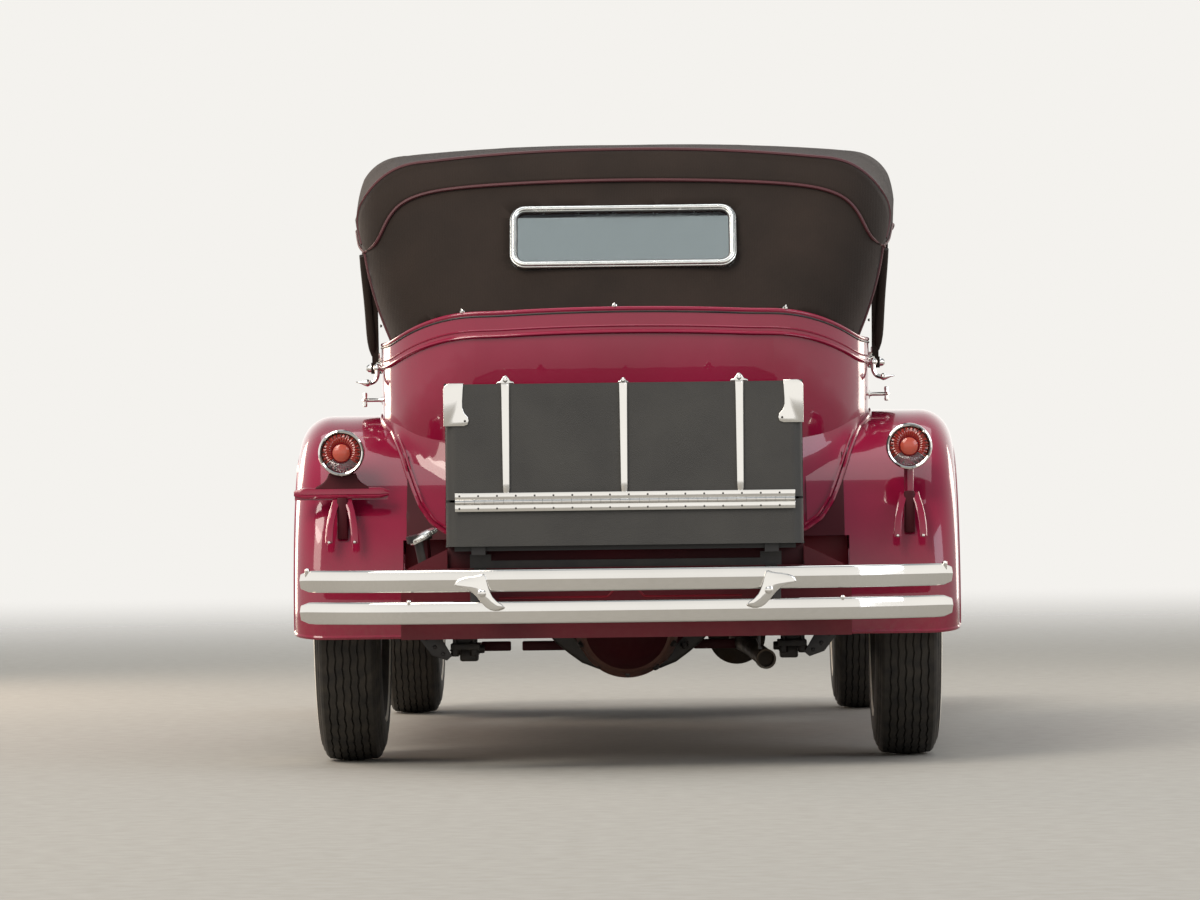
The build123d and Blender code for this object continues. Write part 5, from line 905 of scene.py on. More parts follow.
for end, hand, side, centre in WHEELS:
    bm = bmesh.new()
    outer, inner = half_section(0.0014), half_section(0.0008)
    section = [(r, side * w) for r, w in outer] + [(r, -side * w) for r, w in reversed(inner)]
    for vert in lathe(bm, section + section[:1], (0, 0, 0), (1, 0, 0), TURNS):
        around = round(atan2(vert.co.z, vert.co.y) / (2 * pi) * TURNS)
        if hypot(vert.co.y, vert.co.z) > 0.402 and abs(vert.co.x) < 0.056:
            vert.co.x += ZIGZAG if around % 2 else -ZIGZAG
    for face in bm.faces:
        middle = face.calc_center_median()
        radius = hypot(middle.y, middle.z)
        if middle.x * side > 0.05:
            face.material_index = int(WHITE_FROM < radius < WHITE_TO)
        elif middle.x * side < -0.05:
            face.material_index = int(INNER_RING_FROM < radius < INNER_RING_TO)
    bmesh.ops.translate(bm, vec=centre, verts=bm.verts)
    tyre = into_object(f"tyre_tread_{end}_{hand}", bm, [tyre_rubber, white_rubber],
                       28, f"{end}_{hand}_wheel")
    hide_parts(f"tyre_{end}_{hand}")
print("tyre faces:", len(tyre.data.polygons))

# %% [markdown]
# ## Hub caps, rim edges and nuts
# The wheel solids keep their spokes. A polished cap screws over each hub, a bright ring
# edges the rim, and nuts with washers hold the hub flange and the detachable rim.

# %% Wheel trim
CAP = mm((0, 94.5), (18, 94), (34, 91.5), (45, 86.5), (52.5, 78), (54.5, 68), (54.5, 54),
         (60, 50.5), (62, 47), (61.5, 45.5))
RING = mm((247.5, 60), (254.5, 59.2), (258.5, 61.2), (259, 63.6), (255, 65.2), (248, 64.2),
          (247.5, 60))
for end, hand, side, centre in WHEELS:
    out = Vector((side, 0, 0))
    bm = bmesh.new()
    lathe(bm, CAP, centre, out, 40)
    for face_side in (1, -1):
        lathe(bm, RING, centre, out * face_side, 72)
    for around in spokes(12, pi / 12):
        nut(bm, centre + around * 0.0675 + out * 0.0462, out, 0.011, 0.008)
    into_object(f"wheel_trim_{end}_{hand}", bm, [chrome], 30, f"{end}_{hand}_wheel")
    bm = bmesh.new()
    for angle, around in zip(turns(6, pi / 12), spokes(6, pi / 12)):
        block(bm, (0.01, 0.046, 0.03), centre + around * 0.222 + out * 0.033, 0.003,
              Matrix.Rotation(angle, 4, "X"))
        nut(bm, centre + around * 0.214 + out * 0.038, out, 0.017, 0.012)
    valve = spokes(1, pi * 0.62)[0]
    lathe(bm, mm((0, 0), (4.5, 0), (4.5, 35), (3.5, 38), (0, 38)),
          centre + valve * 0.198, -valve, 10)
    into_object(f"rim_lugs_{end}_{hand}", bm, [spring_paint], 30,
                f"{end}_{hand}_wheel")
print("wheel trim on", len(WHEELS), "wheels")

# %% [markdown]
# ## Mouldings that follow the panels
# A moulding is one cross-section carried along a route. At each station of the route a
# ray finds the panel, and the section stands proud of that place, so the moulding
# follows the body's curve. It is cut at the door gaps, and every length rides on the
# body of its own panel.

# %% Routes round the body
def level_touch(skin, station, z):
    """Where a station's level ray meets a skin at a height."""
    start, direction = station[:2]
    return touch(skin, (*start, z), (*direction, 0))[0]


def plan_route(skin, rays, level):
    """Stations of (start, direction, outward), with outward square to the route."""
    found = [(ray, place) for ray in rays if (place := level_touch(skin, ray, level))]
    route = []
    for k, (ray, place) in enumerate(found):
        run = (found[min(len(found) - 1, k + 1)][1] - found[max(0, k - 1)][1]).normalized()
        outward = Vector((run.y, -run.x, 0))
        if outward.dot(Vector((*ray[1], 0))) > 0:
            outward = -outward
        route.append((*ray, outward))
    return route


def moulding(bm, skin, route, levels, section):
    """A section of (rise, proud) pairs along a route whose levels are heights in metres."""
    def place(column, point):
        z = levels[column] + point[0]
        found = level_touch(skin, route[column], z) or Vector((*route[column][0], z))
        return found + route[column][2] * point[1]
    carried(bm, len(route) - 1, section, place)


def rim_bead(bm, skin, route, levels, radius, drop, inward, finish=0):
    """A round bead on the upper edge; the ray is cast just under the edge."""
    places = [level_touch(skin, station, level - 0.02) - station[2] * inward
              + Vector((0, 0, 0.02 - drop)) for station, level in zip(route, levels)]

    def place(column, point):
        return places[column] + route[column][2] * point[0] + Vector((0, 0, point[1]))
    carried(bm, len(route) - 1, oval(radius, radius, 10), place, finish)


def side_rays(side, first, last, count):
    """Rays from one side of the car to its middle, at even steps along it."""
    return [((side * 1.3, REAR_AXLE_Y + first + (last - first) * k / count), (-side, 0))
            for k in range(count + 1)]


def round_rays(centre_y, first, last, count):
    """Rays to a centre from all round the tail, at even angles."""
    rays = []
    for k in range(count + 1):
        angle = radians(first + (last - first) * k / count)
        out = Vector((cos(angle), sin(angle)))
        rays.append((out * 1.4 + Vector((0, centre_y)), -out))
    return rays


def rim_levels(skin, route):
    """The height of a panel's upper edge along a route, by rays from above."""
    levels = []
    for station in route:
        start = level_touch(skin, station, 1.06) - station[2] * 0.014 + Vector((0, 0, 0.5))
        levels.append(touch(skin, start, (0, 0, -1))[0].z)
    for turn in range(3):
        softened = [(a + 2 * b + c) / 4 for a, b, c in zip(levels, levels[1:], levels[2:])]
        levels = levels[:1] + softened + levels[-1:]
    return levels


# %% Belt moulding and rim welt
BELT = mm((-43, -2), (-43.6, 2.6), (-45.5, 4.4), (-47.8, 4), (-49.2, 2.4), (-56, 2.4), (-57.2, 5),
          (-60, 7.8), (-63, 8.6), (-65.8, 6.6), (-67.2, 3), (-67.6, -2))
WELT_BEAD = (0.0062, 0.0005, 0.0035)
# the second bead under the welt is thin and black: a dark line of painted shade under the welt
WELT_SHADOW_LINE = (0.0026, 0.0085, -0.0006)
DOOR_LEVEL = 1.125
# the black enamel here is only for that line of painted shade under the welt
BELT_FINISHES = [wine_lacquer, chassis_enamel]
tub_skin = skin_of("body_tub")
tub_rays = (side_rays(-1, 0.536, -0.08, 14) + round_rays(REAR_AXLE_Y - 0.08, 184, 356, 86)
            + side_rays(1, -0.08, 0.536, 14))
tub_route = plan_route(tub_skin, tub_rays, 1.06)
tub_levels = rim_levels(tub_skin, tub_route)
print("tub rim from", round(min(tub_levels), 3), "to", round(max(tub_levels), 3))
bm = bmesh.new()
moulding(bm, tub_skin, tub_route, tub_levels, BELT)
rim_bead(bm, tub_skin, tub_route, tub_levels, *WELT_BEAD)
# a thin black bead under the welt, as painted shade
rim_bead(bm, tub_skin, tub_route, tub_levels, *WELT_SHADOW_LINE, 1)
into_object("tub_belt", bm, BELT_FINISHES, 40)
for hand, side in HANDS:
    for end, back, front in (("rear", 0.5485, 1.1365), ("front", 1.2635, 1.8935)):
        skin = skin_of(f"door_{end}_{hand}")
        route = plan_route(skin, side_rays(side, back, front, 12), 1.06)
        levels = [DOOR_LEVEL] * len(route)
        bm = bmesh.new()
        moulding(bm, skin, route, levels, BELT)
        rim_bead(bm, skin, route, levels, *WELT_BEAD)
        into_object(f"door_belt_{end}_{hand}", bm, BELT_FINISHES, 40,
                    f"{end}_{hand}_door")
bm = bmesh.new()
cowl_skin = skin_of("cowl")
for side in (-1, 1):
    route = plan_route(tub_skin, side_rays(side, 1.1435, 1.2565, 3), 1.06)
    if len(route) == 4:
        moulding(bm, tub_skin, route, [DOOR_LEVEL] * 4, BELT)
    route = plan_route(cowl_skin, side_rays(side, 1.9035, 2.352, 12), 1.0)
    falling = [DOOR_LEVEL - 0.034 * k / 12 for k in range(len(route))]
    moulding(bm, cowl_skin, route, falling, BELT)
into_object("pillar_and_cowl_belt", bm, BELT_FINISHES, 40)
for hand, side in HANDS:
    skin = skin_of(f"hood_{hand}")
    route = plan_route(skin, side_rays(side, 2.374, 3.31, 24), 0.95)
    falling = [1.0895 - 0.052 * k / 24 for k in range(len(route))]
    bm = bmesh.new()
    moulding(bm, skin, route, falling, BELT)
    into_object(f"hood_belt_{hand}", bm, BELT_FINISHES, 40, f"hood_half_{hand}")
print("belt runs over tub, doors, pillars, cowl and hood")

# %% [markdown]
# ## Curtain fasteners on the welt
# Small turn-button fasteners hold the foot of the curtain. Three stand on the back of
# the rim, each at the station of the belt's route that is nearest to its place.

# %% Fasteners
bm = bmesh.new()
rim_places = []
for station, level in zip(tub_route, tub_levels):
    place = level_touch(tub_skin, station, level - 0.02)
    if place.y < REAR_AXLE_Y - 0.3:
        rim_places.append((Vector((place.x, place.y, level + 0.0065)), station[2]))
for goal in (-0.44, -0.02, 0.42):
    place, outward = min(rim_places, key=lambda pair: abs(pair[0].x - goal))
    lathe(bm, mm((0, 8.5), (2.8, 8), (4.2, 5), (4.8, 1), (6.6, 0), (6.6, -4), (0, -4)),
          place - outward * 0.004, outward, 12)
    block(bm, (0.003, 0.003, 0.012), place + outward * 0.004 + Vector((0, 0, 0.003)), 0.001)
into_object("curtain_fasteners", bm, [chrome])
print("fasteners placed")

# %% [markdown]
# ## Fender edges and seams
# Sheet fenders are rolled over a wire at their free edge, which shows as a round bead.
# Where a fender meets the body, a folded strip of cord is clamped in the seam.

# %% Fender beads
ARCH_RADIUS = 0.516
LIP_X = 0.8785


def on_arch(side, x, radius, angle, axle_y=REAR_AXLE_Y, toward=1):
    """A place on a circle about an axle, by its angle from the fender's far end."""
    return Vector((side * x, axle_y - toward * radius * cos(angle),
                   AXLE_Z + radius * sin(angle)))


def fender_edge(side, axle_y, toward, end, flats, bend, lip):
    """A fender's free edge: across its end, round the shoulder, and along its lip."""
    end_angle = radians(end)
    across, flat_radius = flats
    bend_x, bend_radius, reach = bend
    lip_radius, first, last, count = lip
    line = [on_arch(side, x, flat_radius, end_angle, axle_y, toward) for x in across]
    for k in range(1, 8):
        turn = pi / 2 * k / 7
        line.append(on_arch(side, bend_x + reach * sin(turn),
                            bend_radius + reach * cos(turn), end_angle, axle_y, toward))
    for k in range(count + 1):
        angle = radians(first + (last - first) * k / count)
        line.append(on_arch(side, LIP_X, lip_radius, angle, axle_y, toward))
    return line


for hand, side in HANDS:
    rear_edge = fender_edge(side, REAR_AXLE_Y, 1, -8.2, ((0.592, 0.66, 0.73, 0.79), 0.5135),
                            (0.794, 0.43, 0.0835), (0.42, -7.5, 150, 40))
    rear_edge += [at(side * LIP_X, 0.4905, 0.411), at(side * LIP_X, 0.512, 0.378)]
    front_edge = fender_edge(side, FRONT_AXLE_Y, -1, 14, ((0.62, 0.7, 0.78, 0.822), 0.5195),
                             (0.824, 0.466, 0.0535), (0.464, 14.5, 132, 32))
    for end, edge in (("rear", rear_edge), ("front", front_edge)):
        bm = bmesh.new()
        bead(bm, edge, 0.0062)
        into_object(f"{end}_fender_bead_{hand}", bm, [wine_lacquer])
print("fender beads made")

# %% Skirts between the tub's tail and the rear fenders, with a cord along their lower edge
WELT = mm((650, 930), (637, 908), (618, 873), (598, 828), (581, 778), (565, 734), (545, 688),
          (516, 646), (475, 618), (430, 606), (370, 600))
SKIRT_TOP = (0.934, 0.922, 0.912, 0.902, 0.892, 0.884, 0.876, 0.868, 0.86, 0.856, 0.852)
SKIRT_COLUMNS, SKIRT_ROWS = 40, 10
SPLASH_FROM, SPLASH_ROWS = 10, 16
FRAME_X, SPLASH_FOOT_Z = 0.577, 0.6
SHEET = 0.003
SEAM_CORD = 0.0052


def behind_arch(radius, z):
    """How far behind the axle a circle about it stands at a height."""
    return sqrt(radius ** 2 - (z - AXLE_Z) ** 2)


for hand, side in HANDS:
    low_line, high_line = [], []
    for x, top, z in along([(x, top, z) for (x, z), top in zip(WELT, SKIRT_TOP)], SKIRT_COLUMNS):
        low = at(side * x, -behind_arch(ARCH_RADIUS + 0.002, z), z)
        found = touch(tub_skin, (side * x, -4, top), (0, 1, 0))[0]
        high_y = (found or low).y - 0.0005
        low_line.append(low)
        high_line.append(Vector((side * x, min(high_y, REAR_AXLE_Y), top)))

    def skirt_place(column, row):
        low, high, share = low_line[column], high_line[column], row / SKIRT_ROWS
        return low.x, high.y + (low.y - high.y) * share ** 1.5, high.z + (low.z - high.z) * share

    def splash_place(column, row):
        low = low_line[SPLASH_FROM + column]
        x = low.x if abs(low.x) < FRAME_X else side * FRAME_X
        z = low.z + (SPLASH_FOOT_Z - low.z) * row / SPLASH_ROWS
        return at(x, -behind_arch(ARCH_RADIUS + 0.0035, z), z)

    bm = bmesh.new()
    net(bm, SKIRT_COLUMNS, SKIRT_ROWS, skirt_place)
    bmesh.ops.solidify(bm, geom=list(bm.faces), thickness=SHEET)
    into_object(f"tail_skirt_{hand}", bm, [wine_lacquer], 40)
    bm = bmesh.new()
    bead(bm, [p + Vector((0, -0.003, 0)) for p in low_line], SEAM_CORD)
    bead(bm, [p + Vector((-side * 0.009, -0.004, 0.009)) for p in low_line], 0.0034)
    arch = [on_arch(side, 1.3, ARCH_RADIUS + 0.004, radians(128 - 83 * k / 29))
            for k in range(30)]
    hits = [touch(tub_skin, start, (-side, 0, 0))[0] for start in arch]
    bead(bm, [hit + Vector((side * 0.003, 0, 0)) for hit in hits if hit], SEAM_CORD)
    into_object(f"fender_seam_{hand}", bm, [wine_lacquer])
    bm = bmesh.new()
    net(bm, SKIRT_COLUMNS - SPLASH_FROM, SPLASH_ROWS, splash_place)
    bmesh.ops.remove_doubles(bm, verts=list(bm.verts), dist=0.0005)
    bmesh.ops.solidify(bm, geom=list(bm.faces), thickness=SHEET)
    # the splash plates behind the wheels are in the body colour darkened as painted shade
    into_object(f"tail_splash_{hand}", bm, [painted_shade_lacquer], 40)
    print(hand, "skirt from", [round(v, 3) for v in low_line[0]])
# %% [markdown]
# ## The trunk's bright trim
# Flat trim starts as an outline drawn as a flat curve. The curve's own extrusion and
# bevel give it a thickness and round edges, which is quicker to shape than a block cut
# down. Outlines run across and up, as seen from behind.

# %% Plates from outlines
def plate(bm, outline, thick, edge, place, finish=0):
    """An upright plate from a closed outline, with bevelled edges, put in its place."""
    curve = bpy.data.curves.new("outline", "CURVE")
    curve.dimensions = "2D"
    curve.fill_mode = "BOTH"
    curve.extrude = thick / 2 - edge
    curve.bevel_depth = edge
    curve.bevel_resolution = 2
    curve.offset = -edge
    upright = Matrix.Translation(place) @ Matrix.Rotation(pi / 2, 4, "X")
    points = [(across, up, 0) for across, up in outline]
    return from_curve(bm, curve, points, "POLY", True, finish, upright)


TRUNK_HALF, TRUNK_TOP_Z, TRUNK_LOW_Z = 0.461, 1.004, 0.586
TRUNK_BACK, TRUNK_FRONT = -0.9, -0.5
RIB_XS = (-0.304, 0.0, 0.299)
RIB_HALF = 0.0115
HINGE_Y, HINGE_Z = -0.909, 0.7
LEAF_HALF = 0.438
KNUCKLE = mm((6.7, -12.2), (6.7, 12.2), (5.6, 12.2), (5.6, -12.2), (6.7, -12.2))


def hinge_leaf(bm, high, middle_z, screw_z, first):
    """One leaf of the long hinge, with its screws and every other knuckle."""
    block(bm, (2 * LEAF_HALF, 0.0022, high), at(0.0015, HINGE_Y + 0.0016, middle_z), 0.0006)
    for k in range(18):
        screw(bm, at(0.0485 * k - 0.425, HINGE_Y + 0.0004, screw_z), BEHIND, 0.0027, 1)
    for k in range(first, 35, 2):
        lathe(bm, KNUCKLE, at(0.025 * k - 0.4235, HINGE_Y, HINGE_Z), (1, 0, 0), 14)


# %% Ribs, corner caps and the upper hinge leaf, all on the drop front
bm = bmesh.new()
for x in RIB_XS:
    def rib_place(column, point):
        share, inner = column / 16, 0 < column < 16
        width = RIB_HALF * (1.04 - 0.16 * share) * (1.0 if column < 16 else 0.82)
        height = 0.0085 * (1.0 if inner else 0.75)
        z = 1.0035 - 0.2865 * share
        if point > 8:
            return at(x + width * ((point - 8) / 2 - 1), TRUNK_BACK + 0.001, z)
        angle = pi * point / 8
        return at(x + width * cos(angle), TRUNK_BACK - 0.0006 - height * sin(angle), z)
    carried(bm, 16, range(12), rib_place)
CAP_OUTLINE = mm(
    (463.5, 990), (462.2, 996.5), (458.8, 1001.8), (453.5, 1005.2), (447, 1006.5),
    (412.5, 1006.5), (413.5, 985), (415, 962), (415, 944), (410, 930), (401, 920),
    (398.5, 910), (402, 900), (412, 896.5), (463.5, 896.5))
for side in (-1, 1):
    outline = [(side * x, z) for x, z in CAP_OUTLINE]
    plate(bm, outline, 0.005, 0.0012, at(0, TRUNK_BACK - 0.0012, 0))
    block(bm, (0.003, 0.0205, 0.096), at(side * 0.4622, TRUNK_BACK + 0.01, 0.945), 0.0008)
    block(bm, (0.038, 0.0205, 0.003), at(side * 0.431, TRUNK_BACK + 0.01, 1.0052), 0.0008)
    screw(bm, at(side * 0.4085, TRUNK_BACK - 0.0036, 0.9095), BEHIND, 0.0032, 1)
hinge_leaf(bm, 0.0175, 0.715, 0.716, 1)
into_object("trunk_flap_trim", bm, [chrome, axle_enamel], 34, "trunk_flap")

# %% Clasps, the lower hinge leaf and edge rolls, fixed to the trunk
bm = bmesh.new()
CROWN = mm((-23.5, 0), (-21.5, 4.5), (-13, 7.5), (-8.5, 14.5), (-4.5, 19.5), (0, 21.2))
CROWN += [(-x, z) for x, z in reversed(CROWN[:-1])]
for x, size in zip(RIB_XS, (1.0, 0.62, 1.0)):
    crown_outline = [(a * size, b * size) for a, b in CROWN]
    plate(bm, crown_outline, 0.01, 0.0022, at(x, TRUNK_BACK + 0.03, TRUNK_TOP_Z + 0.0008))
    block(bm, (0.02 * size, 0.052, 0.0034), at(x, TRUNK_BACK + 0.05, TRUNK_TOP_Z + 0.0012), 0.001)
    lathe(bm, mm((0, 6), (4, 5.4), (6.2, 3), (6.2, -12), (0, -12)),
          at(x, TRUNK_BACK + 0.024, TRUNK_TOP_Z + 0.0105 * size), BEHIND, 14)
hinge_leaf(bm, 0.0185, 0.685, 0.6835, 0)
into_object("trunk_trim", bm, [chrome, axle_enamel], 34)
bm = bmesh.new()
for z in (TRUNK_TOP_Z - 0.0005, TRUNK_LOW_Z + 0.0015):
    for side in (-1, 1):
        bead(bm, [at(side * (TRUNK_HALF - 0.0015), y, z)
                  for y in (TRUNK_BACK + 0.034, TRUNK_FRONT - 0.03)], 0.0042, smooth=False)
into_object("trunk_edges", bm, [trunk_hide])
print("trunk trim made")

# %% [markdown]
# ## Bumper bars and clamps
# Each bumper is a pair of spring-steel bars. A bar is one crowned section carried along
# its plan curve: a long gentle arc, then a tighter one that turns its ends to the car.
# The crown matters, because a flat bar mirrors one patch of sky, and a crowned one
# mirrors the sky above and the ground below, with a sharp line between.

# %% Bar curve and section
BAR_LEVELS = (0.498, 0.416)
BAR_HALF_HEIGHT, BAR_EDGE, RIDGE = 0.029, 0.0062, 0.003
BAR_COLUMNS = 90
LONG_RADIUS, END_RADIUS = 3.03, 0.47
FLAT_X = 0.56
BAR_TURN = asin(FLAT_X / LONG_RADIUS)


def bar_place(x, shift=0.0):
    """How far across and how deep behind the tip a bar is, by the distance from its middle."""
    middle_x, middle_y, radius = 0.0, LONG_RADIUS, LONG_RADIUS
    if abs(x) > FLAT_X:
        middle_x = (LONG_RADIUS - END_RADIUS) * sin(BAR_TURN)
        middle_y -= (LONG_RADIUS - END_RADIUS) * cos(BAR_TURN)
        radius = END_RADIUS
    angle = asin((abs(x) - middle_x) / radius)
    across = middle_x + (radius - shift) * sin(angle)
    return copysign(across, x), middle_y - (radius - shift) * cos(angle)


def bar_half(sign, tilt):
    """Half of a bar's section: a flat that leans back from the ridge, then a round edge."""
    lean = radians(tilt)
    flat_end = BAR_HALF_HEIGHT - BAR_EDGE + BAR_EDGE * sin(lean)
    depth = (flat_end - sign * RIDGE) * tan(lean)
    points = [(0.5 * (flat_end + sign * RIDGE), 0.5 * depth)]
    for k in range(9):
        angle = radians(tilt + (88 - tilt) * k / 8)
        points.append((BAR_HALF_HEIGHT - BAR_EDGE + BAR_EDGE * sin(angle),
                       depth + BAR_EDGE * (cos(lean) - cos(angle))))
    return [(sign * height, deep) for height, deep in points]


CROWNED = bar_half(-1, 7)[::-1] + [(RIDGE, 0.0)] + bar_half(1, 8)
CROWNED += [(BAR_HALF_HEIGHT * share, 0.0122) for share in (0.99, 0.0, -0.99)]

# %% Bumpers
CLAMP = mm((-441, 487.8), (-434.5, 501), (-410, 509), (-379.5, 512), (-362.7, 518.7),
           (-358.3, 503.3), (-350.9, 474.7), (-337.6, 450.4), (-311.3, 432.8), (-315.6, 426.1),
           (-335.3, 421), (-355.2, 426.1), (-370.6, 441.7), (-388.2, 463.7), (-410.2, 479),
           (-438.7, 485.7))
BOSS = mm((0, 10.5), (5.5, 9.6), (8.8, 6.2), (9.8, 1.2), (12.6, 0), (12.6, -6), (0, -6))
BOLT = mm((0, 6.8), (4.2, 6), (6.2, 3.4), (6.8, 0), (6.8, -16), (0, -16))
for name, tip_y, toward, half_length, arm_low, arm_high, rail_y in (
        ("rear", REAR_AXLE_Y - 0.95, 1, 0.851, 0.47, 0.528, REAR_AXLE_Y - 0.738),
        ("front", FRONT_AXLE_Y + 0.62, -1, 0.79, 0.436, 0.486, FRONT_AXLE_Y + 0.426)):
    bm = bmesh.new()
    for level in BAR_LEVELS:
        def section_place(column, point):
            share = column / BAR_COLUMNS * 2 - 1
            x, depth = bar_place(share * half_length, point[1])
            pinch = 1 - 0.3 * max(0.0, (abs(share) - 0.965) / 0.035) ** 2
            return x, tip_y + toward * depth, level + point[0] * pinch
        carried(bm, BAR_COLUMNS, CROWNED, section_place)
    bars = into_object(f"{name}_bumper_bars", bm, [chrome], 12.5)
    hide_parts(f"{name}_bumper")
    bm = bmesh.new()
    end_y = tip_y + toward * 0.034
    arm = (0.03, abs(rail_y - end_y) - 0.0003, arm_high - arm_low)
    for x in (-0.378, 0.378):
        block(bm, arm, (x, (rail_y + end_y) / 2, (arm_low + arm_high) / 2), 0.003)
        block(bm, (0.044, 0.012, 0.14), (x, tip_y + toward * 0.04, 0.457), 0.003)
    into_object(f"{name}_bumper_arms", bm, [chassis_enamel], 34)
    bm = bmesh.new()
    for side in (-1, 1):
        outline = smoothed([Vector((-side * x, z)) for x, z in CLAMP], 1, closed=True)
        for vert in plate(bm, outline, 0.0105, 0.0034, (0, 0, 0)):
            swell = 0.0024 * cos(min(1.5, abs(vert.co.z - 0.468) / 0.034))
            depth = bar_place(vert.co.x)[1] + vert.co.y - 0.0062 - swell
            vert.co.y = tip_y + toward * depth
        depth = bar_place(0.367)[1] - 0.0125
        lathe(bm, BOSS, (side * 0.367, tip_y + toward * depth, 0.466), (0, -toward, 0), 20)
        for far, level in ((0.829 * half_length / 0.851, 0.526), (0.558, 0.444)):
            x, depth = bar_place(side * far)
            lathe(bm, BOLT, (x, tip_y + toward * (depth + 0.007), level),
                  (0, -toward * 0.35, 0.94), 14)
    into_object(f"{name}_bumper_clamps", bm, [chrome], 30)
print("bumpers made")

# %% [markdown]
# ## Tail lamps
# A plated ring holds a moulded lens. Radial ribs round a plain middle spread the light.
# The lens is spun, then every other rib vertex is pushed back. The lowest part is clear,
# to light the plate.

# %% Tail lamp lenses and rings
LAMP_X, LAMP_Z = 0.749, 0.833
LAMP_FACE = -0.505
LENS_STEPS = 72
LENS = mm((26.5, 3), (30, 6.2), (37, 7.8), (44, 6.6), (49.5, 3), (51.5, -4), (51.5, -12),
          (26.5, -12), (26.5, 3))
LENS_MIDDLE = mm((0, 12.5), (9, 11.7), (17, 9.4), (22.5, 6.2), (24, 3), (24, -10), (0, -10))
OUTER_RING = mm((51.5, 1), (53, 5.5), (56.5, 7.2), (60, 5.2), (61.2, 0), (61.2, -13),
                (59.5, -14.5), (51.5, -14.5), (51.5, 1))
INNER_RING = mm((24, 2.4), (25.2, 5.8), (26.8, 2.4), (26.4, -6), (24, -6), (24, 2.4))
bm = bmesh.new()
for side in (-1, 1):
    centre = at(side * LAMP_X, LAMP_FACE + 0.0005, LAMP_Z)
    ring = lathe(bm, LENS, (0, 0, 0), BEHIND, LENS_STEPS)
    for vert in ring:
        around = round(atan2(vert.co.z, vert.co.x) / (2 * pi) * LENS_STEPS)
        if vert.co.y < 0 and 0.029 < hypot(vert.co.x, vert.co.z) < 0.05 and around % 2:
            vert.co.y += 0.0016
    for face in {f for v in ring for f in v.link_faces}:
        middle = face.calc_center_median()
        if degrees(atan2(-middle.z, abs(middle.x))) > 34:
            face.material_index = 2
    bmesh.ops.translate(bm, vec=centre, verts=ring)
    lathe(bm, LENS_MIDDLE, centre, BEHIND, 36, 1)
    # small black blocks between the ribs, in the last finish, are painted shade: the dark lines
    # where the ribs shade each other
    for k in range(23):
        angle = radians(14.5 * k - 69.5)
        out = Vector((cos(angle), 0, sin(angle)))
        block(bm, (0.008, 0.004, 0.0024), centre + out * 0.046 + BEHIND * 0.005, 0.0004,
              Matrix.Rotation(-angle, 4, "Y"), 1, 3)
# the fourth finish, black, is the painted shade between the ribs
lenses = into_object("tail_lamp_glass", bm,
                     [red_glass, amber_glass, lamp_glass, dial_black], 24)
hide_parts("tail_lamp_lenses")
bm = bmesh.new()
for side in (-1, 1):
    centre = at(side * LAMP_X, LAMP_FACE, LAMP_Z)
    lathe(bm, OUTER_RING, centre, BEHIND, 60)
    lathe(bm, INNER_RING, centre, BEHIND, 44, 1)
    screw(bm, centre + Vector((0, 0.007, -0.0612)), (0, 0, -1), 0.0028)
into_object("tail_lamp_rings", bm, [chrome, arch_lacquer], 34)

# %% Lamp stands, plate bar and plate arms
STAND = mm((-76, 736), (-68, 744), (-57, 750), (-47, 757.5), (-40, 767), (-36, 779))
STAND += [(-x, z) for x, z in reversed(STAND)]
LAMP_BACK = mm((59.3, -4), (59.3, -60), (57, -72), (49, -86), (34, -95), (16, -99), (0, -100))
PLATE_BAR = mm((-15, 4), (-13.5, -7.5), (-8, -9.5), (-4.5, -7), (-2.5, -8.5), (10, -8.5),
               (14, -6), (15.5, 0), (15, 4))
LEG = ((0.015, 0.478, 0.712), (0.018, 0.488, 0.698), (0.0235, 0.5, 0.68),
       (0.0285, 0.51, 0.658), (0.032, 0.518, 0.634), (0.0335, 0.523, 0.612),
       (0.0335, 0.525, 0.5965), (0.0335, 0.5255, 0.5935))
STRIP = mm((-10, 0), (-9, -2.24), (-6, -3.2), (6, -3.2), (9, -2.24), (10, 0), (9, 3.2), (-9, 3.2))


def plate_bar_place(column, point):
    share = column / 20
    pinch = min(1.0, 0.45 + 6 * min(share, 1 - share))
    return at(-0.877 + 0.252 * share, point[1] * pinch - 0.477, 0.7265 + point[0] * pinch)


bm = bmesh.new()
# the lamp stand takes the second finish, the body colour darkened as painted shade
plate(bm, [(x - LAMP_X, z) for x, z in STAND], 0.03, 0.004, at(0, -0.47, 0), finish=1)
carried(bm, 20, PLATE_BAR, plate_bar_place)
for side in (-1, 1):
    lathe(bm, LAMP_BACK, at(side * LAMP_X, LAMP_FACE, LAMP_Z), BEHIND, 48)
    # the block under each lamp is also in the body colour darkened as painted shade
    block(bm, (0.028, 0.022, 0.11), at(side * LAMP_X, -0.481, 0.66), 0.004, finish=1)
    for lean in (-1, 1):
        def leg_place(column, point):
            out, back, z = LEG[column]
            wide = 0.55 if column == 7 else 1.0
            return at(side * LAMP_X + lean * out + point[0] * wide, point[1] - back, z)
        carried(bm, 7, STRIP, leg_place)
into_object("plate_brackets", bm, [wine_lacquer, painted_shade_lacquer], 34)
bm = bmesh.new()
for side in (-1, 1):
    for lean in (-1, 1):
        lathe(bm, mm((0, 4.5), (3.4, 3.6), (5, 0), (5, -10), (0, -10)),
              at(side * LAMP_X + lean * 0.0335, -0.531, 0.5975), BEHIND, 12)
into_object("plate_bracket_bolts", bm, [chrome], 34)
print("tail lamps and brackets made")

# %% [markdown]
# ## Filler cap, tail pipe and underside bits
# Small turned parts: the tank's polished cap, and the things that show under the
# apron, such as the bolted flange of the differential and the spring shackles.

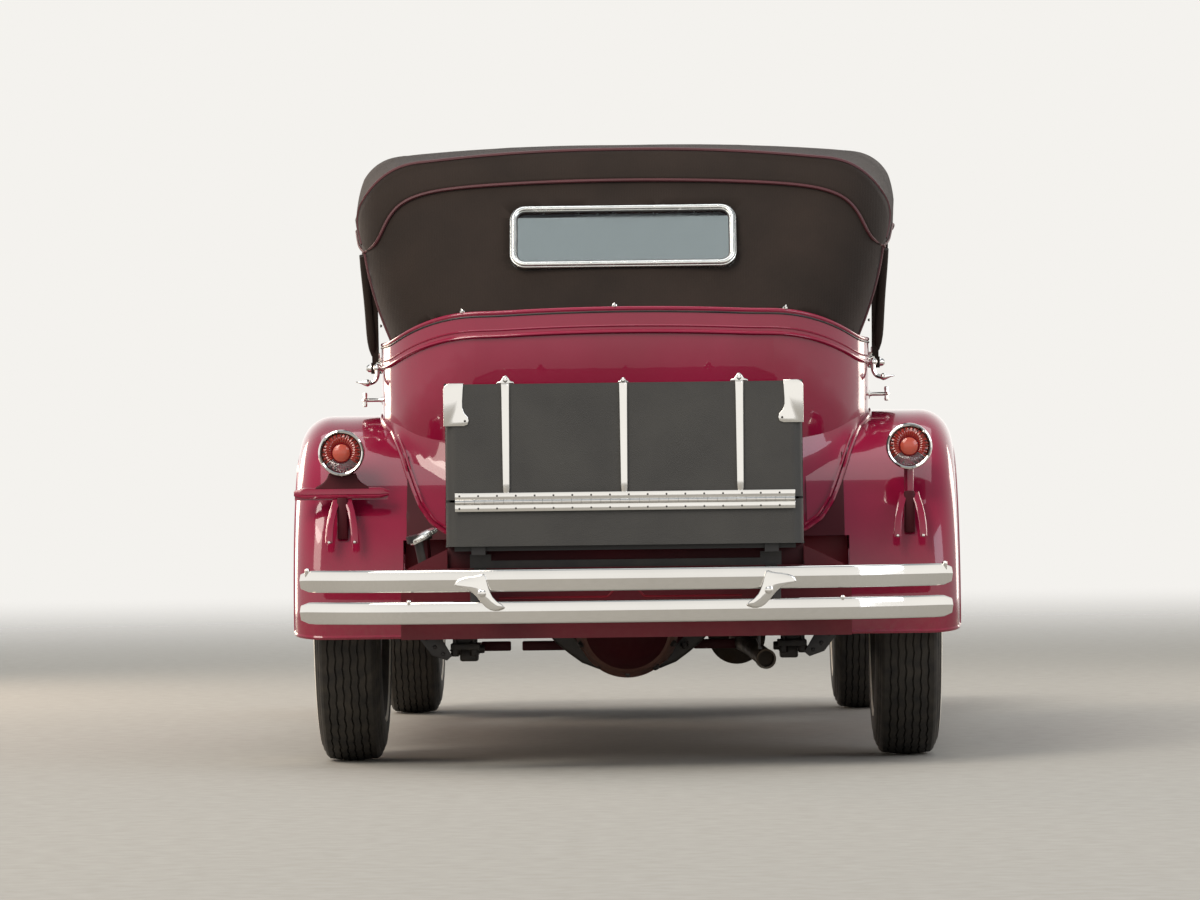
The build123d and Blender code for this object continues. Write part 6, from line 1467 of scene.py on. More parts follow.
# %% Filler cap
CAP_PLACE, CAP_UP = at(-0.527, -0.712, 0.613), Vector((-0.46, -0.06, 0.88))
bm = bmesh.new()
lathe(bm, mm((0, 11), (18, 10.5), (31, 8), (37.5, 4), (39, 0), (39, -5), (37, -8), (0, -8)),
      CAP_PLACE, CAP_UP, 40)
for angle in turns(20):
    rim = Vector((0.0388 * cos(angle), 0.0388 * sin(angle), -0.002))
    lathe(bm, mm((0, 4), (1.4, 3), (1.4, -3), (0, -4)), CAP_PLACE + aim(CAP_UP) @ rim, CAP_UP, 6)
into_object("filler_cap", bm, [satin_nickel], 34)
bm = bmesh.new()
bead(bm, [at(-0.524, -0.709, 0.607), at(-0.522, -0.708, 0.575), at(-0.52, -0.707, 0.545)],
     0.014, 16)
# the neck is in the body colour darkened as painted shade
into_object("filler_neck", bm, [painted_shade_lacquer])

# %% Axle cover, U-bolts and spring seats
axle_skin = skin_of("rear_axle")
COVER_X, COVER_Z = -0.004, 0.352
FLANGE = mm((112.5, 0), (115, 6.5), (118, 8), (132, 8), (135.5, 5.5), (136.5, 0))
BELL = mm((-262, 454), (-262, 384), (-232, 350), (-201, 315), (-165, 284), (-128, 257),
          (-85, 240), (-40, 231.5))
BELL += [(-x, z) for x, z in reversed(BELL)] + mm((150, 540), (-150, 540))
SHACKLE_PIN = mm((0, 20), (10, 20), (12, 16), (12, -16), (10, -20), (0, -20))
DOWN = (0, 0, -1)


def on_axle(across, up):
    """A place on the back of the axle housing, from the middle of its cover."""
    x, z = COVER_X + across, COVER_Z + up
    found, normal = touch(axle_skin, at(x, -0.6, z), (0, 1, 0))
    return (found, normal) if found else (at(x, -0.02, z), BEHIND)


bm = bmesh.new()
# the flange ring takes the lighter red brown enamel, a painted highlight
for vert in lathe(bm, FLANGE, (0, 0, 0), BEHIND, 64, 1):
    place, normal = on_axle(vert.co.x, vert.co.z)
    vert.co = place - normal * vert.co.y
for angle in turns(10, radians(18)):
    place, normal = on_axle(0.124 * cos(angle), 0.124 * sin(angle))
    nut(bm, place + normal * 0.007, normal, 0.015, 0.009)
nut(bm, at(0, -0.01, AXLE_Z - 0.1875), DOWN, 0.022, 0.01)
plate(bm, BELL, 0.026, 0.008, at(0, 0, 0))
for x, drop in ((0.15, 0.112), (0.198, 0.078)):
    nut(bm, at(x, -0.03, AXLE_Z - drop), (0.35, -0.2, -0.9), 0.017, 0.014)
for side in (-1, 1):
    for y in (-0.06, 0.06):
        for x in (0.4195, 0.4705):
            bead(bm, [at(side * x, y, 0.29), at(side * x, y, 0.472)], 0.0062, smooth=False)
            nut(bm, at(side * x, y, 0.2975), DOWN, 0.02, 0.018)
    for size, x, y, z, edge in (
            ((0.078, 0.16, 0.016), 0.443, 0, 0.306, 0.002),
            ((0.058, 0.11, 0.026), 0.445, 0, 0.3245, 0.002),
            ((0.05, 0.06, 0.034), 0.434, 0, 0.282, 0.006),
            ((0.064, 0.022, 0.012), 0.445, -0.4, 0.362, 0.002),
            ((0.064, 0.022, 0.012), 0.445, -0.4, 0.462, 0.002)):
        block(bm, size, at(side * x, y, z), edge)
    lathe(bm, SHACKLE_PIN, at(side * 0.412, -0.01, 0.298), (1, 0, 0), 14)
into_object("axle_fastenings", bm, [axle_enamel, flange_highlight_enamel], 34)

# %% Pipe clips, brackets, boards and the apron's pressing
bm = bmesh.new()
lathe(bm, mm((22.5, 1), (25.5, 1), (26.2, -2), (26.2, -30), (22.5, -30), (22.5, 1)),
      at(0.362, -0.7605, 0.284), (0.08, -1, 0), 32)
for y in (0.665, 1.375):
    lathe(bm, mm((77.5, -12), (81, -12), (81, 12), (77.5, 12), (77.5, -12)),
          at(0.3, y, 0.31), (0, 1, 0), 40)
into_object("exhaust_fittings", bm, [pipe_steel], 34)
STRAP = mm((-568, 348), (-505, 348), (-470, 288), (-484, 276), (-524, 290))
bm = bmesh.new()
for side in (-1, 1):
    plate(bm, [(side * x, z) for x, z in STRAP], 0.006, 0.0012, at(0, -0.3, 0))
    for x, z in mm((-538, 336), (-516, 312), (-494, 294)):
        screw(bm, at(side * x, -0.303, z), BEHIND, 0.006)
bead(bm, [at(0.345, -0.7, 0.308), at(0.345, -0.7, 0.346)], 0.0035, smooth=False)
bead(bm, [at(0.352, -0.706, 0.306), at(0.338, -0.703, 0.336)], 0.0022, smooth=False)
into_object("chassis_brackets", bm, [chassis_enamel], 34)
bm = bmesh.new()
block(bm, (0.926, 0.01, 0.062), at(0, -0.73, 0.5555), 0.002)
for x, length in ((-0.365, 0.082), (-0.218, 0.15), (0.236, 0.12)):
    block(bm, (length, 0.03, 0.026), at(x, 0.14, 0.301), 0.004)
# the closing board and the frame pieces are in the body colour darkened as painted shade
into_object("frame_closing_board", bm, [painted_shade_lacquer], 34)
SPLASH = mm((587, 470), (587, 716), (560, 722), (512, 640), (472, 612), (400, 602), (400, 470))
PRESSING = mm((-330, 450), (-60, 450), (-47, 451), (-38, 461), (-28, 471), (-16, 472.5),
              (16, 472.5), (28, 471), (38, 461), (47, 451), (60, 450), (350, 450))
bm = bmesh.new()
for side in (-1, 1):
    plate(bm, [(side * x, z) for x, z in SPLASH], 0.004, 0.001, at(0, -0.385, 0))
apron_skin = skin_of("rear_apron")
line = []
for start, end in zip(PRESSING, PRESSING[1:]):
    count = 6 if end[0] - start[0] > 0.1 else 2
    for k in range(count):
        x, z = Vector(start).lerp(Vector(end), k / count)
        line.append(touch(apron_skin, (x, -4, z), (0, 1, 0))[0])
bead(bm, [place for place in line if place], 0.0034)
into_object("tail_splash_plates", bm, [arch_lacquer], 34)
print("underside bits made")

# %% [markdown]
# ## Posts, rests and the window's frame
# The irons that hold the top up are wrapped in the top's cloth. A polished rest with a
# ball and a curved finger stands out of each body side, where the folded top would lie.

# %% Wrapped posts with their fittings
IRON_MIDDLE_X = 0.678
POST_COLUMNS = 14
POST_FOOT_SWELL = (0.42, 0.8, 0.96)
bm = bmesh.new()
for side in (-1, 1):
    foot, head = at(side * 0.684, -0.03, 1.098), at(side * 0.703, -0.091, 1.368)
    across = Vector((1, 0, 0))
    off = (head - foot).cross(across).normalized()

    def post_place(column, point):
        share = column / POST_COLUMNS
        swell = POST_FOOT_SWELL[column] if column < 3 else 1.0
        wave = 1 + 0.04 * sin(9 * share)
        return foot.lerp(head, share) + (across * point[0] * wave + off * point[1]) * swell
    carried(bm, POST_COLUMNS, oval(0.0128, 0.0195, 20, square=0.7), post_place)
into_object("post_covers", bm, [top_cloth], 50)
bm = bmesh.new()
for side in (-1, 1):
    for y, z in mm((-63, 1245), (-57, 1215), (-48, 1178)):
        lathe(bm, mm((0, 5.5), (3.2, 4.5), (4.5, 0), (0, 0)),
              at(side * (IRON_MIDDLE_X - 0.0145), y, z), (-side, 0, 0), 10, 1)
    block(bm, (0.012, 0.03, 0.04), at(side * 0.672, -0.022, 1.086), 0.003)
    lathe(bm, mm((0, 15), (6, 14), (10.5, 9), (12, 0), (12, -22), (0, -22)),
          at(side * 0.6895, -0.02, 1.064), (side, 0, 0), 18)
    nut(bm, at(side * 0.654, -0.046, 1.06), BEHIND, 0.013, 0.009)
    nut(bm, at(side * 0.67, -0.046, 1.07), BEHIND, 0.011, 0.009)
    bead(bm, [at(side * 0.652, -0.04, 1.055), at(side * 0.656, -0.045, 1.075),
              at(side * 0.666, -0.044, 1.09)], 0.005)
into_object("post_fittings", bm, [chrome, axle_enamel], 34)

# %% Top rests
BALL_RADIUS = 0.0112
FINGER = mm((0, -4), (-1, -16), (3, -30), (12, -39), (24, -41))
bm = bmesh.new()
for side in (-1, 1):
    out = Vector((side, 0, 0))
    foot = side_touch(tub_skin, side, REAR_AXLE_Y - 0.13, 1.0627)[0]
    ball = foot + out * 0.0125
    lathe(bm, half_circle(BALL_RADIUS), ball, out, 20)
    lathe(bm, mm((0, 4), (10, 4), (15.5, 1), (16, -6), (0, -6)), foot, out, 20)
    finger = [ball + Vector((side * x, -0.004, z)) for x, z in FINGER]
    bead(bm, finger, 0.0062, 12)
    lathe(bm, mm((6.5, 0), (10, 6), (9, 12), (3.5, 26), (1.2, 39), (0, 40)),
          finger[-1] - out * 0.004, (side, 0, 0.1), 14)
    foot = side_touch(tub_skin, side, REAR_AXLE_Y - 0.06, 0.977)[0]
    reach = 702 - 1000 * abs(foot.x)
    lathe(bm, mm((0, 3), (12, 3), (15, 0), (15, -4), (0, -4)), foot, out, 20)
    lathe(bm, mm((7.5, 0), (5.2, 10), (5, reach), (7.5, reach + 6), (0, reach + 14)), foot, out, 16)
    lathe(bm, mm((0, -19), (5, -18), (6.2, -13), (4.6, 0), (6.2, 15), (5, 20), (0, 21)),
          (side * 0.706, foot.y, 0.977), (0, 0.15, 1), 14)
into_object("top_rests", bm, [chrome], 40)

# %% Rear window frame
WINDOW_TILT = radians(28)
WINDOW_OUT = Vector((0, -cos(WINDOW_TILT), sin(WINDOW_TILT)))
WINDOW_UP = Vector((0, sin(WINDOW_TILT), cos(WINDOW_TILT)))
CORNER_STEPS = 8


def on_window(across, up, proud):
    """A place in the window's own plane, or proud of it."""
    return at(across, -0.306, 1.401) + WINDOW_UP * up + WINDOW_OUT * proud


def window_loop(half_width, half_height, corner, proud):
    """Places round a rounded rectangle in the window's plane."""
    line = []
    for start, right, top in ((0, 1, 1), (90, -1, 1), (180, -1, -1), (270, 1, -1)):
        for k in range(CORNER_STEPS + 1):
            angle = radians(start + 90 * k / CORNER_STEPS)
            line.append(on_window(right * (half_width - corner) + corner * cos(angle),
                                  top * (half_height - corner) + corner * sin(angle), proud))
    return line


bm = bmesh.new()
for loop, radius, finish in (((0.293, 0.0855, 0.0335, 0.0098), 0.007, 0),
                             ((0.299, 0.0915, 0.0395, 0.006), 0.0038, 0),
                             ((0.2846, 0.0771, 0.025, 0.006), 0.003, 1)):
    bead(bm, window_loop(*loop), radius, 12, smooth=False, closed=True, finish=finish)
for x in (-0.255, -0.085, 0.085, 0.255):
    for up in (-0.0855, 0.0855):
        screw(bm, on_window(x, up, 0.016), WINDOW_OUT, 0.003)
into_object("window_frame_beads", bm, [satin_nickel, chassis_enamel], 50)
print("posts, rests and window frame made")
# %% [markdown]
# ## Seats
# A stuffed cushion is not a rounded block. The cover is cut flat and the filling pushes
# it out, so the faces crown and the sides pull in between the corners. Here each cushion
# is a slightly small closed form, blown up as cloth under a little pressure with gravity
# off. The swelling is capped so that it stays clear of the body. The pleats come after.

# %% Cushion shapes
VOXEL = 0.013
PRESSURE = 4.0
FRAMES = 16


def prism(outline, half_width, edge):
    """A block with a side-view outline of (y, z) pairs and rounded edges."""
    bm = bmesh.new()
    face = bm.faces.new([bm.verts.new((-half_width, *at(0, y, z).yz)) for y, z in outline])
    moved = bmesh.ops.extrude_face_region(bm, geom=[face])["geom"]
    bmesh.ops.translate(bm, vec=(2 * half_width, 0, 0),
                        verts=[v for v in moved if isinstance(v, bmesh.types.BMVert)])
    bmesh.ops.recalc_face_normals(bm, faces=bm.faces)
    bmesh.ops.bevel(bm, geom=list(bm.edges), offset=edge, segments=4, profile=0.5,
                    affect="EDGES", material=-1)
    return bm


def stuffed(bm, cap, flat_test, inset=0.01):
    """Remeshes a closed form, blows it up as cloth, and returns a bmesh of the result."""
    mesh = bpy.data.meshes.new("pad")
    bm.to_mesh(mesh)
    bm.free()
    pad = bpy.data.objects.new("pad", mesh)
    scene = bpy.context.scene
    scene.collection.objects.link(pad)
    remesh = pad.modifiers.new("even mesh", "REMESH")
    remesh.mode = "VOXEL"
    remesh.voxel_size = VOXEL
    graph = bpy.context.evaluated_depsgraph_get()
    even = bpy.data.meshes.new_from_object(pad.evaluated_get(graph))
    pad.modifiers.clear()
    pad.data = even
    for vert, normal in zip(even.vertices, [v.normal.copy() for v in even.vertices]):
        vert.co -= normal * inset
    start = [v.co.copy() for v in even.vertices]
    cloth = pad.modifiers.new("stuffing", "CLOTH")
    cloth.settings.use_pressure = True
    cloth.settings.uniform_pressure_force = PRESSURE
    cloth.settings.effector_weights.gravity = 0.0
    cloth.settings.quality = 4
    cloth.point_cache.frame_start = 1
    cloth.point_cache.frame_end = FRAMES
    for frame in range(1, FRAMES + 1):
        scene.frame_set(frame)
    graph = bpy.context.evaluated_depsgraph_get()
    moved = [v.co.copy() for v in pad.evaluated_get(graph).data.vertices]
    pad.modifiers.clear()
    scene.frame_set(1)
    out = bmesh.new()
    out.from_mesh(even)
    for vert, first, last in zip(out.verts, start, moved):
        travel = last - first
        travel *= min(1.0, cap / max(travel.length, 1e-9))
        vert.co = first if flat_test(first) else first + travel
    bpy.data.objects.remove(pad)
    bmesh.ops.subdivide_edges(out, edges=list(out.edges), cuts=1, use_grid_fill=True, smooth=0.6)
    return out


def pleated(bm, spacing, depth, on_face, limit):
    """Presses sewn channels into the faces that on_face picks, square to the x axis."""
    bm.normal_update()
    moves = []
    for vert in bm.verts:
        share = on_face(vert.co, vert.normal)
        if share > 0 and abs(vert.co.x) < limit:
            wave = abs(sin(pi * vert.co.x / spacing))
            groove = exp(-(wave / 0.3) ** 2)
            fade = min(1.0, (limit - abs(vert.co.x)) / 0.03)
            moves.append((vert, vert.normal * (depth * fade * share * (0.35 * wave - groove))))
    for vert, move in moves:
        vert.co += move


def limited(value):
    """A share between 0 and 1."""
    return max(0.0, min(1.0, value))


# %% Cushions and backrests
PLEAT_DEPTH = 0.01
SEATS = {
    "front": {"cushion": mm((1319, 706), (1735, 706), (1735, 858), (1341, 822)), "width": 0.51,
              "edge": 0.032, "pleat": 0.078, "limits": (0.47, 0.476), "above": 0.8},
    "rear": {"cushion": mm((-66, 706), (550, 706), (550, 864), (-66, 830)), "width": 0.556,
             "edge": 0.034, "pleat": 0.08, "limits": (0.516, 0.5), "above": 0.83}}
FRONT_REST = mm((1245, 655), (1345, 672), (1327, 868), (1249, 1130), (1165, 1130))
REAR_REST_FACE = at(0, -0.0705, 0)
pads = {}
for end, cut in SEATS.items():
    bm = stuffed(prism(cut["cushion"], cut["width"], cut["edge"]), 0.024, lambda p: p.z < 0.708)
    pleated(bm, cut["pleat"], PLEAT_DEPTH, lambda p, n: limited(1.6 * n.z), cut["limits"][0])
    cushion = into_object(f"{end}_seat_cushion", bm, [seat_hide], 180)
    if end == "front":
        bm = stuffed(prism(FRONT_REST, 0.518, 0.03), 0.022, lambda p: p.z < 0.66)
    else:
        bm = bmesh.new()
        bm.from_mesh(nodes["rear_seat"].data)
        bmesh.ops.remove_doubles(bm, verts=bm.verts, dist=0.00001)
        whole = list(bm.verts) + list(bm.edges) + list(bm.faces)
        bmesh.ops.bisect_plane(bm, geom=whole, dist=0.00001, plane_co=REAR_REST_FACE,
                               plane_no=AHEAD, clear_outer=True)
        bmesh.ops.holes_fill(bm, edges=[e for e in bm.edges if e.is_boundary], sides=0)
        bm = stuffed(bm, 0.022, lambda p: p.y < REAR_AXLE_Y - 0.3 or p.z < 0.715, 0.011)
    pleated(bm, cut["pleat"], PLEAT_DEPTH,
            lambda p, n: limited(1.5 * n.y) if p.z > cut["above"] else 0.0, cut["limits"][1])
    rest = into_object(f"{end}_seat_backrest", bm, [seat_hide], 180)
    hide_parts(f"{end}_seat")
    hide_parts(f"{end}_seat")
    pads[end] = cushion, rest
    print(end, "seat:", len(cushion.data.polygons), "and", len(rest.data.polygons), "faces")

# %% Seat piping and the box under the front seat
bm = bmesh.new()
for seat, y, z, direction, half in (
        (pads["front"][0], 1.89, 1.018, (0, -1, -1), 0.505),
        (pads["rear"][0], 0.705, 1.022, (0, -1, -1), 0.548),
        (pads["front"][1], 1.515, 1.3, (0, -0.8, -0.6), 0.512),
        (pads["rear"][1], 0.05, 1.3, (0, -0.8, -0.6), 0.548)):
    skin = BVHTree.FromObject(seat, bpy.context.evaluated_depsgraph_get())
    rays = [(at(half * (k / 20 - 1), y, z), direction) for k in range(41)]
    piping_along(bm, skin, rays, 0.002, 0.0045)
into_object("seat_piping", bm, [piping_hide])
bm = bmesh.new()
block(bm, (1.0, 0.428, 0.194), at(0, 1.47, 0.603), 0.01, steps=3)
block(bm, (0.98, 0.006, 0.16), at(0, 1.686, 0.603), 0.002)
seat_box = into_object("front_seat_box", bm, [trunk_hide], 34)
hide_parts("front_seat")
print("seats made")

# %% [markdown]
# ## Driver's place
# The wheel's rim is cast rubber on a steel core, with finger bulges on the underside.
# Dials, pedals and levers are turned and bent parts, made with the same helpers.

# %% Steering wheel
WHEEL_CENTRE = at(-0.305, 1.655, 1.062)
DOWN_COLUMN = (at(-0.305, 2.45, 0.612) - WHEEL_CENTRE).normalized()
WHEEL_ACROSS = Vector((1, 0, 0))
WHEEL_UP = DOWN_COLUMN.cross(WHEEL_ACROSS).normalized()
RIM_COLUMNS = 96


def reach_at(angle):
    """The direction from the wheel's middle to a place on its rim."""
    return WHEEL_ACROSS * cos(angle) + WHEEL_UP * sin(angle)


def rim_place(column, turn):
    angle = 2 * pi * (column % RIM_COLUMNS) / RIM_COLUMNS
    out, bulge = reach_at(angle), 0.0012 * cos(24 * angle)
    radius = 0.0145 + bulge * max(0.0, sin(turn))
    return (WHEEL_CENTRE + out * (0.195 + 0.4 * bulge)
            + (out * cos(turn) + DOWN_COLUMN * sin(turn)) * radius)


bm = bmesh.new()
carried(bm, RIM_COLUMNS, turns(14), rim_place)
rim = into_object("steering_rim", bm, [rim_rubber], 60, "steering_handwheel")
bm = bmesh.new()
lathe(bm, mm((0, 36), (12, 35.5), (22, 32), (29, 26), (34, 16), (36, 4), (33, -12), (24, -26),
             (0, -26)), WHEEL_CENTRE, -DOWN_COLUMN, 36)
for angle in turns(4, pi / 4):
    reach = reach_at(angle)
    sideways = reach.cross(DOWN_COLUMN)

    def spoke_place(column, point):
        share = column / 10
        wide = 0.0125 - 0.0035 * sin(pi * min(1.0, share * 1.1))
        sink = 0.01 * (1 - share)
        return (WHEEL_CENTRE + reach * (0.026 + 0.16 * share) - DOWN_COLUMN * (0.004 - sink)
                + sideways * point[0] * wide + DOWN_COLUMN * point[1] * 0.0095)
    carried(bm, 10, oval(1, 1, 12), spoke_place)
spider = into_object("steering_spider", bm, [brushed_aluminium], 40,
                     "steering_handwheel")
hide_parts("steering_wheel")
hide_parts("steering_wheel")

# %% Dials, pedals and levers
DASH_Y = REAR_AXLE_Y + 1.912
bm = bmesh.new()
for x, z, radius in ((0, 1.015, 52), (-0.115, 1.012, 34), (0.115, 1.012, 34),
                     (0.205, 1.012, 26), (-0.205, 1.012, 26)):
    lathe(bm, mm((radius, 0), (radius + 4, 6), (radius + 1, 11), (radius - 4, 9),
                 (radius - 4, 3), (0, 3)), (x, DASH_Y, z), BEHIND, 40)
    for face in bm.faces:
        middle = face.calc_center_median()
        far = hypot(middle.x - x, middle.z - z)
        if far < (radius - 4) / 1000 and middle.y > DASH_Y - 0.005:
            face.material_index = 1
for x in (-0.3, 0.3, 0.36):
    lathe(bm, mm((0, 30), (8, 29), (11, 24), (9, 18), (4, 15), (4, 0), (0, 0)),
          (x, DASH_Y, 0.99), BEHIND, 16)
into_object("dashboard_dials", bm, [chrome, dial_black], 34)
bm = bmesh.new()
for x in (-0.395, -0.235):
    bead(bm, [at(x, 2.36, 0.56), at(x, 2.25, 0.64), at(x, 2.2, 0.69)], 0.0085)
    block(bm, (0.07, 0.056, 0.012), at(x, 2.195, 0.7), 0.004,
          Matrix.Rotation(radians(-52), 4, "X"))
bead(bm, [at(0.02, 1.86, 0.52), at(0.02, 1.83, 0.64), at(0.01, 1.76, 0.78)], 0.0085)
lathe(bm, half_circle(0.019), at(0.01, 1.757, 0.79), (0, -0.3, 1), 20)
bead(bm, [at(0.1, 1.92, 0.52), at(0.1, 1.86, 0.7)], 0.0075)
lathe(bm, mm((0, 60), (9, 57), (12, 50), (11, 0), (0, 0)), at(0.1, 1.862, 0.695),
      (0, -0.31, 0.95), 16)
into_object("pedals_and_levers", bm, [chassis_enamel], 40)
print("driver's place made")
# %% [markdown]
# ## Front of the car
# A headlamp lens is a shallow dome with upright flutes moulded inside. A grid is bent
# onto a disc, domed, and pressed into flutes by a cosine. The radiator's shutters are
# thin upright blades cut to the arch of the shell by rays.

# %% Headlamp lenses and rims
LENS_Y = FRONT_AXLE_Y + 0.234
HEADLAMP_X, HEADLAMP_Z = 0.288, 0.925
LENS_RADIUS, DOME, FLUTE_WIDTH = 0.1125, 0.02, 0.015
LENS_NET = 60
bm = bmesh.new()
for side in (-1, 1):
    def lens_place(column, row):
        u, v = column / LENS_NET * 2 - 1, row / LENS_NET * 2 - 1
        x, z = u * sqrt(1 - v * v / 2), v * sqrt(1 - u * u / 2)
        far = min(1.0, hypot(x, z))
        flute = 0.0011 * cos(2 * pi * x * LENS_RADIUS / FLUTE_WIDTH) * (1 - far ** 6)
        return (side * HEADLAMP_X + LENS_RADIUS * x, LENS_Y + DOME * (1 - far * far) + flute,
                HEADLAMP_Z + LENS_RADIUS * z)
    net(bm, LENS_NET, LENS_NET, lens_place)
bmesh.ops.solidify(bm, geom=list(bm.faces), thickness=0.003)
lenses = into_object("headlamp_glass", bm, [lamp_glass], 50)
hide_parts("headlamp_lenses")
HEADLAMP_RIM = mm((112, 5), (114.5, 9.5), (119, 10.5), (123.2, 8), (125, 2), (125, -18),
                  (122.5, -22), (122.5, -26))
bm = bmesh.new()
for side in (-1, 1):
    centre = Vector((side * HEADLAMP_X, LENS_Y, HEADLAMP_Z))
    lathe(bm, HEADLAMP_RIM, centre, AHEAD, 72)
    lathe(bm, mm((0, 14), (20, 13), (55, 6), (85, -12), (104, -30)),
          centre - AHEAD * 0.06, -AHEAD, 40, 1)
    lathe(bm, mm((0, 20), (9, 17), (13, 8), (10, 0), (0, 0)), centre - AHEAD * 0.046, AHEAD, 16, 1)
    nut(bm, centre + Vector((0, -0.008, -0.1255)), DOWN, 0.012, 0.012)
    block(bm, (0.02, 0.014, 0.016), centre + Vector((0, -0.01, 0.127)), 0.004)
into_object("headlamp_rims", bm, [chrome, brushed_aluminium], 34)

# %% Radiator shutters and cap
shell_skin, core_skin = skin_of("radiator_shell"), skin_of("radiator_core")
BLADE_TURN = Matrix.Rotation(radians(24), 4, "Z")
bm = bmesh.new()
blades = 0
for k in range(-15, 16):
    x = 0.0165 * k
    seen = []
    for z in [0.52 + 0.005 * n for n in range(120)]:
        core, shell = (touch(skin, (x, 3.0, z), BEHIND)[0] for skin in (core_skin, shell_skin))
        if core and (not shell or shell.y < core.y):
            seen.append(core)
    if len(seen) > 4:
        low, high, front = seen[0].z, seen[-1].z, max(place.y for place in seen)
        block(bm, (0.0022, 0.015, high - low - 0.004), (x, front + 0.0095, (low + high) / 2),
              0.0006, BLADE_TURN, 1)
        blades += 1
for z in (0.62, 0.78, 0.94):
    block(bm, (0.49, 0.004, 0.007), (0, front + 0.019, z), 0.001)
into_object("radiator_shutters", bm, [chassis_enamel], 30)
UP = (0, 0, 1)
CAP_RADIUS = 0.0372
cap = at(0, 3.3785, 1.163)
bm = bmesh.new()
lathe(bm, mm((0, 17.5), (14, 16.5), (26, 12), (34, 4), (37.2, 0), (37.2, -17.5), (34, -19.5)),
      cap, UP, 40)
for angle in turns(20):
    rib = Vector((CAP_RADIUS * cos(angle), CAP_RADIUS * sin(angle), -0.0085))
    lathe(bm, mm((0, 9.5), (3, 8), (3, -8), (0, -9.5)), cap + rib, UP, 8)
for side in (-1, 1):
    wing = mm((10, 14), (30, 22), (52, 18), (62, 10))
    bead(bm, [cap + Vector((side * x, 0, z)) for x, z in wing], 0.0048, 12)
into_object("radiator_cap", bm, [chrome], 34)
print("shutter blades:", blades)

# %% [markdown]
# ## Hood and doors
# The louvres are pressed out of the hood's sides, so each is a half teardrop that grows
# out of the sheet. Every row is a loop over one section. Each piece rides on the half
# of the hood or the door that it is fixed to.

# %% Hood louvres and catches
LOUVRES, LOUVRE_ROWS = 25, 10
LOUVRE = mm((-8.5, -1), (-8, 5.8), (-5.5, 7.8), (-1.5, 6.6), (3.5, 3.4), (8.5, -1))
CATCH_Z = 0.765
for hand, side in HANDS:
    hood_skin = skin_of(f"hood_{hand}")
    out = Vector((side, 0, 0))
    bm = bmesh.new()
    for k in range(LOUVRES):
        y = REAR_AXLE_Y + 2.455 + 0.0315 * k

        def louvre_place(column, point):
            share = column / LOUVRE_ROWS
            swell = sin(pi * share) ** 0.45 if 0 < column < LOUVRE_ROWS else 0.0
            sheet = side_touch(hood_skin, side, y + point[0], 0.795 + 0.135 * share)[0]
            return sheet + out * (point[1] * swell - 0.0004)
        carried(bm, LOUVRE_ROWS, LOUVRE, louvre_place)
    into_object(f"hood_louvres_{hand}", bm, [wine_lacquer], 40, f"hood_half_{hand}")
    bm = bmesh.new()
    for y in (2.48, 3.2):
        foot = side_touch(hood_skin, side, REAR_AXLE_Y + y, CATCH_Z)[0]
        block(bm, (0.004, 0.03, 0.036), foot + out * 0.002, 0.0015)
        lathe(bm, mm((0, 14), (7.5, 12), (8.5, 4), (8.5, 0), (0, 0)),
              foot + Vector((side * 0.002, 0, 0.008)), out, 16)
        bead(bm, [foot + Vector((side * a, b, c)) for a, b, c in (
            (0.013, 0, 0.008), (0.017, 0.002, -0.006), (0.015, 0.003, -0.019))], 0.0042, 12)
    middle = side_touch(hood_skin, side, REAR_AXLE_Y + 2.84, CATCH_Z)[0]
    grip = [middle + Vector((side * (0.002 + 0.02 * sin(pi * n / 8)),
                             0.11 * n / 8 - 0.055, 0)) for n in range(9)]
    bead(bm, grip, 0.0055, 12)
    into_object(f"hood_catches_{hand}", bm, [chrome], 34, f"hood_half_{hand}")
    print(hand, "louvres:", LOUVRES)

# %% Door levers
LEVER_COLUMNS = 16
LEVER_Z = 0.985
LEVER_FOOT_SWELL = (0.45, 0.85, 1.0)
ROSE = mm((0, 6), (14, 6), (20, 3.5), (21.5, -2), (0, -2))
SHANK = mm((12.5, 0), (9.8, 12), (9.2, 30), (10.5, 42), (13.5, 52), (12, 62), (0, 64))
for end, lever_x, lever_y in (("front", 0.575, 1.835), ("rear", 0.617, 1.078)):
    for hand, side in HANDS:
        shank = at(side * lever_x, lever_y, LEVER_Z)
        door_skin = skin_of(f"door_{end}_{hand}")
        base = side_touch(door_skin, side, shank.y + 0.02, 1.0)[0] or shank
        base = Vector((base.x, shank.y, LEVER_Z))

        def lever_place(column, point):
            share = column / LEVER_COLUMNS
            swell = LEVER_FOOT_SWELL[column] if column < 3 else 1.0 - 0.25 * share
            swell = 0.55 if column == LEVER_COLUMNS else swell
            out = 0.0525 + 0.0015 * sin(pi * share)
            return shank + Vector((side * out + point[0] * swell, 0.024 - 0.112 * share,
                                   point[1] * swell - 0.0035 * share))
        bm = bmesh.new()
        lathe(bm, ROSE, base, (side, 0, 0), 28)
        lathe(bm, SHANK, base, (side, 0, 0), 24)
        carried(bm, LEVER_COLUMNS, oval(0.0088, 0.0118, 16), lever_place)
        into_object(f"door_lever_{end}_{hand}", bm, [chrome], 34,
                    f"{end}_{hand}_door")
print("hood and door fittings made")

# %% [markdown]
# ## Running boards and windscreen
# Ribbed rubber mats lie on the running boards inside a rolled aluminium strip. The ribs
# are one section carried along, because a bump map would not show them from the side.

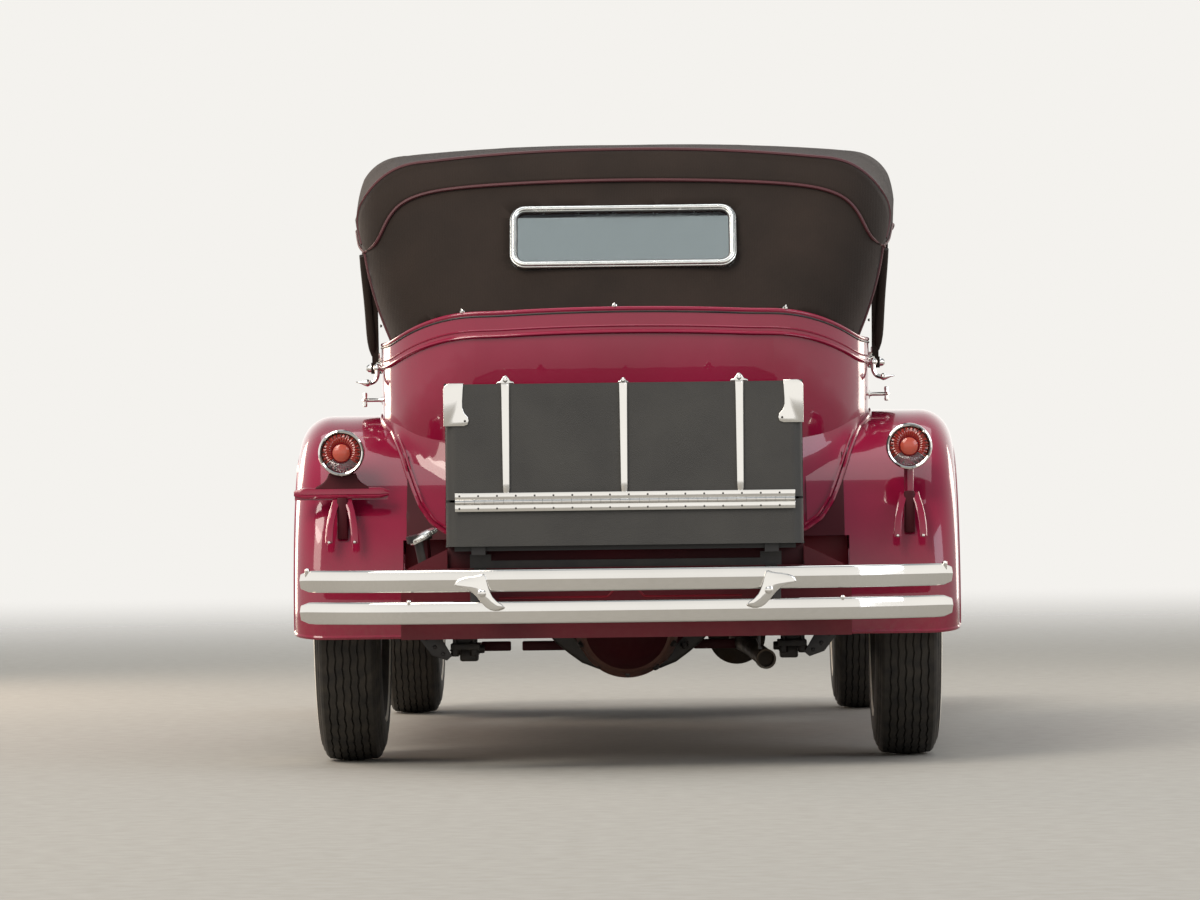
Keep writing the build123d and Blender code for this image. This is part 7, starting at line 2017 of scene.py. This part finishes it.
# %% Running-board mats
board_skin = skin_of("running_boards")
BOARD_TOP, BOARD_X = 0.372, 0.74
RIBS, RIB_STEP, MAT_X = 28, 0.0083, 0.628
RIB = mm((0, 0.4), (1.4, 4), (5, 4), (6.4, 0.4))
MAT = [(MAT_X + RIB_STEP * k + step, rise) for k in range(RIBS) for step, rise in RIB]
MAT += [(MAT_X + RIB_STEP * RIBS, -0.001), (MAT_X, -0.001)]
for hand, side in HANDS:
    covers = skin_of(f"fender_front_{hand}", f"fender_rear_{hand}")

    def is_bare(y):
        """Whether the board shows from above at a place along it."""
        over = (side * BOARD_X, y, 0.9)
        board = touch(board_skin, over, DOWN)[0]
        return (board and abs(board.z - BOARD_TOP) < 0.002
                and not touch(covers, over, DOWN)[0])
    bare = [y / 100 for y in range(-160, 200) if is_bare(y / 100)]
    back, front = min(bare) + 0.03, max(bare) - 0.03

    def edge_strip(ends, height, radius):
        line = [(side * x, y, BOARD_TOP + height) for x, y in ends]
        bead(bm, line, radius, 12, smooth=False)

    bm = bmesh.new()
    carried(bm, 8, MAT, lambda column, point: (
        side * point[0], back + (front - back) * column / 8, BOARD_TOP + point[1]))
    into_object(f"board_mat_{hand}", bm, [mat_rubber], 30)
    bm = bmesh.new()
    y0, y1 = back - 0.006, front + 0.006
    for ends in (((0.624, y0), (0.624, y1)), ((0.866, y0), (0.866, y1)),
                 ((0.624, y0), (0.866, y0)), ((0.624, y1), (0.866, y1))):
        edge_strip(ends, 0.003, 0.0052)
    edge_strip(((0.88, back - 0.02), (0.88, front + 0.02)), -0.004, 0.0048)
    into_object(f"board_trim_{hand}", bm, [brushed_aluminium], 34)
    print(hand, "mat from", round(back, 3), "to", round(front, 3))

# %% Windscreen fittings, wipers and mirror
SCREEN_Y = REAR_AXLE_Y + 1.985
bm = bmesh.new()
for side in (-1, 1):
    for z in (1.215, 1.372, 1.53):
        lathe(bm, mm((0, 20), (10, 19), (14.5, 14), (14.5, 4), (18, 2), (18, -4), (0, -4)),
              (side * 0.5985, SCREEN_Y, z), (side, 0, 0), 20)
    foot = side_touch(cowl_skin, side, SCREEN_Y, 1.02)[0]
    block(bm, (0.008, 0.066, 0.09), foot + Vector((side * 0.003, 0, 0)), 0.003)
    for z in (0.99, 1.05):
        screw(bm, (foot.x + side * 0.0068, SCREEN_Y, z), (side, 0, 0), 0.006)
    x = side * 0.49
    block(bm, (0.056, 0.034, 0.034), (x, SCREEN_Y - 0.028, 1.556), 0.006, steps=3)
    bead(bm, [(x - side * a, SCREEN_Y + b, z) for a, b, z in (
        (0, -0.01, 1.556), (0, 0.022, 1.556), (0.01, 0.024, 1.52), (0.045, 0.013, 1.415))],
        0.0032)
    block(bm, (0.008, 0.008, 0.2), (x - side * 0.048, SCREEN_Y + 0.0085, 1.405), 0.002,
          Matrix.Rotation(radians(18.4 * side), 4, "Y"), finish=1)
lathe(bm, mm((0, 8.5), (30, 7.5), (38, 4), (40, 0), (40, -4), (0, -4)),
      (-0.405, SCREEN_Y - 0.07, 1.5), AHEAD, 32)
bead(bm, [(-0.405, SCREEN_Y + y, z) for y, z in mm((-62, 1500), (-48, 1535), (-10, 1556))],
     0.0042)
into_object("windscreen_fittings", bm, [chrome, mat_rubber], 34)
print("windscreen fittings made")
